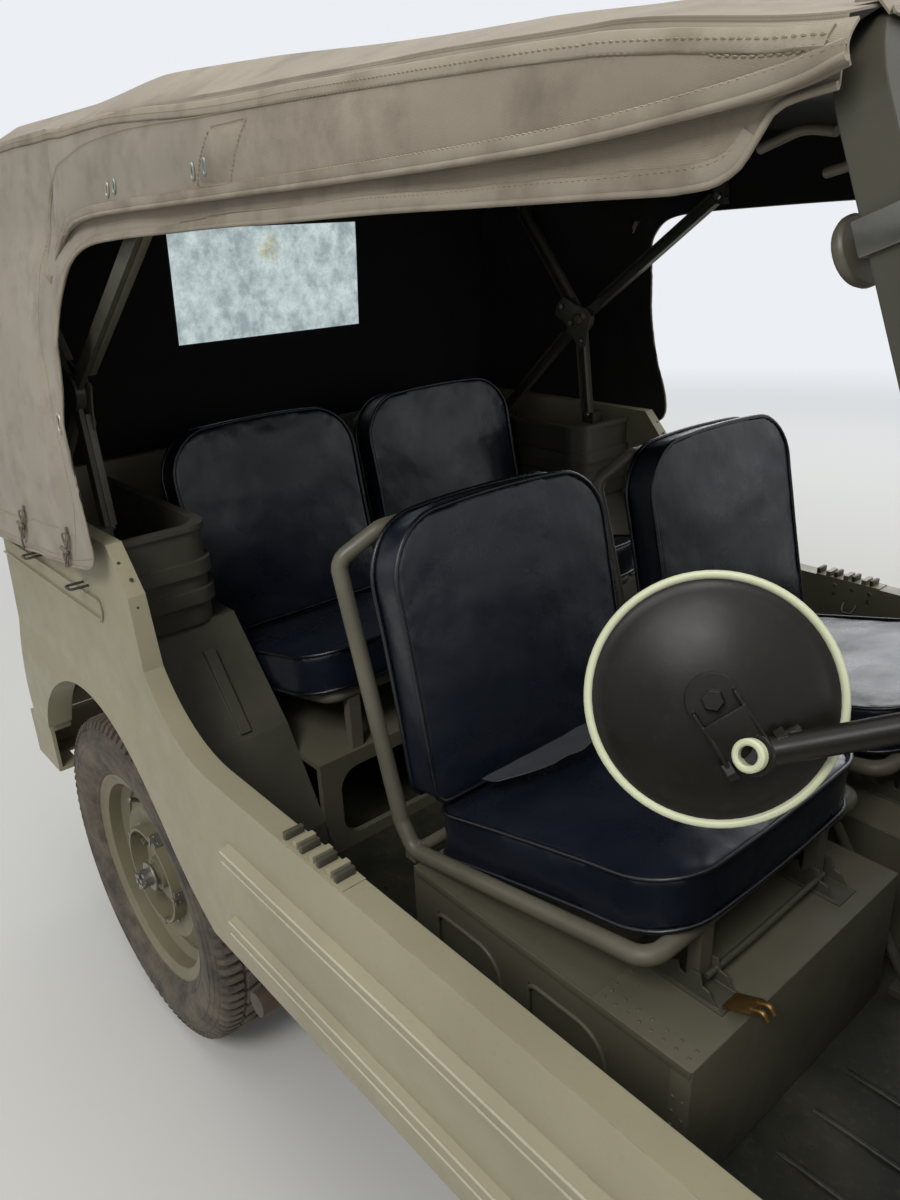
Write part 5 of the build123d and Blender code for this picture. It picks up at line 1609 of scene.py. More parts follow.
@dataclass
class Sewing:
    """Rows of stitches, folded seams, rolled hems and patches, each laid on a sheet."""

    surface: ClothSurface
    stitch: float = 0.0034
    pitch: float = 0.0056

    def stitches(self, mesh: bmesh.types.BMesh, points: Sequence[Point], lift: float = 0.0004,
                 smooth_line: bool = True) -> None:
        """Adds a row of short raised threads along a line.

        Args:
            mesh: What the threads are added to.
            points: The row's line, near the sheet.
            lift: Height of the threads' middle above the sheet.
            smooth_line: Whether the row runs smoothly through the points.
        """
        places = course(points, self.pitch, smooth_line)
        for before, after in zip(places, places[1:]):
            place, normal = self.surface.spot((before + after) / 2)
            ahead = (after - before).normalized()
            ahead = (ahead - normal * ahead.dot(normal)).normalized()
            side = normal.cross(ahead)
            middle = place + normal * lift
            ring = []
            for way, width, high in ((-1, 0.0004, 0.0), (-0.4, 0.0007, 0.0007), (0.4, 0.0007, 0.0007),
                                     (1, 0.0004, 0.0)):
                at = middle + ahead * way * self.stitch / 2
                ring.append([mesh.verts.new(at + side * width), mesh.verts.new(at + normal * (high + 0.0003)),
                             mesh.verts.new(at - side * width), mesh.verts.new(at - normal * 0.0006)])
            for a, b in zip(ring, ring[1:]):
                for k in range(4):
                    mesh.faces.new((a[k], a[(k + 1) % 4], b[(k + 1) % 4], b[k]))
            mesh.faces.new(ring[0][::-1])
            mesh.faces.new(ring[-1])

    def fold(self, mesh: bmesh.types.BMesh, points: Sequence[Point], width: float, proud: float,
             smooth_line: bool = True) -> None:
        """Adds a flat folded seam of cloth along a line: a low strip with rounded sides.

        Args:
            mesh: What the strip is added to.
            points: The seam's line, near the sheet.
            width: The strip's width.
            proud: Its height above the sheet.
            smooth_line: Whether it runs smoothly through the points.
        """
        rings = []
        places = course(points, 0.009, smooth_line)
        for k, here in enumerate(places):
            ahead = (places[min(k + 1, len(places) - 1)] - places[max(k - 1, 0)]).normalized()
            place, normal = self.surface.spot(here)
            side = normal.cross(ahead).normalized()
            ring = []
            for across, high in ((-0.5, -0.0012), (-0.47, 0.6), (-0.38, 1.0), (0, 0.86), (0.38, 1.0),
                                 (0.47, 0.6),
                                 (0.5, -0.0012)):
                spot, out = self.surface.spot(place + side * across * width)
                ring.append(mesh.verts.new(spot + out * (high * proud if high > 0 else high)))
            rings.append(ring)
        for a, b in zip(rings, rings[1:]):
            for k in range(len(a)):
                j = (k + 1) % len(a)
                mesh.faces.new((a[k], a[j], b[j], b[k]))
        mesh.faces.new(rings[0][::-1])
        mesh.faces.new(rings[-1])

    def rolled(self, name: str, points: Sequence[Point], radius: float) -> bpy.types.Object:
        """Makes a rolled hem along a line at the sheet's edge.

        Args:
            name: The hem's name.
            points: Its line, near the sheet.
            radius: Radius of the roll.

        Returns:
            The hem.
        """
        line = []
        for here in course(points, 0.008):
            place, normal = self.surface.spot(here)
            line.append(place + normal * radius * 0.35)
        return tube(name, line, radius, sides=2)


@dataclass
class HoodTrim:
    """The hood's seams, stitches, hems, patch, eyelets, toggles and rear window sheet."""

    hood: CanvasHood
    main: bpy.types.Object
    flap: bpy.types.Object
    # Lines on the right side as (along the car, height), each with the half width that it lies near
    roof_seam: Sequence[Point] = ((0.294, 1.635), (0.12, 1.654), (-0.016, 1.660), (-0.217, 1.666),
                                  (-0.287, 1.667),
                                  (-0.408, 1.671), (-0.581, 1.680), (-0.681, 1.684), (-0.848, 1.681),
                                  (-1.067, 1.681), (-1.24, 1.674))
    flap_top: Sequence[Point] = ((0.29, 1.627), (0.12, 1.646), (-0.016, 1.652), (-0.146, 1.656),
                                 (-0.288, 1.659),
                                 (-0.418, 1.662), (-0.578, 1.666), (-0.704, 1.660), (-0.781, 1.647),
                                 (-0.831, 1.634),
                                 (-0.870, 1.612), (-0.893, 1.592))
    side_seam: Sequence[Point] = ((-0.829, 1.681), (-0.856, 1.646), (-0.868, 1.618), (-0.888, 1.596),
                                  (-0.908, 1.566), (-0.914, 1.531), (-0.908, 1.505), (-0.880, 1.494))
    facing: Sequence[Point] = ((-0.872, 1.612), (-0.900, 1.575), (-0.925, 1.536), (-0.938, 1.48),
                               (-0.925, 1.42),
                               (-0.905, 1.36), (-0.893, 1.31), (-0.886, 1.27), (-0.868, 1.21),
                               (-0.856, 1.165),
                               (-0.868, 1.125), (-0.890, 1.07))
    foot_row: Sequence[Point] = ((-1.33, 1.070), (-1.24, 1.076), (-1.155, 1.085), (-1.03, 1.098),
                                 (-0.911, 1.108),
                                 (-0.862, 1.106))
    corner_patch: Sequence[Point] = ((0.200, 1.642), (0.211, 1.636), (0.237, 1.628),
                                     (0.267, 1.625), (0.300, 1.624))
    patch: Sequence[Point] = ((-0.375, 1.648), (-0.302, 1.650), (-0.345, 1.590), (-0.418, 1.592))
    eyelets: Sequence[Point] = ((-0.422, 1.606), (-0.393, 1.609), (-0.655, 1.600), (-0.634, 1.603))
    toggles: Sequence[tuple] = ((-1.115, 1.112, -1.150, 1.020), (-0.896, 1.120, -0.930, 1.018))

    def near(self, line: Sequence[Point], half: float = 0.64) -> list[Vector]:
        """Gives a side line its place across the car."""
        return [Vector((x, -max(half, self.hood.half(z)) - 0.022, z)) for x, z in line]

    def offset(self, line: Sequence[Point], by: float) -> list[Point]:
        """Moves a side line up by a distance, square to its own run.

        Args:
            line: The line as (along the car, height).
            by: How far it is moved.

        Returns:
            The moved line.
        """
        moved = []
        for k, (x, z) in enumerate(line):
            a, b = line[max(k - 1, 0)], line[min(k + 1, len(line) - 1)]
            run = Vector((b[0] - a[0], b[1] - a[1])).normalized()
            moved.append((x - run.y * by, z + run.x * by))
        return moved

    def stitching(self) -> list[bpy.types.Object]:
        """Sews the right side's seams, hems, facing and patches.

        Returns:
            The stitches, the folds, the hems and the rolled hems.
        """
        main, flap = Sewing(ClothSurface([self.main])), Sewing(ClothSurface([self.flap]))
        both = Sewing(ClothSurface([self.main, self.flap]))
        threads, folds, edges = bmesh.new(), bmesh.new(), bmesh.new()
        both.fold(folds, self.near(self.roof_seam), 0.015, 0.0022)
        both.stitches(threads, self.near(self.flap_top), 0.0012)
        both.stitches(threads, self.near(self.roof_seam), 0.0022)
        main.fold(folds, self.near(self.side_seam), 0.011, 0.0020)
        main.stitches(threads, self.near(self.side_seam), 0.0021)
        main.stitches(threads, self.near(self.facing))
        # A double hem follows the side opening: a band of turned cloth, then its stitches
        hem = [(x, z + 0.0005) for x, z in self.hood.opening]
        inner = self.offset(hem, -0.0075)
        main.fold(edges, self.near(inner[2:18]), 0.014, 0.0016)
        main.stitches(threads, self.near(self.offset(hem[2:18], -0.0125)), 0.0012)
        main.stitches(threads, self.near(self.offset(hem[20:], -0.012)), 0.0006)
        main.stitches(threads, self.near(self.foot_row), 0.0006)
        outer = [(x, z + 0.0065) for x, z in self.hood.flap_hem]
        flap.fold(folds, self.near(outer), 0.013, 0.0020)
        flap.stitches(threads, self.near([(x, z + 0.0125) for x, z in self.hood.flap_hem]), 0.0012)
        flap.stitches(threads, self.near(self.corner_patch), 0.0006)
        flap.stitches(threads, self.near(self.offset(self.corner_patch, 0.006)), 0.0006)
        square = [*self.patch, self.patch[0]]
        flap.stitches(threads, self.near(square), 0.0012, False)
        self.square_patch(flap, folds)
        roll = [flap.rolled("hem_roll", self.near([(x, z + 0.0012) for x, z in self.hood.flap_hem]), 0.0028),
                main.rolled("edge_roll", self.near(hem), 0.0024)]
        return [from_mesh("hood_stitches", threads), from_mesh("hood_folds", folds),
                from_mesh("hood_hems", edges),
                joined("hood_hem_rolls", roll)]

    def square_patch(self, sewing: Sewing, mesh: bmesh.types.BMesh) -> None:
        """Lays the reinforcing patch on the side flap.

        Args:
            sewing: Sewing on the flap.
            mesh: What the patch is added to.
        """
        a, b, c, d = (Vector(point) for point in self.patch)
        count = 8
        grid = []
        for i in range(count + 1):
            row = []
            for k in range(count + 1):
                x, z = a.lerp(b, i / count).lerp(d.lerp(c, i / count), k / count)
                place, out = sewing.surface.spot(self.near([(x, z)])[0])
                rim = i in (0, count) or k in (0, count)
                row.append(mesh.verts.new(place + out * (-0.0006 if rim else 0.0011)))
            grid.append(row)
        for i in range(count):
            for k in range(count):
                mesh.faces.new((grid[i][k], grid[i + 1][k], grid[i + 1][k + 1], grid[i][k + 1]))

    def ring(self, name: str, sewing: Sewing, place: Point, long: float, wide: float, thick: float,
             tilt: float) -> bpy.types.Object:
        """Makes one oval eyelet ring flat on the cloth.

        Args:
            name: The ring's name.
            sewing: Sewing on the sheet that carries it.
            place: Its place along the car and its height.
            long: Half of its long axis.
            wide: Half of its short axis.
            thick: Radius of its wire.
            tilt: Lean of the long axis from upright, in radians.

        Returns:
            The ring.
        """
        middle, out = sewing.surface.spot(self.near([place])[0])
        up = Vector((math.sin(tilt), 0, math.cos(tilt)))
        up = (up - out * up.dot(out)).normalized()
        side = out.cross(up)
        line = []
        for n in range(20):
            turn = 2 * math.pi * n / 20
            line.append(middle + out * 0.0009 + up * long * math.cos(turn) + side * wide * math.sin(turn))
        return tube(name, line, thick, closed=True, sides=2)

    def hardware(self) -> list[bpy.types.Object]:
        """Sets the right side's eyelets, the turn-button plates, toggles and their loops.

        Returns:
            The eyelets and the toggles.
        """
        flap, main = Sewing(ClothSurface([self.flap])), Sewing(ClothSurface([self.main]))
        rings, loops = [], []
        for place in self.eyelets:
            rings.append(self.ring("eyelet", flap, place, 0.0078, 0.0034, 0.0016, 0.25))
        rings.append(self.ring("turn_plate", main, (-0.862, 1.290), 0.014, 0.0085, 0.0020, 0.1))
        for x0, z0, x1, z1 in self.toggles:
            line = []
            for n in range(14):
                t = n / 13
                x, z = x0 + (x1 - x0) * t, z0 + (z1 - z0) * t
                place, out = main.surface.spot(self.near([(x, z)])[0])
                swing = 0.004 * math.sin(math.pi * t)
                line.append(place + out * (0.0032 + swing) + Vector((0.004 * math.sin(5 * t), 0, 0)))
            loops.append(tube("toggle_tail", line, 0.0021, sides=2))
            for share in (0.22, 0.55):
                x, z = x0 + (x1 - x0) * share, z0 + (z1 - z0) * share
                place, out = main.surface.spot(self.near([(x, z)])[0])
                ahead = Vector((x1 - x0, 0, z1 - z0)).normalized()
                side = out.cross(ahead).normalized()
                long, wide = ahead * 0.013, side * 0.0085
                knot = [place + out * 0.001 - long, place + out * 0.006 - long * 0.6 + wide,
                        place + out * 0.007 + wide, place + out * 0.006 + long + wide * 0.4,
                        place + out * 0.007 - wide * 0.7, place + out * 0.006 - long * 0.6 - wide,
                        place + out * 0.001 - long * 0.8]
                loops.append(tube("toggle_loop", [tuple(along(knot, n / 20)) for n in range(21)], 0.0018,
                                  sides=2))
            x, z = x0 + (x1 - x0) * 0.38, z0 + (z1 - z0) * 0.38
            place, out = main.surface.spot(self.near([(x, z)])[0])
            peg = place + out * 0.009
            loops.append(rod("toggle_peg", peg + Vector((-0.013, 0, 0.002)), peg + Vector((0.013, 0, -0.002)),
                             0.0034,
                             10, 0.001))
        return [joined("hood_eyelets", rings), joined("hood_toggles", loops)]

    def rear_window(self) -> bpy.types.Object:
        """Makes the clear sheet behind the rear hole, sewn all round, a little slack.

        Returns:
            The clear sheet.
        """
        half, low, high = self.hood.window
        mesh = bmesh.new()
        count, rows = 40, 22
        grid = []
        for i in range(count + 1):
            y = (half + 0.012) * (2 * i / count - 1)
            line = []
            for k in range(rows + 1):
                z = low - 0.012 + (high - low + 0.024) * k / rows
                free = min(1.0, (half + 0.012 - abs(y)) / 0.06, (z - low + 0.012) / 0.05,
                           (high + 0.012 - z) / 0.05)
                slack = 0.0028 * wave(y * 9, z * 9, 3.0) * free + 0.0012 * wave(y * 26, z * 22, 8.0) * free
                line.append(mesh.verts.new((self.hood.tail(z) + 0.0032 + slack, y, z)))
            grid.append(line)
        for i in range(count):
            for k in range(rows):
                mesh.faces.new((grid[i][k], grid[i][k + 1], grid[i + 1][k + 1], grid[i + 1][k]))
        sheet = from_mesh("rear_window_sheet", mesh)
        modify(sheet, "SOLIDIFY", thickness=0.0009, offset=0.0)
        return smooth(sheet, 60)

    def window_border(self) -> tuple[bpy.types.Object, bpy.types.Object]:
        """Sews the binding round the rear window and down the rear curtain's middle width.

        Returns:
            The folds and the stitches.
        """
        half, low, high = self.hood.window
        sewing = Sewing(ClothSurface([self.main]))
        folds, threads = bmesh.new(), bmesh.new()
        x = -1.40
        for reach, row in ((0.011, False), (0.004, True), (0.018, True)):
            corners = [(x, -half - reach, low - reach), (x, half + reach, low - reach),
                       (x, half + reach, high + reach),
                       (x, -half - reach, high + reach), (x, -half - reach, low - reach)]
            for a, b in zip(corners, corners[1:]):
                if row:
                    sewing.stitches(threads, [a, b], 0.0016, False)
                else:
                    sewing.fold(folds, [a, b], 0.020, 0.0016, False)
        for y in (-0.42, 0.42):
            seam = [(x, y, 1.57), (x, y, 1.3), (x - 0.02, y, 1.01)]
            sewing.fold(folds, seam, 0.016, 0.0014)
            for by in (-0.0055, 0.0055):
                sewing.stitches(threads, [(a, b + by, c) for a, b, c in seam], 0.0012)
        hem = [(x - 0.02, y, 1.012) for y in (-0.64, -0.3, 0.0, 0.3, 0.64)]
        sewing.stitches(threads, hem, 0.0006)
        return from_mesh("rear_folds", folds), from_mesh("rear_stitches", threads)

    def build(self) -> None:
        """Builds the trim of both sides and the tail."""
        finishes = (THREAD, CANVAS_SEAM, CANVAS_SEAM, CANVAS_SEAM, EYELET, TOGGLE)
        for piece, finish in zip([*self.stitching(), *self.hardware()], finishes):
            twins(smooth(piece, 50), finish)
        folds, threads = self.window_border()
        dressed(smooth(folds, 50), CANVAS_SEAM)
        dressed(smooth(threads, 50), THREAD)
        sheet = dressed(self.rear_window(), WINDOW_SHEET, BODY, ["rear_window"])


def rounded(corners: Sequence[tuple[float, float, float]], step: float = 0.006) -> list[tuple[float, float]]:
    """Runs a closed line through corners, each rounded to its own radius.

    Args:
        corners: Each corner's x, y and radius, in order round the shape.
        step: Distance between the points of the straight stretches.

    Returns:
        Points of the closed line, evenly close.
    """
    line = []
    count = len(corners)
    for k, (x, y, radius) in enumerate(corners):
        corner = Vector((x, y))
        back = (Vector(corners[k - 1][:2]) - corner).normalized()
        ahead = (Vector(corners[(k + 1) % count][:2]) - corner).normalized()
        first, last = corner + back * radius, corner + ahead * radius
        bits = max(2, int(radius * 1.4 / step))
        for n in range(bits + 1):
            t = n / bits
            # A weighted curve stands for the arc of a square corner
            a, b, c = (1 - t) ** 2, 2 * t * (1 - t) * 0.7071, t ** 2
            line.append(tuple((a * first + b * corner + c * last) / (a + b + c)))
        following = corners[(k + 1) % count]
        start, goal = last, Vector(following[:2]) - ahead * following[2]
        pieces = max(1, int((goal - start).length / step))
        line += [tuple(start.lerp(goal, n / pieces)) for n in range(1, pieces)]
    return line


@dataclass
class SeatPad:
    """One boxed pad: two panels and a side band, sewn with piping along both seams."""

    name: str
    outline: list
    depth: float
    place: Matrix
    crown: float
    belly: float
    seed: float
    voxel: float = 0.0065

    def block_out(self) -> bpy.types.Object:
        """Extrudes the seam outline and gives it an even grid of small faces."""
        pad = plate(self.name, [(x, y, 0) for x, y in self.outline], (0, 0, 1), self.depth, 0)
        return modify(pad, "REMESH", mode="VOXEL", voxel_size=self.voxel)

    def seam_distance(self, spot: Vector) -> float:
        """Gives how far a point of the pad lies from its seam outline, in plan."""
        return min((Vector((x, y)) - spot.xy).length for x, y in self.outline[::2])

    def swell(self, pad: bpy.types.Object) -> None:
        """Blows the pad up as cloth between its sewn seams, resting flat on its lower panel.

        Args:
            pad: The blocked-out pad.
        """
        rest = [vertex.co.copy() for vertex in pad.data.vertices]
        near = [self.seam_distance(spot) for spot in rest]
        sewn = pad.vertex_groups.new(name="sewn")
        reach = self.voxel * 1.1
        for k, (spot, gap) in enumerate(zip(rest, near)):
            lower = spot.z < self.voxel * 0.6
            seam = gap < reach and spot.z > self.depth - reach
            if lower or seam:
                sewn.add([k], 1.0, "REPLACE")
        choose(pad)
        cloth = pad.modifiers.new("cloth", "CLOTH")
        cloth.settings.quality = 4
        cloth.settings.use_pressure = True
        cloth.settings.uniform_pressure_force = 4.0
        cloth.settings.effector_weights.gravity = 0
        cloth.settings.vertex_group_mass = "sewn"
        scene = bpy.context.scene
        for number in range(1, 21):
            scene.frame_set(number)
        bpy.ops.object.modifier_apply(modifier="cloth")
        scene.frame_set(1)
        pad.vertex_groups.clear()
        for vertex, start, gap in zip(pad.data.vertices, rest, near):
            move = vertex.co - start
            limit = self.crown if gap > reach * 1.5 else self.belly
            if move.length > limit:
                move *= limit / move.length
            vertex.co = start + move

    def wrinkle(self, pad: bpy.types.Object) -> None:
        """Adds the puckers along the seams and the sat-in unevenness of the panel.

        Args:
            pad: The swollen pad.
        """
        shift = Vector((self.seed, 2 * self.seed, 3 * self.seed))
        for vertex in pad.data.vertices:
            spot = vertex.co
            if spot.z < self.voxel:
                continue
            gap = self.seam_distance(spot)
            close = math.exp(-((gap - 0.012) / 0.02) ** 2)
            pucker = wave(*(spot * 42 + shift)) * close
            sat = wave(*(spot * 9 + shift)) * min(1.0, gap / 0.05)
            fine = wave(*(spot * 24 + shift)) * min(1.0, gap / 0.03)
            vertex.co = spot + vertex.normal * (0.0011 * pucker + 0.0032 * sat + 0.0008 * fine)

    def piping(self) -> bpy.types.Object:
        """Makes the two welts that run round the seams.

        Returns:
            Both welts as one piece.
        """
        loops = []
        for height in (0.004, self.depth - 0.001):
            middle = Vector((sum(x for x, _ in self.outline),
                             sum(y for _, y in self.outline))) / len(self.outline)
            line = []
            for k in range(0, len(self.outline), 2):
                here = Vector(self.outline[k])
                ahead = Vector(self.outline[(k + 1) % len(self.outline)]) - Vector(self.outline[k - 1])
                out = Vector((ahead.y, -ahead.x)).normalized()
                if out.dot(here - middle) < 0:
                    out = -out
                spot = here + out * 0.0015
                line.append((spot.x, spot.y, height + 0.0008 * wave(spot.x * 30, spot.y * 30, self.seed)))
            loops.append(tube(self.name + "_welt", line, 0.0037, closed=True, sides=2))
        return joined(self.name + "_piping", loops)

    def build(self) -> list[bpy.types.Object]:
        """Builds the pad and its piping and puts both in their place.

        Returns:
            The pad and its piping.
        """
        pad = self.block_out()
        self.swell(pad)
        self.wrinkle(pad)
        modify(pad, "SUBSURF", levels=1, render_levels=1)
        modify(pad, "DECIMATE", ratio=0.55)
        pieces = [pad, self.piping()]
        for piece in pieces:
            piece.data.transform(self.place)
        smooth(pad, 75)
        return pieces


@dataclass
class Seats:
    """The four seats' cushions and backs."""

    width: float = 0.432
    cushion_depth: float = 0.085
    back_depth: float = 0.060
    back_height: float = 0.405
    slope: float = math.tan(math.radians(13.9))
    lean: float = math.radians(12)
    gap: float = 0.0003
    # Each row: name, rear of the cushion, its base height, its length, the seat's centre across
    rows: Sequence[tuple] = (("front", -0.290, 0.702, 0.420, 0.270), ("rear", -1.030, 0.706, 0.400, 0.232))

    def cushion_outline(self, length: float) -> list:
        """Gives a cushion's seam outline: round front corners, bowed front, sides drawn in.

        Args:
            length: The cushion's length along the car.

        Returns:
            The closed outline.
        """
        half = self.width / 2 - 0.004
        line = rounded([(0.006, -half, 0.035), (length - 0.012, -half, 0.072), (length - 0.012, half, 0.072),
                        (0.006, half, 0.035)])
        bowed = []
        for x, y in line:
            pull = 1 - 0.022 * math.sin(math.pi * min(1.0, max(0.0, x / length)))
            bow = 0.010 * (x / length) ** 3 * (1 - (y / half) ** 2)
            bowed.append((x + bow, y * pull))
        return bowed

    def back_outline(self) -> list:
        """Gives a back's seam outline: large top corners, top edge bowed up, sides drawn in.

        Returns:
            The closed outline.
        """
        half = self.width / 2 - 0.006
        top = self.back_height - 0.012
        line = rounded([(0.0, -half, 0.018), (top, -half, 0.085), (top, half, 0.085), (0.0, half, 0.018)])
        bowed = []
        for x, y in line:
            pull = 1 - 0.015 * math.sin(math.pi * min(1.0, max(0.0, x / top)))
            bow = 0.012 * (x / top) ** 4 * (1 - (y / half) ** 2)
            bowed.append((x + bow, y * pull))
        return bowed

    def build(self) -> None:
        """Builds one pad of each shape and copies it to the seats that share it."""
        cushions, backs = [], []
        first_back = None
        for row, rear_x, base, length, centre in self.rows:
            lift = base + self.gap
            shear = Matrix.Identity(4)
            shear[2][0] = self.slope
            seated = Matrix.Translation((rear_x, -centre, lift)) @ shear
            pad = SeatPad(f"{row}_right_cushion", self.cushion_outline(length), self.cushion_depth - 0.008,
                          seated,
                          0.015, 0.005, 0.3 * length)
            cushions += self.pair(pad.build(), row, "cushion", centre)
            foot = Vector((rear_x + 0.022, -centre, lift + self.cushion_depth + 0.008))
            up = Vector((-math.sin(self.lean), 0, math.cos(self.lean)))
            ahead = Vector((math.cos(self.lean), 0, math.sin(self.lean)))
            axes = Matrix((up, (0, -1, 0), ahead)).transposed().to_4x4()
            stood = Matrix.Translation(foot - ahead * 0.066) @ axes
            if first_back is None:
                pad = SeatPad(f"{row}_right_back", self.back_outline(), self.back_depth, stood, 0.014, 0.004,
                              1.7)
                made = pad.build()
                first_back = (stood, made)
            else:
                made = [copied(piece, piece.name.replace("front", row), stood @ first_back[0].inverted())
                        for piece in first_back[1]]
            backs += self.pair(made, row, "back", centre)
        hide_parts("seat_cushions")
        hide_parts("seat_backs")

    def pair(self, pieces: list, row: str, kind: str, centre: float) -> list:
        """Finishes a right-hand pad with its piping, and mirrors both to the left seat.

        Args:
            pieces: The right-hand pad and its piping.
            row: The seat's row; not used.
            kind: Cushion or back; not used.
            centre: The seat's centre across the car; not used.

        Returns:
            The right and left pad, then the right and left piping.
        """
        made = []
        for piece, finish in zip(pieces, (SEAT_VINYL, PIPING)):
            other = copied(piece, piece.name.replace("right", "left"), FLIP)
            for side in (piece, other):
                dressed(side, finish)
                made.append(side)
        return made


# Wheels

TO_WHEEL = Matrix.Rotation(math.radians(-90), 4, "X")


@dataclass
class RoadWheels:
    """The five tyres with their tread, and the fittings of their hubs and rims."""

    hub_height: float = 0.345
    radius: float = 0.345
    depth: float = 0.009
    lugs: int = 92
    ring_radius: float = 0.102
    ring_out: float = 0.052
    clips: int = 5
    spare: Point = (-1.498, 0.0, 0.850)

    def carcass(self) -> bpy.types.Object:
        """Turns the tyre's body, with its shoulder, sidewall and bead ribs.

        Returns:
            The tyre's body.
        """
        base = self.radius - self.depth
        half = [(0.205, 0.051), (0.217, 0.055), (0.2225, 0.0605), (0.2265, 0.0640), (0.2305, 0.0648),
                (0.2330, 0.0675), (0.2395, 0.0705), (0.2420, 0.0698), (0.2560, 0.0760), (0.2740, 0.0792),
                (0.2880, 0.0800), (0.2890, 0.0812), (0.2930, 0.0812), (0.2940, 0.0798), (0.3020, 0.0782),
                (0.3030, 0.0790), (0.3060, 0.0784), (0.3070, 0.0768), (0.3130, 0.0744), (0.3140, 0.0750),
                (0.3170, 0.0738), (0.3180, 0.0722), (0.3260, 0.0680), (base - 0.0035, 0.0600),
                (base - 0.001, 0.0400), (base, 0.0)]
        other = [(radius, -out) for radius, out in reversed(half[:-1])]
        return turned("tyre", [*half, *other, half[0]], TO_WHEEL, 112, 25)

    def lug(self, mesh: bmesh.types.BMesh, section: Sequence[Point], start: float, end: float,
            skew: float = 0.0, draft: float = 0.0012) -> None:
        """Adds one tread block: a section across the tread, run a short way round the wheel.

        Args:
            mesh: What the block is added to.
            section: Points (radius, outboard), the first and the last below the tread's base.
            start: Angle of its first end.
            end: Angle of its last end.
            skew: Angle by which the outboard end of the block trails.
            draft: How much shorter each end is at the top.
        """
        low, high = min(y for _, y in section), max(y for _, y in section)
        rings = []
        for angle, way in ((start, 1), (end, -1)):
            ring = []
            for k, (radius, out) in enumerate(section):
                top = 0 < k < len(section) - 1
                share = (out - low) / (high - low)
                turn = angle + skew * share + (way * draft / radius if top else 0)
                ring.append(mesh.verts.new((radius * math.sin(turn), out, radius * math.cos(turn))))
            rings.append(ring)
        first, last = rings
        count = len(section)
        for k in range(count):
            mesh.faces.new((first[k], first[(k + 1) % count], last[(k + 1) % count], last[k]))
        mesh.faces.new(first[::-1])
        mesh.faces.new(last)

    def tread(self) -> bpy.types.Object:
        """Sets the shoulder lugs and the two zigzag middle rows round the tyre.

        Returns:
            The tread.
        """
        mesh = bmesh.new()
        top, base = self.radius, self.radius - self.depth - 0.003
        pitch = 2 * math.pi / self.lugs
        shoulder = [(base - 0.002, 0.036), (top - 0.0008, 0.037), (top - 0.0025, 0.056),
                    (top - 0.0075, 0.0665),
                    (top - 0.0200, 0.0745), (top - 0.0250, 0.0700)]
        middle = [(base, 0.003), (top, 0.004), (top - 0.0004, 0.030), (base, 0.032)]
        for k in range(self.lugs):
            angle = k * pitch
            for side in (1, -1):
                across = [(radius, side * out) for radius, out in shoulder]
                shift = 0.5 * pitch if side < 0 else 0
                self.lug(mesh, across, angle + shift, angle + shift + 0.56 * pitch, 0.006)
                if k % 2 == 0:
                    row = [(radius, side * out) for radius, out in middle]
                    lead = angle + (pitch if side < 0 else 0)
                    self.lug(mesh, row, lead, lead + 1.45 * pitch, 0.034 * side)
        data = bpy.data.meshes.new("tread")
        mesh.to_mesh(data)
        mesh.free()
        piece = bpy.data.objects.new("tread", data)
        bpy.context.scene.collection.objects.link(piece)
        outward(piece)
        return modify(piece, "BEVEL", width=0.0009, segments=1, limit_method="ANGLE", angle_limit=0.6)

    def fittings(self) -> bpy.types.Object:
        """Builds the hub's castle nut, washer and pin, the ring's clips, and the valve.

        Returns:
            The fittings as one piece.
        """
        pieces = []
        nut = turned("nut", [(0, 0.062), (0.008, 0.062), (0.010, 0.060), (0.010, 0.073), (0.0165, 0.073),
                             (0.0185, 0.071), (0.0185, 0.055), (0, 0.055)], TO_WHEEL, 12, 20)
        pieces.append(nut)
        for k in range(6):
            turn = Matrix.Rotation(math.radians(60 * k + 30), 4, "Y")
            tooth = block("tooth", (0.0075, 0.070, -0.0040), (0.0180, 0.0785, 0.0040), 0.0008, 1)
            tooth.data.transform(turn)
            pieces.append(tooth)
        pieces.append(turned("washer", [(0, 0.0555), (0.030, 0.0555), (0.0305, 0.0540), (0.0305, 0.0515),
                                        (0, 0.0515)],
                             TO_WHEEL, 32))
        pieces.append(rod("pin", (-0.022, 0.0735, 0.0), (0.022, 0.0735, 0.0), 0.0018, 8, 0.0004))
        for k in range(self.clips):
            turn = Matrix.Rotation(math.radians(360 / self.clips * k + 18), 4, "Y")
            ring = self.ring_radius
            tab = [block("tab", (-0.017, 0.029, ring - 0.001), (0.017, 0.0505, ring + 0.0022), 0.0012, 1),
                   block("nib", (-0.0025, self.ring_out - 0.010, ring - 0.0085),
                         (0.0025, self.ring_out + 0.002, ring + 0.004), 0.0008, 1),
                   block("foot", (-0.012, 0.022, ring - 0.001), (0.012, 0.030, ring + 0.011), 0.0012, 1)]
            for x in (-0.009, 0.009):
                tab.append(rod("rivet", (x, 0.040, ring + 0.001), (x, 0.040, ring + 0.0042), 0.0026, 8,
                               0.0006))
            for piece in tab:
                piece.data.transform(turn)
            pieces += tab
        valve = tube("valve", [(0.0, 0.020, 0.172), (0.0, 0.040, 0.176), (0.0, 0.056, 0.184)], 0.0042, 0.01)
        pieces.append(valve)
        pieces.append(rod("cap", (0.0, 0.055, 0.1835), (0.0, 0.066, 0.189), 0.0052, 10, 0.0008))
        return joined("hub_fittings", pieces)

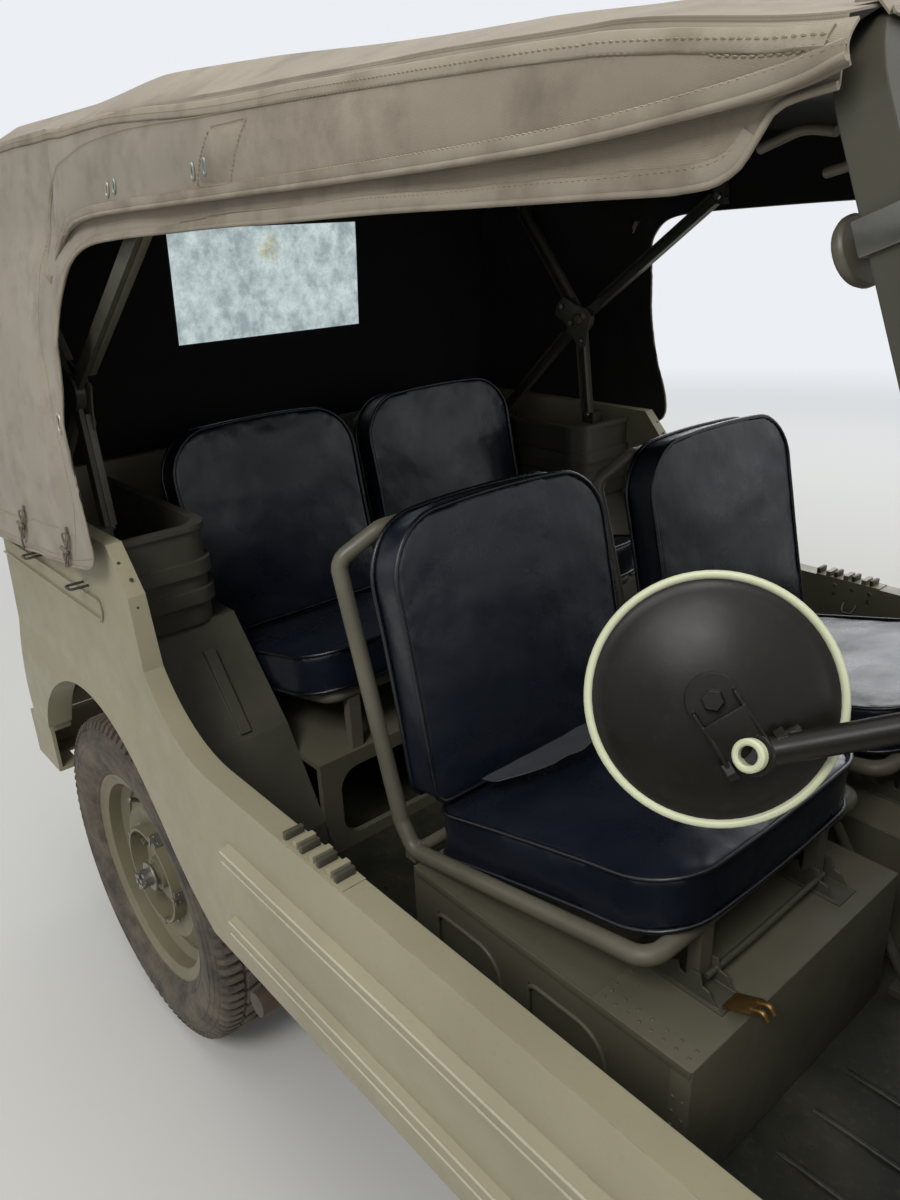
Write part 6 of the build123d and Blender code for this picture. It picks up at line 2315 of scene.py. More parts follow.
    def build(self) -> None:
        """Builds one tyre and one set of fittings and copies them to every wheel."""
        tyre = joined("tyre", [self.carcass(), self.tread()])
        smooth(tyre, 28)
        hub = self.fittings()
        for corner in Corner:
            name, x, y = corner.value
            place = Matrix.Translation((x, y, self.hub_height))
            if y < 0:
                place = place @ FLIP
            rides = "road_wheel_" + name
            dressed(copied(tyre, f"tread_{name}", place), TREAD, rides, [f"tyre_{name}"])
            dressed(copied(hub, f"hub_fittings_{name}", place), BRIGHT_STEEL, rides)
        place = Matrix.Translation(self.spare) @ Matrix.Rotation(math.radians(90), 4, "Z")
        dressed(copied(tyre, "tread_spare", place), TREAD, BODY, ["spare_tyre"])
        for piece in (tyre, hub):
            bpy.data.objects.remove(piece)


# Outside fittings

@dataclass
class Mirrors:
    """The two round mirrors on their bent arms, each with its clamp and foot."""

    centre: Point = (0.322, -0.756, 1.297)
    way: Point = (0.50, -0.76, 0.41)
    mouth: Point = (0.3568, -0.7727, 1.2826)
    mouth_way: Point = (0.10, -0.93, 0.35)
    shoulder: Point = (0.436, -0.706, 1.312)
    elbow: Point = (0.505, -0.672, 1.306)
    foot: Point = (0.505, -0.672, 1.085)
    tube_radius: float = 0.008

    def disc(self) -> None:
        """Turns the pale rim, the dark pressed back and the glass."""
        place = aimed(self.centre, self.way)
        rim = turned("mirror_rim", [(0.0655, -0.0062), (0.0695, -0.0060), (0.0714, -0.0045), (0.0716, 0.0010),
                                    (0.0708, 0.0030), (0.0692, 0.0038), (0.0676, 0.0032), (0.0668, 0.0018),
                                    (0.0655, -0.0062)], place, 72, 60)
        twins(rim, PALE_RIM)
        back = turned("mirror_back", [(0, 0.0128), (0.012, 0.0127), (0.025, 0.0116), (0.040, 0.0088),
                                      (0.052, 0.0056),
                                      (0.060, 0.0032), (0.0640, 0.0012), (0.0668, 0.0014), (0.0672, -0.0030),
                                      (0, -0.0030)], place, 72, 50)
        twins(back, MIRROR_PAINT, BODY, ["mirrors"])
        glass = turned("mirror_glass", [(0, -0.0028), (0.0660, -0.0028), (0.0662, -0.0060), (0.0650, -0.0066),
                                        (0, -0.0066)], place, 72, 20)
        twins(glass, MIRROR_GLASS)

    def bracket(self) -> None:
        """Builds the channel behind the disc, the open tube in it, its clamp, the bent arm and the foot."""
        way = Vector(self.way).normalized()
        base = Vector(self.centre) + way * 0.0115
        mouth, facing = Vector(self.mouth), Vector(self.mouth_way).normalized()
        inner = mouth - facing * 0.010
        forward = (mouth - base).normalized()
        side = forward.cross(way).normalized()
        pieces = [rod("pad", base - way * 0.003, base + way * 0.003, 0.0155, 24, 0.0008),
                  rod("nut", base, base + way * 0.009, 0.0065, 6, 0.0008)]
        end = mouth - way * 0.012
        for way_out in (-1, 1):
            offset = side * 0.0125 * way_out
            pieces.append(strip("cheek", base + way * 0.004 + offset, end + offset, way, 0.018, 0.0022))
        pieces.append(strip("bridge", base + way * 0.008 + forward * 0.010, end + way * 0.006, side, 0.0272,
                            0.0022))
        pieces.append(turned("socket", [(0.0055, -0.018), (0.0085, -0.018), (0.0085, 0.0), (0.0055, 0.0),
                                        (0.0055, -0.018)], aimed(mouth, facing), 24))
        pieces.append(turned("clamp", [(0.0083, -0.014), (0.0112, -0.014), (0.0118, -0.013), (0.0118, -0.006),
                                       (0.0112, -0.005), (0.0083, -0.005), (0.0083, -0.014)],
                                       aimed(mouth, facing), 28))
        bolt = mouth - facing * 0.0095
        for out in (0.0132, -0.0132):
            spot = bolt + side * out
            pieces.append(rod("bolt", spot, spot + side * math.copysign(0.006, out), 0.0062, 6, 0.0006))
        pieces.append(rod("bolt_tail", bolt - side * 0.016, bolt - side * 0.027, 0.0032, 10, 0.0005))
        arm = tube("arm", [inner, self.shoulder, self.elbow, self.foot], self.tube_radius, 0.034, sides=5)
        pieces += [arm, rod("joint", inner + facing * 0.004, inner - facing * 0.008, 0.0088, 24, 0.002)]
        pieces.append(turned("foot", [(0.0082, 0.030), (0.0125, 0.030), (0.0130, 0.028), (0.0132, 0.006),
                                      (0.020, 0.0035), (0.020, 0.0002), (0.0082, 0.0002)],
                             Matrix.Translation(self.foot), 28))
        twins(joined("mirror_arm", pieces), MIRROR_PAINT)
        ring = turned("mirror_tube_end",
                      [(0.0054, -0.006), (0.0054, 0.0012), (0.0064, 0.0022), (0.0080, 0.0022),
                                          (0.0092, 0.0010), (0.0092, -0.004), (0.0054, -0.006)],
                      aimed(mouth, facing), 24)
        twins(ring, PALE_RIM)
        twins(rod("mirror_tube_hollow", mouth - facing * 0.005, mouth - facing * 0.010, 0.0056, 16, 0.0),
              HARD_RUBBER)
        bolts = [((self.foot[0] + dx, self.foot[1], self.foot[2] + 0.0035), (0, 0, 1)) for dx in (-0.0165,
                                                                                                  0.0165)]
        twins(studs("mirror_foot_bolts", bolts, 0.003, 0.003, 6), BRIGHT_STEEL)

    def build(self) -> None:
        """Builds both mirrors."""
        self.disc()
        self.bracket()


@dataclass
class BodySides:
    """What is fixed to the body sides: mouldings, pale bead-edge rolls that paint the beads' highlights,
    screws, tab bolts, loops and staples.
    """

    inner: float = 0.655
    bead_front: float = 0.492

    def quarter_pressing(self) -> None:
        """Presses the shallow moulding under the hood's foot, which ends ahead of the arch."""
        lines = []
        for drop, radius in ((0.0, 0.0028), (0.034, 0.0022)):
            line = []
            for n in range(15):
                x = -1.395 + 0.512 * n / 14
                z = 0.989 - drop
                line.append((x, -0.6875 - 0.0042 * (1 - (z - 0.9) / 0.2), z))
            lines.append(tube("moulding", line, radius, sides=3))
        lines.append(tube("moulding_end",
                          [(-0.883, -0.6888, 0.989), (-0.877, -0.6890, 0.972), (-0.883, -0.6896, 0.955)],
                          0.0022, sides=3))
        twins(joined("quarter_moulding", lines), KHAKI)

    def bead_edges(self) -> None:
        """Rolls pale, glossy tubes along both edges of the two long beads pressed into each side panel, as
        painted highlights.
        """
        for name, rear, low, high in (("upper", -0.502, 0.700, 0.718), ("lower", -0.511, 0.562, 0.585)):
            rolls = [tube("roll", [(rear + 0.010, -y, z), (self.bead_front, -y, z)], 0.0022, sides=3)
                     for z, y in ((low, 0.7136), (high, 0.7144))]
            twins(joined(f"bead_edges_{name}", rolls), BEAD_HIGHLIGHT_PAINT)

    def fixings(self) -> None:
        """Sets the screws of the post, the sill's tab bolts and the wire loop inside the sill."""
        screws = [((-0.800, -0.674, 1.0735), (0.55, 0, 0.83)), ((-0.775, -0.668, 1.051), (0.9, 0, 0.43)),
                  ((-0.758, -0.672, 1.010), (0.97, 0, 0.2))]
        twins(studs("post_screws", screws, 0.0032, 0.0016), IRON)
        bolts = [((x, -self.inner, 0.790), (0, 1, 0)) for x in (-0.300, -0.262, -0.224)]
        bolts += [((x, -self.inner, 0.772), (0, 1, 0)) for x in (-0.300, -0.224)]
        twins(studs("tab_bolts", bolts, 0.0048, 0.0035, 6), BRIGHT_STEEL)
        ribs = []
        for k in range(4):
            x = -0.342 + 0.039 * k
            ribs.append(block("tab_rib", (x - 0.004, -0.688, 0.8055), (x + 0.004, -0.658, 0.8175), 0.002, 2))
        twins(joined("tab_ribs", ribs), CABIN)
        loop = [(-0.275, -0.6525, 0.758), (-0.275, -0.646, 0.750), (-0.272, -0.640, 0.740),
                (-0.252, -0.640, 0.740),
                (-0.249, -0.646, 0.750), (-0.249, -0.6525, 0.758)]
        twins(tube("strap_loop", loop, 0.0022, 0.006), BRIGHT_STEEL)

    def staples(self) -> None:
        """Sets the hood's lacing staples on the quarter panel, below the toggles."""
        pieces = []
        for x in (-1.160, -0.938):
            line = [(x - 0.012, -0.686, 1.006), (x - 0.012, -0.7165, 1.006), (x + 0.012, -0.7165, 1.006),
                    (x + 0.012, -0.686, 1.006)]
            pieces.append(tube("staple", line, 0.0024, 0.006))
        twins(joined("hood_staples", pieces), IRON)

    def build(self) -> None:
        """Builds the fittings of both sides."""
        self.quarter_pressing()
        self.bead_edges()
        self.fixings()
        self.staples()


@dataclass
class Windscreen:
    """Fittings of the windscreen frame: hood clamps, wipers, hinges and glazing rubber."""

    foot: Point = (0.486, 0.0, 1.085)
    rake: float = math.radians(21.2)
    half: float = 0.628
    length: float = 0.600

    def at(self, across: float, rise: float, out: float) -> Vector:
        """Gives a point from the screen's own measures."""
        up = Vector((-math.sin(self.rake), 0, math.cos(self.rake)))
        ahead = Vector((math.cos(self.rake), 0, math.sin(self.rake)))
        return Vector(self.foot) + Vector((0, across, 0)) + up * rise + ahead * out

    def slab(self, name: str, low: Point, high: Point, edge: float = 0.001) -> bpy.types.Object:
        """Adds a block in the screen's own measures: across, up the rake and out.

        Args:
            name: The block's name.
            low: Its low corner.
            high: Its high corner.
            edge: Radius of its edges.

        Returns:
            The block.
        """
        piece = block(name, low, high, edge)
        origin = self.at(0, 0, 0)
        columns = (self.at(1, 0, 0) - origin, self.at(0, 1, 0) - origin, self.at(0, 0, 1) - origin)
        turn = Matrix(columns).transposed().to_4x4()
        piece.data.transform(Matrix.Translation(origin) @ turn)
        if turn.determinant() < 0:
            piece.data.flip_normals()
        return piece

    def clamps(self) -> None:
        """Builds the band, knob and lever that hold the hood's front corner."""
        bands = [self.slab("band", (-0.6315, 0.468, -0.0045), (-0.5825, 0.489, 0.0335), 0.0015),
                 self.slab("band_lug", (-0.5835, 0.470, -0.016), (-0.5785, 0.487, 0.006), 0.001)]
        twins(joined("pillar_band", bands), WORN_STEEL)
        knob = aimed(self.at(-0.586, 0.478, -0.024), self.at(0.15, 0, -1) - self.at(0, 0, 0))
        disc = turned("knob", [(0, 0.007), (0.012, 0.0068), (0.0205, 0.0045), (0.0222, 0.0015),
                               (0.0222, -0.0015),
                               (0.0205, -0.0035), (0.006, -0.0045), (0.006, -0.020), (0, -0.020)], knob, 32)
        lever = tube("lever", [(0.270, -0.590, 1.588), (0.246, -0.584, 1.592), (0.210, -0.574, 1.583)],
                     0.0034, 0.010)
        hook = tube("hook", [(0.262, -0.583, 1.566), (0.285, -0.590, 1.570), (0.290, -0.592, 1.592)], 0.0032,
                    0.008)
        twins(joined("pillar_knob", [disc, lever, hook]), TUBE_PAINT)

    def wipers(self) -> None:
        """Builds two wipers that hang from the head of the frame, with their motor boxes inside."""
        for side, name in ((0.30, "driver"), (-0.30, "passenger")):
            top, low = 0.570, 0.315
            motor = self.slab("motor", (side - 0.045, top - 0.030, -0.040),
                              (side + 0.045, top + 0.014, -0.0005), 0.006)
            spindle = rod("spindle", self.at(side, top, -0.004), self.at(side, top, 0.044), 0.006, 16)
            cap = rod("cap", self.at(side, top, 0.030), self.at(side, top, 0.038), 0.013, 20)
            arm = tube("arm", [self.at(side, top, 0.040), self.at(side + 0.02, top - 0.10, 0.046),
                               self.at(side + 0.045, low + 0.10, 0.034)], 0.0028, 0.02)
            dressed(joined("wiper_" + name, [motor, spindle, cap, arm]), MIRROR_PAINT)
            start, end = self.at(side + 0.035, low + 0.20, 0.0262), self.at(side + 0.055, low, 0.0262)
            blade = strip("wiper_blade_" + name, start, end, (0, 1, 0), 0.006, 0.014, 0.001)
            dressed(blade, HARD_RUBBER)

    def glazing(self) -> None:
        """Runs the rubber that seats the pane, and the hinges at the frame's foot."""
        border = 0.042
        loops = []
        for out in (0.0105, 0.0195):
            corners = [self.at(y, v, out) for y, v in ((-self.half + border, border + 0.010),
                                                       (self.half - border, border + 0.010),
                                                       (self.half - border, self.length - border),
                                                       (-self.half + border, self.length - border))]
            line = []
            for a, b in zip(corners, corners[1:] + corners[:1]):
                line += [a.lerp(b, n / 12) for n in range(12)]
            loops.append(tube("seal", line, 0.0042, closed=True, sides=2))
        dressed(joined("screen_seal", loops), HARD_RUBBER)
        hinges = []
        for y in (-0.568, 0.568):
            hinges.append(rod("barrel", (0.5175, y - 0.030, 1.0935), (0.5175, y + 0.030, 1.0935), 0.0085, 20))
            hinges.append(block("leaf", (0.5175, y - 0.026, 1.0852), (0.5195, y + 0.026, 1.0905), 0.0005))
            hinges.append(rod("thumb_screw", (0.470, y, 1.112), (0.452, y, 1.112), 0.009, 16))
            hinges.append(strip("wing", (0.452, y - 0.020, 1.112), (0.452, y + 0.020, 1.112), (0, 0, 1),
                                0.012, 0.004))
        dressed(joined("screen_hinges", hinges), TUBE_PAINT)
        heads = [(self.at(y, v, 0.030), self.at(0, 0, 1) - self.at(0, 0, 0))
                 for y in (-0.607, 0.607) for v in (0.08, 0.24, 0.40, 0.55)]
        dressed(studs("screen_screws", heads, 0.0038, 0.0016), BRIGHT_STEEL)

    def build(self) -> None:
        """Builds all fittings of the screen."""
        self.clamps()
        self.wipers()
        self.glazing()


@dataclass
class SeatFurniture:
    """What belongs to the seats' boxes: pressings, riveted top plates, racks, catches and a loose flap."""

    box_top: float = 0.692
    out: float = 0.512
    floor: float = 0.480
    front: float = 0.176
    # Each arched pressing: rear end and front end along the car
    arches: Sequence[Point] = ((-0.250, -0.120), (-0.070, 0.060))

    def pressings(self) -> None:
        """Runs the raised rounded edge of each arched pressing on the box's outer face."""
        edges = []
        for rear, front in self.arches:
            y = -self.out - 0.0004
            low, top = self.floor + 0.040, self.box_top - 0.050
            line = [(rear, y, low), (rear, y, top - 0.012), (rear + 0.004, y, top - 0.004),
                    (rear + 0.012, y, top),
                    (front - 0.040, y, top), (front - 0.024, y, top - 0.005), (front - 0.010, y, top - 0.017),
                    (front - 0.003, y, top - 0.032), (front, y, top - 0.050), (front, y, low)]
            edges.append(tube("edge", line, 0.0034, 0.008, sides=3))
        twins(joined("box_pressing", edges), SHADE_DARKENED_BOX_KHAKI)

    def top_plate(self) -> None:
        """Lays the riveted plate at the front of each box top and rolls its front edge."""
        high = self.box_top
        pieces = [block("plate", (0.034, -self.out, high - 0.0005), (self.front, -0.040, high + 0.0014),
                        0.0006),
                  block("turned_edge", (-0.296, -self.out - 0.0016, high - 0.012),
                        (self.front, -self.out + 0.0004,
                                                                                   high + 0.0014), 0.0006),
                  block("corner_angle", (self.front - 0.026, -self.out - 0.0014, self.floor + 0.002),
                        (self.front + 0.0014, -self.out + 0.0004, high - 0.010), 0.0006)]
        pieces.append(block("front_skin", (self.front - 0.0004, -self.out, self.floor + 0.002),
                            (self.front + 0.0014, -0.040, high + 0.0010), 0.0006))
        twins(joined("box_top_plate", pieces), SHADE_DARKENED_BOX_KHAKI)
        spots = []
        for row, count in ((-0.500, 8), (-0.486, 7)):
            for place in spread((0.044, row, high + 0.0012), (0.164, row, high + 0.0012), count):
                spots.append((place, (0, 0, 1)))
        for place in spread((0.041, -0.474, high + 0.0012), (0.041, -0.080, high + 0.0012), 14):
            spots.append((place, (0, 0, 1)))
        for column, count in ((0.155, 6), (0.168, 5)):
            for place in spread((column, -self.out - 0.0014, 0.640), (column, -self.out - 0.0014, 0.530),
                                count):
                spots.append((place, (0, -1, 0)))
        twins(studs("box_rivets", spots, 0.0026, 0.0014, 8), SHADE_DARKENED_BOX_KHAKI)

    def racks(self) -> None:
        """Cuts the hooked adjuster racks below the front of each front seat, and their catch."""
        profile = [(0.020, 0.0), (0.022, 0.020), (0.034, 0.024), (0.040, 0.016), (0.046, 0.016),
                   (0.050, 0.030),
                   (0.062, 0.033), (0.064, 0.022), (0.072, 0.020), (0.078, 0.032), (0.090, 0.036),
                   (0.092, 0.024),
                   (0.100, 0.022), (0.106, 0.034), (0.120, 0.036), (0.124, 0.020), (0.134, 0.018),
                   (0.140, 0.008),
                   (0.150, 0.0)]
        pieces = []
        for y in (-0.422, -0.386, -0.156, -0.120):
            outline = [(x, y, self.box_top + 0.0012 + z) for x, z in profile]
            pieces.append(plate("rack", outline, (0, 1, 0), 0.003, 0.0006))
        for y in (-0.404, -0.138):
            pieces.append(block("shoe", (0.014, y - 0.022, self.box_top + 0.0010),
                                (0.156, y + 0.022, self.box_top + 0.0040),
                                0.001))
        pieces.append(tube("catch_bar", [(0.118, -0.404, 0.7125), (0.118, -0.300, 0.7100),
                                         (0.118, -0.138, 0.7125)],
                           0.0045, 0.02))
        twins(joined("seat_racks", pieces), CABIN)
        catch = [strip("blade", (0.150, -0.404, 0.700), (0.186, -0.404, 0.716), (0, 1, 0), 0.030, 0.003)]
        for y in (-0.411, -0.397):
            catch.append(tube("finger", [(0.182, y, 0.715), (0.196, y, 0.7205), (0.203, y, 0.712)], 0.0034,
                              0.006))
        twins(joined("seat_catch", catch), BRASS)

    def braces(self) -> None:
        """Welds the plates and tube ends that show behind and below the front backs."""
        pieces = []
        for y in (-0.050, -0.490):
            pieces.append(block("gusset", (-0.330, y - 0.012, 0.6925), (-0.296, y + 0.012, 0.6965), 0.001))
        heads = [((x, y, 0.6965), (0, 0, 1)) for x in (-0.323, -0.303) for y in (-0.050, -0.490)]
        twins(joined("seat_gussets", pieces), TUBE_PAINT)
        twins(studs("seat_bolts", heads, 0.0045, 0.0035, 6), BRIGHT_STEEL)
        hinge = [rod("pin", (-0.3120, -0.498, 0.7035), (-0.3120, -0.486, 0.7035), 0.014, 20),
                 rod("pin", (-0.3120, -0.054, 0.7035), (-0.3120, -0.042, 0.7035), 0.014, 20)]
        twins(joined("seat_pivots", hinge), TUBE_PAINT)

    def flap(self) -> None:
        """Lays the torn grey flap of seat cloth at the foot of the right front back."""
        mesh = bmesh.new()
        grid = []
        slope = math.tan(math.radians(13.9))
        for i in range(21):
            t = i / 20
            y = -0.418 + 0.262 * t
            reach = 0.016 + 0.052 * math.sin(math.pi * min(1.0, t * 0.94
                                                           + 0.06)) ** 0.7 + 0.004 * wave(t * 9, 1.0, 2.0)
            line = []
            for k in range(6):
                x = -0.252 + reach * k / 5
                lift = 0.0012 + 0.0075 * (k / 5) ** 2 * (0.4 + 0.6 * t) + 0.003 * wave(t * 6, k * 0.3, 5.0)
                line.append(mesh.verts.new((x, y, 0.8075 + (x + 0.290) * slope + max(0.0010, lift))))
            grid.append(line)
        for a, b in zip(grid, grid[1:]):
            for k in range(5):
                mesh.faces.new((a[k], a[k + 1], b[k + 1], b[k]))
        flap = from_mesh("seat_flap", mesh)
        modify(flap, "SOLIDIFY", thickness=0.0012, offset=0.0)
        dressed(smooth(flap, 60), WORN_VINYL)

    def build(self) -> None:
        """Builds the boxes' details."""
        self.pressings()
        self.top_plate()
        self.racks()
        self.braces()
        self.flap()


@dataclass
class HoodLinkage:
    """Fittings of the folding stays: a joint plate, bolts, flanges and the pivot's cap."""

    y: float = -0.616
    pivot: Point = (-0.998, 1.310)
    # Each stay: its far end along the car and its height
    ends: Sequence[Point] = ((-0.972, 1.080), (-0.628, 1.570), (-1.202, 1.570), (-1.280, 1.045))

    def build(self) -> None:
        """Builds the linkage's fittings on both sides."""
        px, pz = self.pivot
        outline = [(-1.070, 1.340), (-1.048, 1.362), (-1.010, 1.345), (-0.972, 1.334), (-0.958, 1.316),
                   (-0.968, 1.284), (-0.974, 1.248), (-0.994, 1.238), (-1.014, 1.262), (-1.044, 1.300),
                   (-1.076, 1.318)]
        joint = plate("joint_plate", [(x, self.y + 0.0050, z) for x, z in outline], (0, 1, 0), 0.003, 0.0008)
        flanges = [joint]
        for x, z in self.ends:
            away = Vector((x - px, 0, z - pz))
            side = Vector((away.z, 0, -away.x)).normalized()
            start = Vector((px, self.y + 0.003, pz)) + away * 0.16
            end = Vector((x, self.y + 0.003, z)) - away * 0.02
            for edge in (-0.0115, 0.0115):
                flanges.append(strip("flange", start + side * edge, end + side * edge, (0, 1, 0), 0.012,
                                     0.0016, 0.0004))
        twins(joined("stay_flanges", flanges), TUBE_PAINT)
        inward = (0, 1, 0)
        spots = [((x, self.y + 0.0080, z), inward)
                 for x, z in ((-1.050, 1.338), (-0.978, 1.318), (-0.990, 1.258), (-1.020, 1.300))]
        spots += [((x, self.y + 0.0008, z), inward) for x, z in self.ends]
        twins(studs("stay_bolts", spots, 0.0075, 0.006, 6), BRIGHT_STEEL)
        caps = [((px, self.y + 0.010, pz), inward)]
        twins(studs("stay_pivot_cap", caps, 0.014, 0.007, 16), TUBE_PAINT)


@dataclass
class Cabin:
    """Driver's place and footwells: dials, switches, grab handle, pedal rubbers, gaiters and horn button."""

    dash: float = 0.470
    dash_middle: float = 1.012
    floor: float = 0.480
    wheel: Point = (0.205, 0.330, 1.060)
    column: Point = (-0.8, 0.0, 0.6)
    # Each dial: place across and radius
    dials: Sequence[Point] = ((0.060, 0.046), (-0.050, 0.032), (0.162, 0.030))

    def dashboard(self) -> None:
        """Sets the dials, their glasses and needles, the switches and the grab handle."""
        rims, faces, glasses, marks = [], [], [], []
        for y, radius in self.dials:
            place = aimed((self.dash, y, self.dash_middle), (-1, 0, 0))
            rims.append(turned("bezel", [(radius - 0.006, 0.002), (radius - 0.006, 0.009),
                                         (radius - 0.003, 0.0115),
                                         (radius, 0.0100), (radius + 0.002, 0.0005), (radius - 0.006, 0.0005),
                                         (radius - 0.006, 0.002)], place, 40))
            faces.append(turned("face", [(0, 0.0030), (radius - 0.006, 0.0030), (radius - 0.006, 0.0006),
                                         (0, 0.0006)],
                                place, 40))
            glasses.append(turned("glass", [(0, 0.0098), (radius - 0.0065, 0.0090), (radius - 0.0065, 0.0078),
                                            (0, 0.0086)], place, 40))
            for n in range(11):
                turn = math.radians(-135 + 27 * n)
                way = Vector((0, math.sin(turn), math.cos(turn)))
                middle = Vector((self.dash - 0.0032, y, self.dash_middle))
                marks.append(strip("mark", middle + way * (radius * 0.62), middle + way * (radius * 0.78),
                                   (-1, 0, 0), 0.0008, 0.0011, 0.0))
            marks.append(strip("needle", middle + Vector((-0.001, 0.002, -0.003)),
                               middle + Vector((-0.001, -0.013, 0.5 * radius)), (-1, 0, 0), 0.0008, 0.0014,
                               0.0))
        dressed(joined("dial_rims", rims), MIRROR_PAINT)
        dressed(joined("dial_faces", faces), HARD_RUBBER)
        dressed(joined("dial_marks", marks), PALE_RIM)
        dressed(joined("dial_glasses", glasses), SCREEN_GLASS)
        knobs = []
        for k in range(5):
            place = aimed((self.dash, -0.120 - 0.042 * k, self.dash_middle - 0.012), (-1, 0, 0))
            knobs.append(turned("switch", [(0, 0.026), (0.006, 0.0255), (0.0085, 0.023), (0.0085, 0.016),
                                           (0.004, 0.014),
                                           (0.004, 0.004), (0.009, 0.0035), (0.009, 0.0002), (0, 0.0002)],
                                           place, 20))
        dressed(joined("dash_switches", knobs), HARD_RUBBER)
        handle = tube("grab_handle", [(0.470, -0.380, 0.990), (0.430, -0.384, 0.990), (0.428, -0.400, 0.990),
                                      (0.428, -0.560, 0.990), (0.430, -0.576, 0.990), (0.470, -0.580, 0.990)],
                      0.0080, 0.016)
        feet = [rod("foot", (0.470, y, 0.990), (0.4655, y, 0.990), 0.017, 24) for y in (-0.380, -0.580)]
        dressed(joined("grab_handle", [handle, *feet]), TUBE_PAINT)
        warning = [((self.dash, y, 1.056), (-1, 0, 0)) for y in (0.110, 0.010)]
        dressed(studs("warning_lamps", warning, 0.0075, 0.007, 16), LENS)

    def pedals(self) -> None:
        """Covers each pedal with a ribbed rubber and sets the levers' gaiters."""
        rubbers = []
        for y in (0.210, 0.285, 0.358):
            turn = Matrix.Translation((0.448, y, 0.606)) @ Matrix.Rotation(math.radians(30), 4, "Y")
            parts = [block("pad", (-0.0095, -0.032, -0.034), (-0.0045, 0.032, 0.034), 0.0015)]
            for n in range(6):
                z = -0.027 + 0.0108 * n
                parts.append(block("rib", (-0.0125, -0.029, z - 0.0024), (-0.009, 0.029, z + 0.0024), 0.0010,
                                   1))
            for part in parts:
                part.data.transform(turn)
            rubbers += parts
        for x, y, wide in ((0.330, 0.0, 0.036), (0.290, -0.052, 0.024), (0.290, 0.052, 0.024)):
            rubbers.append(turned("gaiter",
                                  [(0, 0.062), (0.0095, 0.062), (0.0100, 0.052), (wide * 0.52, 0.046),
                                             (wide * 0.50, 0.040), (wide * 0.70, 0.034), (wide * 0.66, 0.028),
                                             (wide * 0.92, 0.020), (wide, 0.014), (wide, 0.0122),
                                             (0, 0.0122)],
                                  Matrix.Translation((x, y, self.floor)), 28))
        dressed(joined("pedal_rubbers", rubbers), HARD_RUBBER)

    def steering(self) -> None:
        """Sets the horn button on the wheel's hub and its screws."""
        way = Vector(self.column).normalized()
        hub = Vector(self.wheel)
        button = turned("horn", [(0, 0.026), (0.012, 0.0255), (0.020, 0.0230), (0.0225, 0.0190),
                                 (0.0225, 0.0155),
                                 (0.0280, 0.0152), (0.0290, 0.0140), (0, 0.0140)], aimed(hub, way), 36)
        dressed(smooth(button, 40), HARD_RUBBER, "steering_wheel")
        button.name = "horn_button"
        bolts = [(hub + way * 0.015 + Vector((0.6 * c, s, 0.8 * c)) * 0.0255, way)
                 for c, s in ((math.cos(t),
                               math.sin(t)) for t in (math.pi * (0.5 + n / 1.5) for n in range(3)))]
        dressed(studs("wheel_screws", bolts, 0.0022, 0.0014, 10), BRIGHT_STEEL, "steering_wheel")

    def floor_ribs(self) -> None:
        """Presses the shallow ribs of the floor, with the drain bungs between them."""
        ribs = []
        for side in (-1, 1):
            for k in range(4):
                y = side * (0.20 + 0.085 * k)
                ribs.append(tube("rib", [(0.215, y, self.floor - 0.0022), (0.250, y, self.floor + 0.0004),
                                         (0.400, y, self.floor + 0.0004), (0.440, y, self.floor - 0.0022)],
                                         0.0052,
                                 0.02, sides=2))
        dressed(joined("floor_ribs", ribs), FLOOR_PAINT)
        bungs = [((x, y, self.floor), (0, 0, 1)) for x in (0.50, -0.46) for y in (-0.30, 0.30)]
        dressed(studs("floor_bungs", bungs, 0.018, 0.003, 20), HARD_RUBBER)

    def build(self) -> None:
        """Builds the driver's place and the footwells."""
        self.dashboard()
        self.pedals()
        self.steering()
        self.floor_ribs()


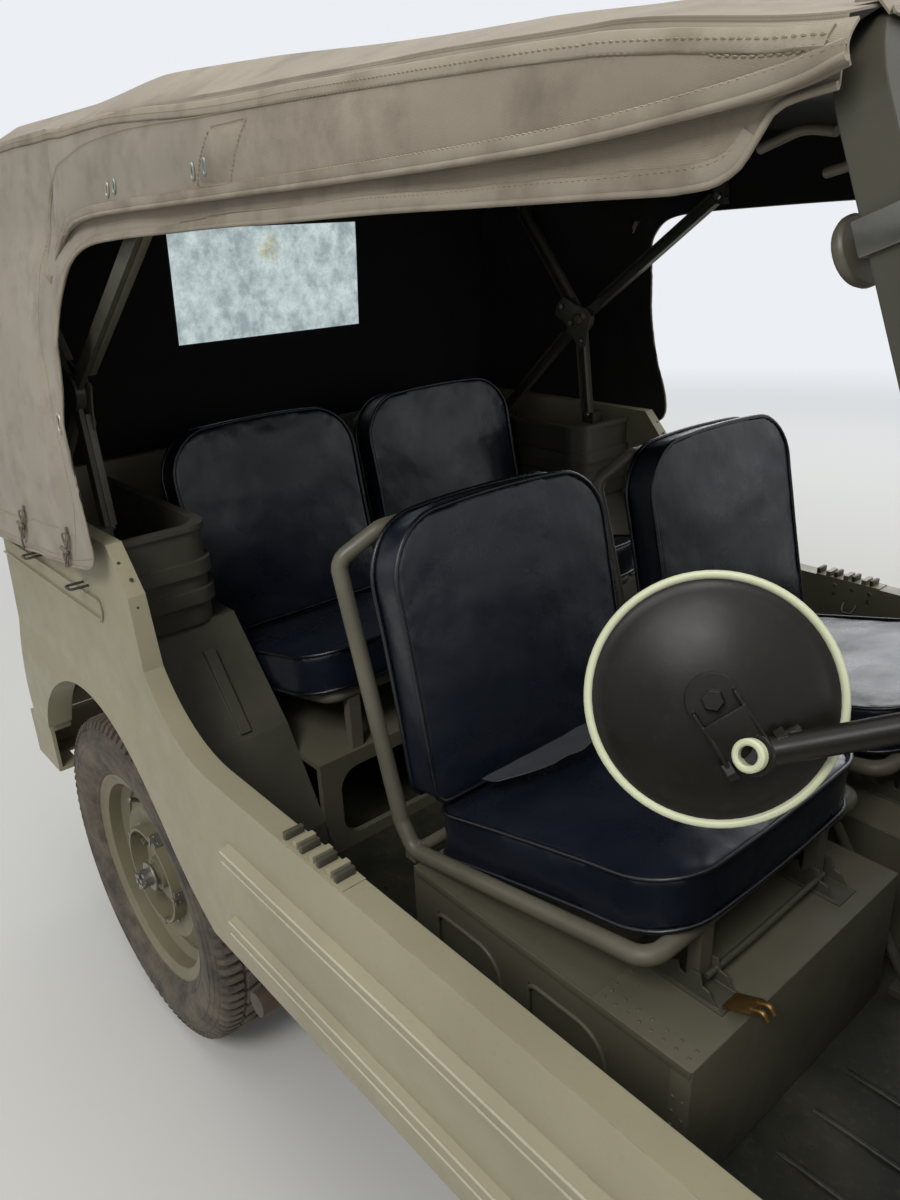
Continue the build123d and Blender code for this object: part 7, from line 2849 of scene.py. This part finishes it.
@dataclass
class Nose:
    """Front fittings: lamp rims and flutes, side lamps, bonnet catch and ribs, bumper bolts, blank plate."""

    nose: float = 1.648
    lamp_y: float = 0.478
    lamp_z: float = 0.840
    lamp_radius: float = 0.088
    bumper: float = 1.7225

    def lamps(self) -> None:
        """Builds the rim, screw and fluted glass of each headlamp, and the side lamps below."""
        place = aimed((self.nose, -self.lamp_y, self.lamp_z), (1, 0, 0))
        r = self.lamp_radius
        rim = turned("lamp_rim", [(r - 0.004, 0.0150), (r - 0.004, 0.0185), (r - 0.001, 0.0215),
                                  (r + 0.004, 0.0215),
                                  (r + 0.0085, 0.0185), (r + 0.0100, 0.0120), (r + 0.0100, 0.0005),
                                  (r + 0.0060, 0.0005),
                                  (r + 0.0060, 0.0150), (r - 0.004, 0.0150)], place, 64)
        screw = rod("screw", (self.nose + 0.004, -self.lamp_y, self.lamp_z - r - 0.013),
                    (self.nose + 0.020, -self.lamp_y, self.lamp_z - r - 0.011), 0.004, 12)
        tab = block("tab", (self.nose, -self.lamp_y - 0.008, self.lamp_z - r - 0.018),
                    (self.nose + 0.006, -self.lamp_y + 0.008, self.lamp_z - r - 0.004), 0.0015)
        twins(joined("headlamp_rim", [rim, screw, tab]), KHAKI)
        ball = (r * r + 0.020 * 0.020) / 0.040
        flutes = []
        for n in range(-4, 5):
            dy = n * 0.0185
            top = math.sqrt(max(0.0, (r - 0.009) ** 2 - dy * dy))
            line = []
            for k in range(9):
                dz = -top + 2 * top * k / 8
                out = 0.014 + math.sqrt(ball * ball - dy * dy - dz * dz) - (ball - 0.020)
                line.append((self.nose + out - 0.0006, -self.lamp_y + dy, self.lamp_z + dz))
            flutes.append(tube("flute", line, 0.0024, sides=2))
        twins(joined("lamp_flutes", flutes), LAMP_GLASS)
        side = aimed((self.nose, -self.lamp_y, 0.690), (1, 0, 0))
        base = turned("base", [(0, 0.0140), (0.0290, 0.0140), (0.0335, 0.0125), (0.0350, 0.0080),
                               (0.0350, 0.0004),
                               (0, 0.0004)], side, 40)
        twins(joined("side_lamp_base", [base]), KHAKI)
        lens = turned("side_lamp_lens", [(0, 0.0330), (0.010, 0.0325), (0.019, 0.0300), (0.0245, 0.0255),
                                         (0.0262, 0.0200), (0.0262, 0.0138), (0, 0.0138)], side, 40)
        twins(lens, AMBER)

    def bonnet(self) -> None:
        """Sets the ribs, screen rests and front catch that lift with the bonnet."""
        def top(x: float, y: float) -> float:
            """Gives the lid's height at a place."""
            low = (1085 - 93 * (x * 1000 - 520) / 1020) / 1000 + 0.010
            share = y / 0.387
            return low + 0.022 * (1 - share * share)
        ribs = []
        for y in (-0.250, -0.125, 0.125, 0.250):
            line = []
            for n in range(13):
                x = 0.800 + 0.650 * n / 12
                sunk = 0.0030 if n in (0, 12) else 0.0
                line.append((x, y, top(x, y) - 0.0022 - sunk))
            ribs.append(tube("rib", line, 0.0075, sides=4))
        dressed(joined("bonnet_ribs", ribs), KHAKI, "bonnet")
        pads, studs_at = [], []
        for y in (-0.300, 0.300):
            z = top(1.180, y)
            pads.append(block("pad", (1.150, y - 0.020, z - 0.003), (1.210, y + 0.020, z + 0.016), 0.005))
        dressed(joined("screen_rests", pads), HARD_RUBBER, "bonnet")
        for y in (-0.240, 0.240):
            for x, dy in ((0.722, -0.006), (0.722, 0.006), (0.7305, 0.0)):
                studs_at.append(((x, y + dy, top(x, y) + 0.0005), (0, 0, 1)))
        place = aimed((1.500, 0.0, top(1.500, 0.0) - 0.001), (0.09, 0, 1))
        catch = turned("catch", [(0, 0.013), (0.016, 0.0128), (0.022, 0.0100), (0.024, 0.0050),
                                 (0.030, 0.0034),
                                 (0.030, 0.0), (0, 0.0)], place, 36)
        bar = strip("bar", (1.500, -0.018, top(1.5, 0) + 0.014), (1.500, 0.018, top(1.5, 0) + 0.014),
                    (1, 0, 0),
                    0.007, 0.006)
        dressed(joined("bonnet_catch", [catch, bar]), KHAKI, "bonnet")

    def bumper_fittings(self) -> None:
        """Bolts the bumper and its blank plate, and binds the ends of the grille."""
        heads = [((self.bumper, side * y, z), (1, 0, 0)) for side in (-1, 1) for y in (0.285, 0.345)
                 for z in (0.482, 0.533)]
        dressed(studs("bumper_bolts", heads, 0.0095, 0.007, 6), IRON)
        plate_piece = block("plate", (self.bumper - 0.0005, -0.200, 0.453),
                            (self.bumper + 0.0030, 0.200, 0.557), 0.0012)
        corners = [(self.bumper + 0.003, y, z)
                   for y, z in ((-0.195, 0.458), (0.195, 0.458), (0.195, 0.552), (-0.195, 0.552))]
        rim = tube("rim", corners, 0.0016, 0.008, closed=True, sides=2)
        dressed(joined("front_plate", [plate_piece, rim]), PLATE_PAINT)
        screws = [((self.bumper + 0.003, y, 0.505), (1, 0, 0)) for y in (-0.180, 0.180)]
        dressed(studs("front_plate_screws", screws, 0.0045, 0.0022, 14), BRIGHT_STEEL)
        rails = [((self.nose, side * 0.312, z), (1, 0, 0)) for side in (-1, 1) for z in (0.655, 0.770, 0.885)]
        rails += [((self.nose, side * y, 0.915), (1, 0, 0)) for side in (-1, 1) for y in (0.06, 0.18, 0.30)]
        dressed(studs("grille_screws", rails, 0.0040, 0.0022, 12), IRON)

    def build(self) -> None:
        """Builds the front fittings."""
        self.lamps()
        self.bonnet()
        self.bumper_fittings()


@dataclass
class Tail:
    """Rear fittings: lamp rims, reflectors, a blank plate with its lamp, grab handles and bolts."""

    tail: float = -1.400
    lamps: Sequence[float] = (0.450, 0.540)
    lamp_z: float = 0.960

    def build(self) -> None:
        """Builds the rear fittings."""
        rims, bases = [], []
        for y in self.lamps:
            place = aimed((self.tail, -y, self.lamp_z), (-1, 0, 0))
            rims.append(turned("rim", [(0.0335, 0.0005), (0.0395, 0.0005), (0.0395, 0.0080), (0.0370, 0.0105),
                                       (0.0343, 0.0100), (0.0335, 0.0005)], place, 40))
        bases.append(block("base", (self.tail - 0.0030, -0.590, 0.910), (self.tail + 0.0002, -0.400, 1.010),
                           0.0015))
        twins(joined("tail_lamp_rims", [*rims, *bases]), KHAKI)
        screws = [((self.tail - 0.003, -y, z), (-1, 0, 0)) for y in (0.408, 0.582) for z in (0.920, 1.000)]
        twins(studs("tail_lamp_screws", screws, 0.0040, 0.0025, 12), IRON)
        place = aimed((self.tail, -0.600, 0.720), (-1, 0, 0))
        cup = turned("cup", [(0.0275, 0.0004), (0.0320, 0.0004), (0.0320, 0.0075), (0.0300, 0.0092),
                             (0.0275, 0.0085), (0.0275, 0.0004)], place, 40)
        twins(joined("reflector_cup", [cup]), IRON)
        twins(turned("reflector", [(0, 0.0078), (0.015, 0.0074), (0.0275, 0.0062), (0.0275, 0.0006),
                                   (0, 0.0006)],
                     place, 40), LENS)
        board = block("board", (self.tail - 0.010, 0.385, 0.700), (self.tail - 0.006, 0.625, 0.860), 0.0015)
        legs = [rod("leg", (self.tail, y, z), (self.tail - 0.008, y, z), 0.008, 16) for y in (0.410, 0.600)
                for z in (0.725, 0.835)]
        edging = tube("edging", [(self.tail - 0.010, y, z) for y, z in ((0.390, 0.705), (0.620, 0.705),
                                                                        (0.620, 0.855),
                                                                       (0.390, 0.855))], 0.0016, 0.008,
                                                                       closed=True,
                      sides=2)
        dressed(joined("rear_plate", [board, *legs, edging]), PLATE_PAINT)
        screws = [((self.tail - 0.010, y, z), (-1, 0, 0)) for y in (0.410, 0.600) for z in (0.725, 0.835)]
        dressed(studs("rear_plate_screws", screws, 0.0045, 0.0022, 14), BRIGHT_STEEL)
        hood = block("shade", (self.tail - 0.036, 0.475, 0.872), (self.tail + 0.0002, 0.535, 0.900), 0.006)
        dressed(hood, KHAKI).name = "plate_lamp"
        window = block("plate_lamp_window", (self.tail - 0.033, 0.481, 0.8695),
                       (self.tail - 0.006, 0.529, 0.8725), 0.001)
        dressed(window, LAMP_GLASS)
        handles = []
        for y in (-0.300, 0.300):
            handles.append(tube("handle",
                                [(self.tail, y - 0.045, 1.050), (self.tail - 0.030, y - 0.045, 1.050),
                                           (self.tail - 0.030, y + 0.045, 1.050),
                                           (self.tail, y + 0.045, 1.050)],
                                0.0052, 0.012))
        dressed(joined("rear_grab_handles", handles), KHAKI)
        bolts = [((-1.475 + 0.0002, side * y, z), (-1, 0, 0)) for side in (-1, 1) for y in (0.500, 0.620)
                 for z in (0.480, 0.530)]
        dressed(studs("bumperette_bolts", bolts, 0.0085, 0.006, 6), IRON)


@dataclass
class EngineBay:
    """What shows when the bonnet is up: rocker cover, air cleaner, coolant pipes and battery."""

    def build(self) -> None:
        """Builds the engine's dress."""
        cover = [block("cover", (1.205, -0.115, 0.850), (1.515, 0.025, 0.902), 0.014)]
        for n in range(5):
            cover.append(block("fin", (1.222, -0.100 + 0.026 * n, 0.899), (1.498, -0.096 + 0.026 * n, 0.9062),
                               0.0012, 1))
        cover.append(rod("filler", (1.250, -0.045, 0.902), (1.250, -0.045, 0.928), 0.026, 28, 0.003))
        dressed(joined("rocker_cover", cover), CAST_ALLOY)
        drum = turned("drum", [(0, 0.120), (0.060, 0.119), (0.086, 0.112), (0.090, 0.104), (0.090, 0.070),
                               (0.094, 0.068), (0.094, 0.062), (0.090, 0.060), (0.090, 0.004), (0.084, 0.0),
                               (0, 0.0)],
                      Matrix.Translation((1.290, 0.235, 0.800)), 48)
        duct = tube("duct", [(1.290, 0.235, 0.820), (1.400, 0.180, 0.860), (1.440, 0.080, 0.868)], 0.030,
                    0.060)
        dressed(joined("air_cleaner", [drum, duct]), MIRROR_PAINT)
        hoses = [tube("pipe", [(1.100, 0.120, 0.868), (1.150, 0.120, 0.890), (1.215, 0.060, 0.862)], 0.019,
                      0.04),
                 tube("pipe", [(1.100, -0.180, 0.600), (1.160, -0.180, 0.600), (1.200, -0.160, 0.640)], 0.019,
                      0.03)]
        hoses += [turned("clip", [(0.0188, -0.006), (0.0212, -0.006), (0.0212, 0.006), (0.0188, 0.006),
                                  (0.0188, -0.006)], aimed(spot, run), 28)
                  for spot, run in (((1.112, 0.120, 0.874), (1, 0, 0.4)),
                                    ((1.116, -0.180, 0.600), (1, 0, 0)))]
        dressed(joined("coolant_pipes", hoses), CHASSIS)
        battery = [block("case", (0.745, 0.160, 0.640), (0.945, 0.340, 0.830), 0.006),
                   block("lid", (0.740, 0.155, 0.815), (0.950, 0.345, 0.842), 0.004)]
        battery += [rod("cap", (0.775 + 0.028 * n, 0.250, 0.842), (0.775 + 0.028 * n, 0.250, 0.850), 0.010,
                        20)
                    for n in range(6)]
        dressed(joined("battery", battery), HARD_RUBBER)
        tray = block("tray", (0.735, 0.150, 0.628), (0.955, 0.350, 0.641), 0.002)
        stays = [strip("stay", (0.572, y, 0.634), (0.740, y, 0.634), (0, 1, 0), 0.030,
                       0.004) for y in (0.180, 0.320)]
        rods = [rod("rod", (x, 0.250, 0.630), (x, 0.250, 0.862), 0.003, 10) for x in (0.738, 0.952)]
        clampbar = strip("clamp", (0.730, 0.250, 0.858), (0.960, 0.250, 0.858), (0, 1, 0), 0.022, 0.004)
        dressed(joined("battery_tray", [tray, *stays, *rods, clampbar]), CHASSIS)
        posts = [rod("post", (x, y, 0.842), (x, y, 0.862), 0.009, 20) for x, y in ((0.775, 0.185),
                                                                                   (0.915, 0.315))]
        dressed(joined("battery_posts", posts), BRIGHT_STEEL)


@dataclass
class Underbody:
    """Fittings below and beside the body: exhaust bands and sill rivets."""

    def build(self) -> None:
        """Builds the silencer's bands and the rivets along the sills."""
        bands = []
        for x in (-0.430, -0.200):
            bands.append(turned("band", [(0.0672, -0.012), (0.0705, -0.012), (0.0705, 0.012), (0.0672, 0.012),
                                         (0.0672, -0.012)], aimed((x, -0.190, 0.330), (1, 0, 0)), 40))
            bands.append(strip("strap", (x, -0.190, 0.398), (x, -0.255, 0.445), (1, 0, 0), 0.022, 0.003))
        dressed(joined("silencer_bands", bands), IRON)
        heads = []
        for n in range(7):
            heads.append(((-0.520 + 0.165 * n, -0.695, 0.4885), (0, -1, 0)))
        twins(studs("sill_rivets", heads, 0.0048, 0.0022, 10), KHAKI)


def main() -> None:
    """Builds the sub-assemblies in order."""
    Studio().build()
    FrameFinishes().build()
    CanvasHood().build()
    Seats().build()
    RoadWheels().build()
    Mirrors().build()
    BodySides().build()
    Windscreen().build()
    SeatFurniture().build()
    HoodLinkage().build()
    Cabin().build()
    Nose().build()
    Tail().build()
    EngineBay().build()
    Underbody().build()
    clear_selection()
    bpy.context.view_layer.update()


if __name__ == "__main__":
    main()
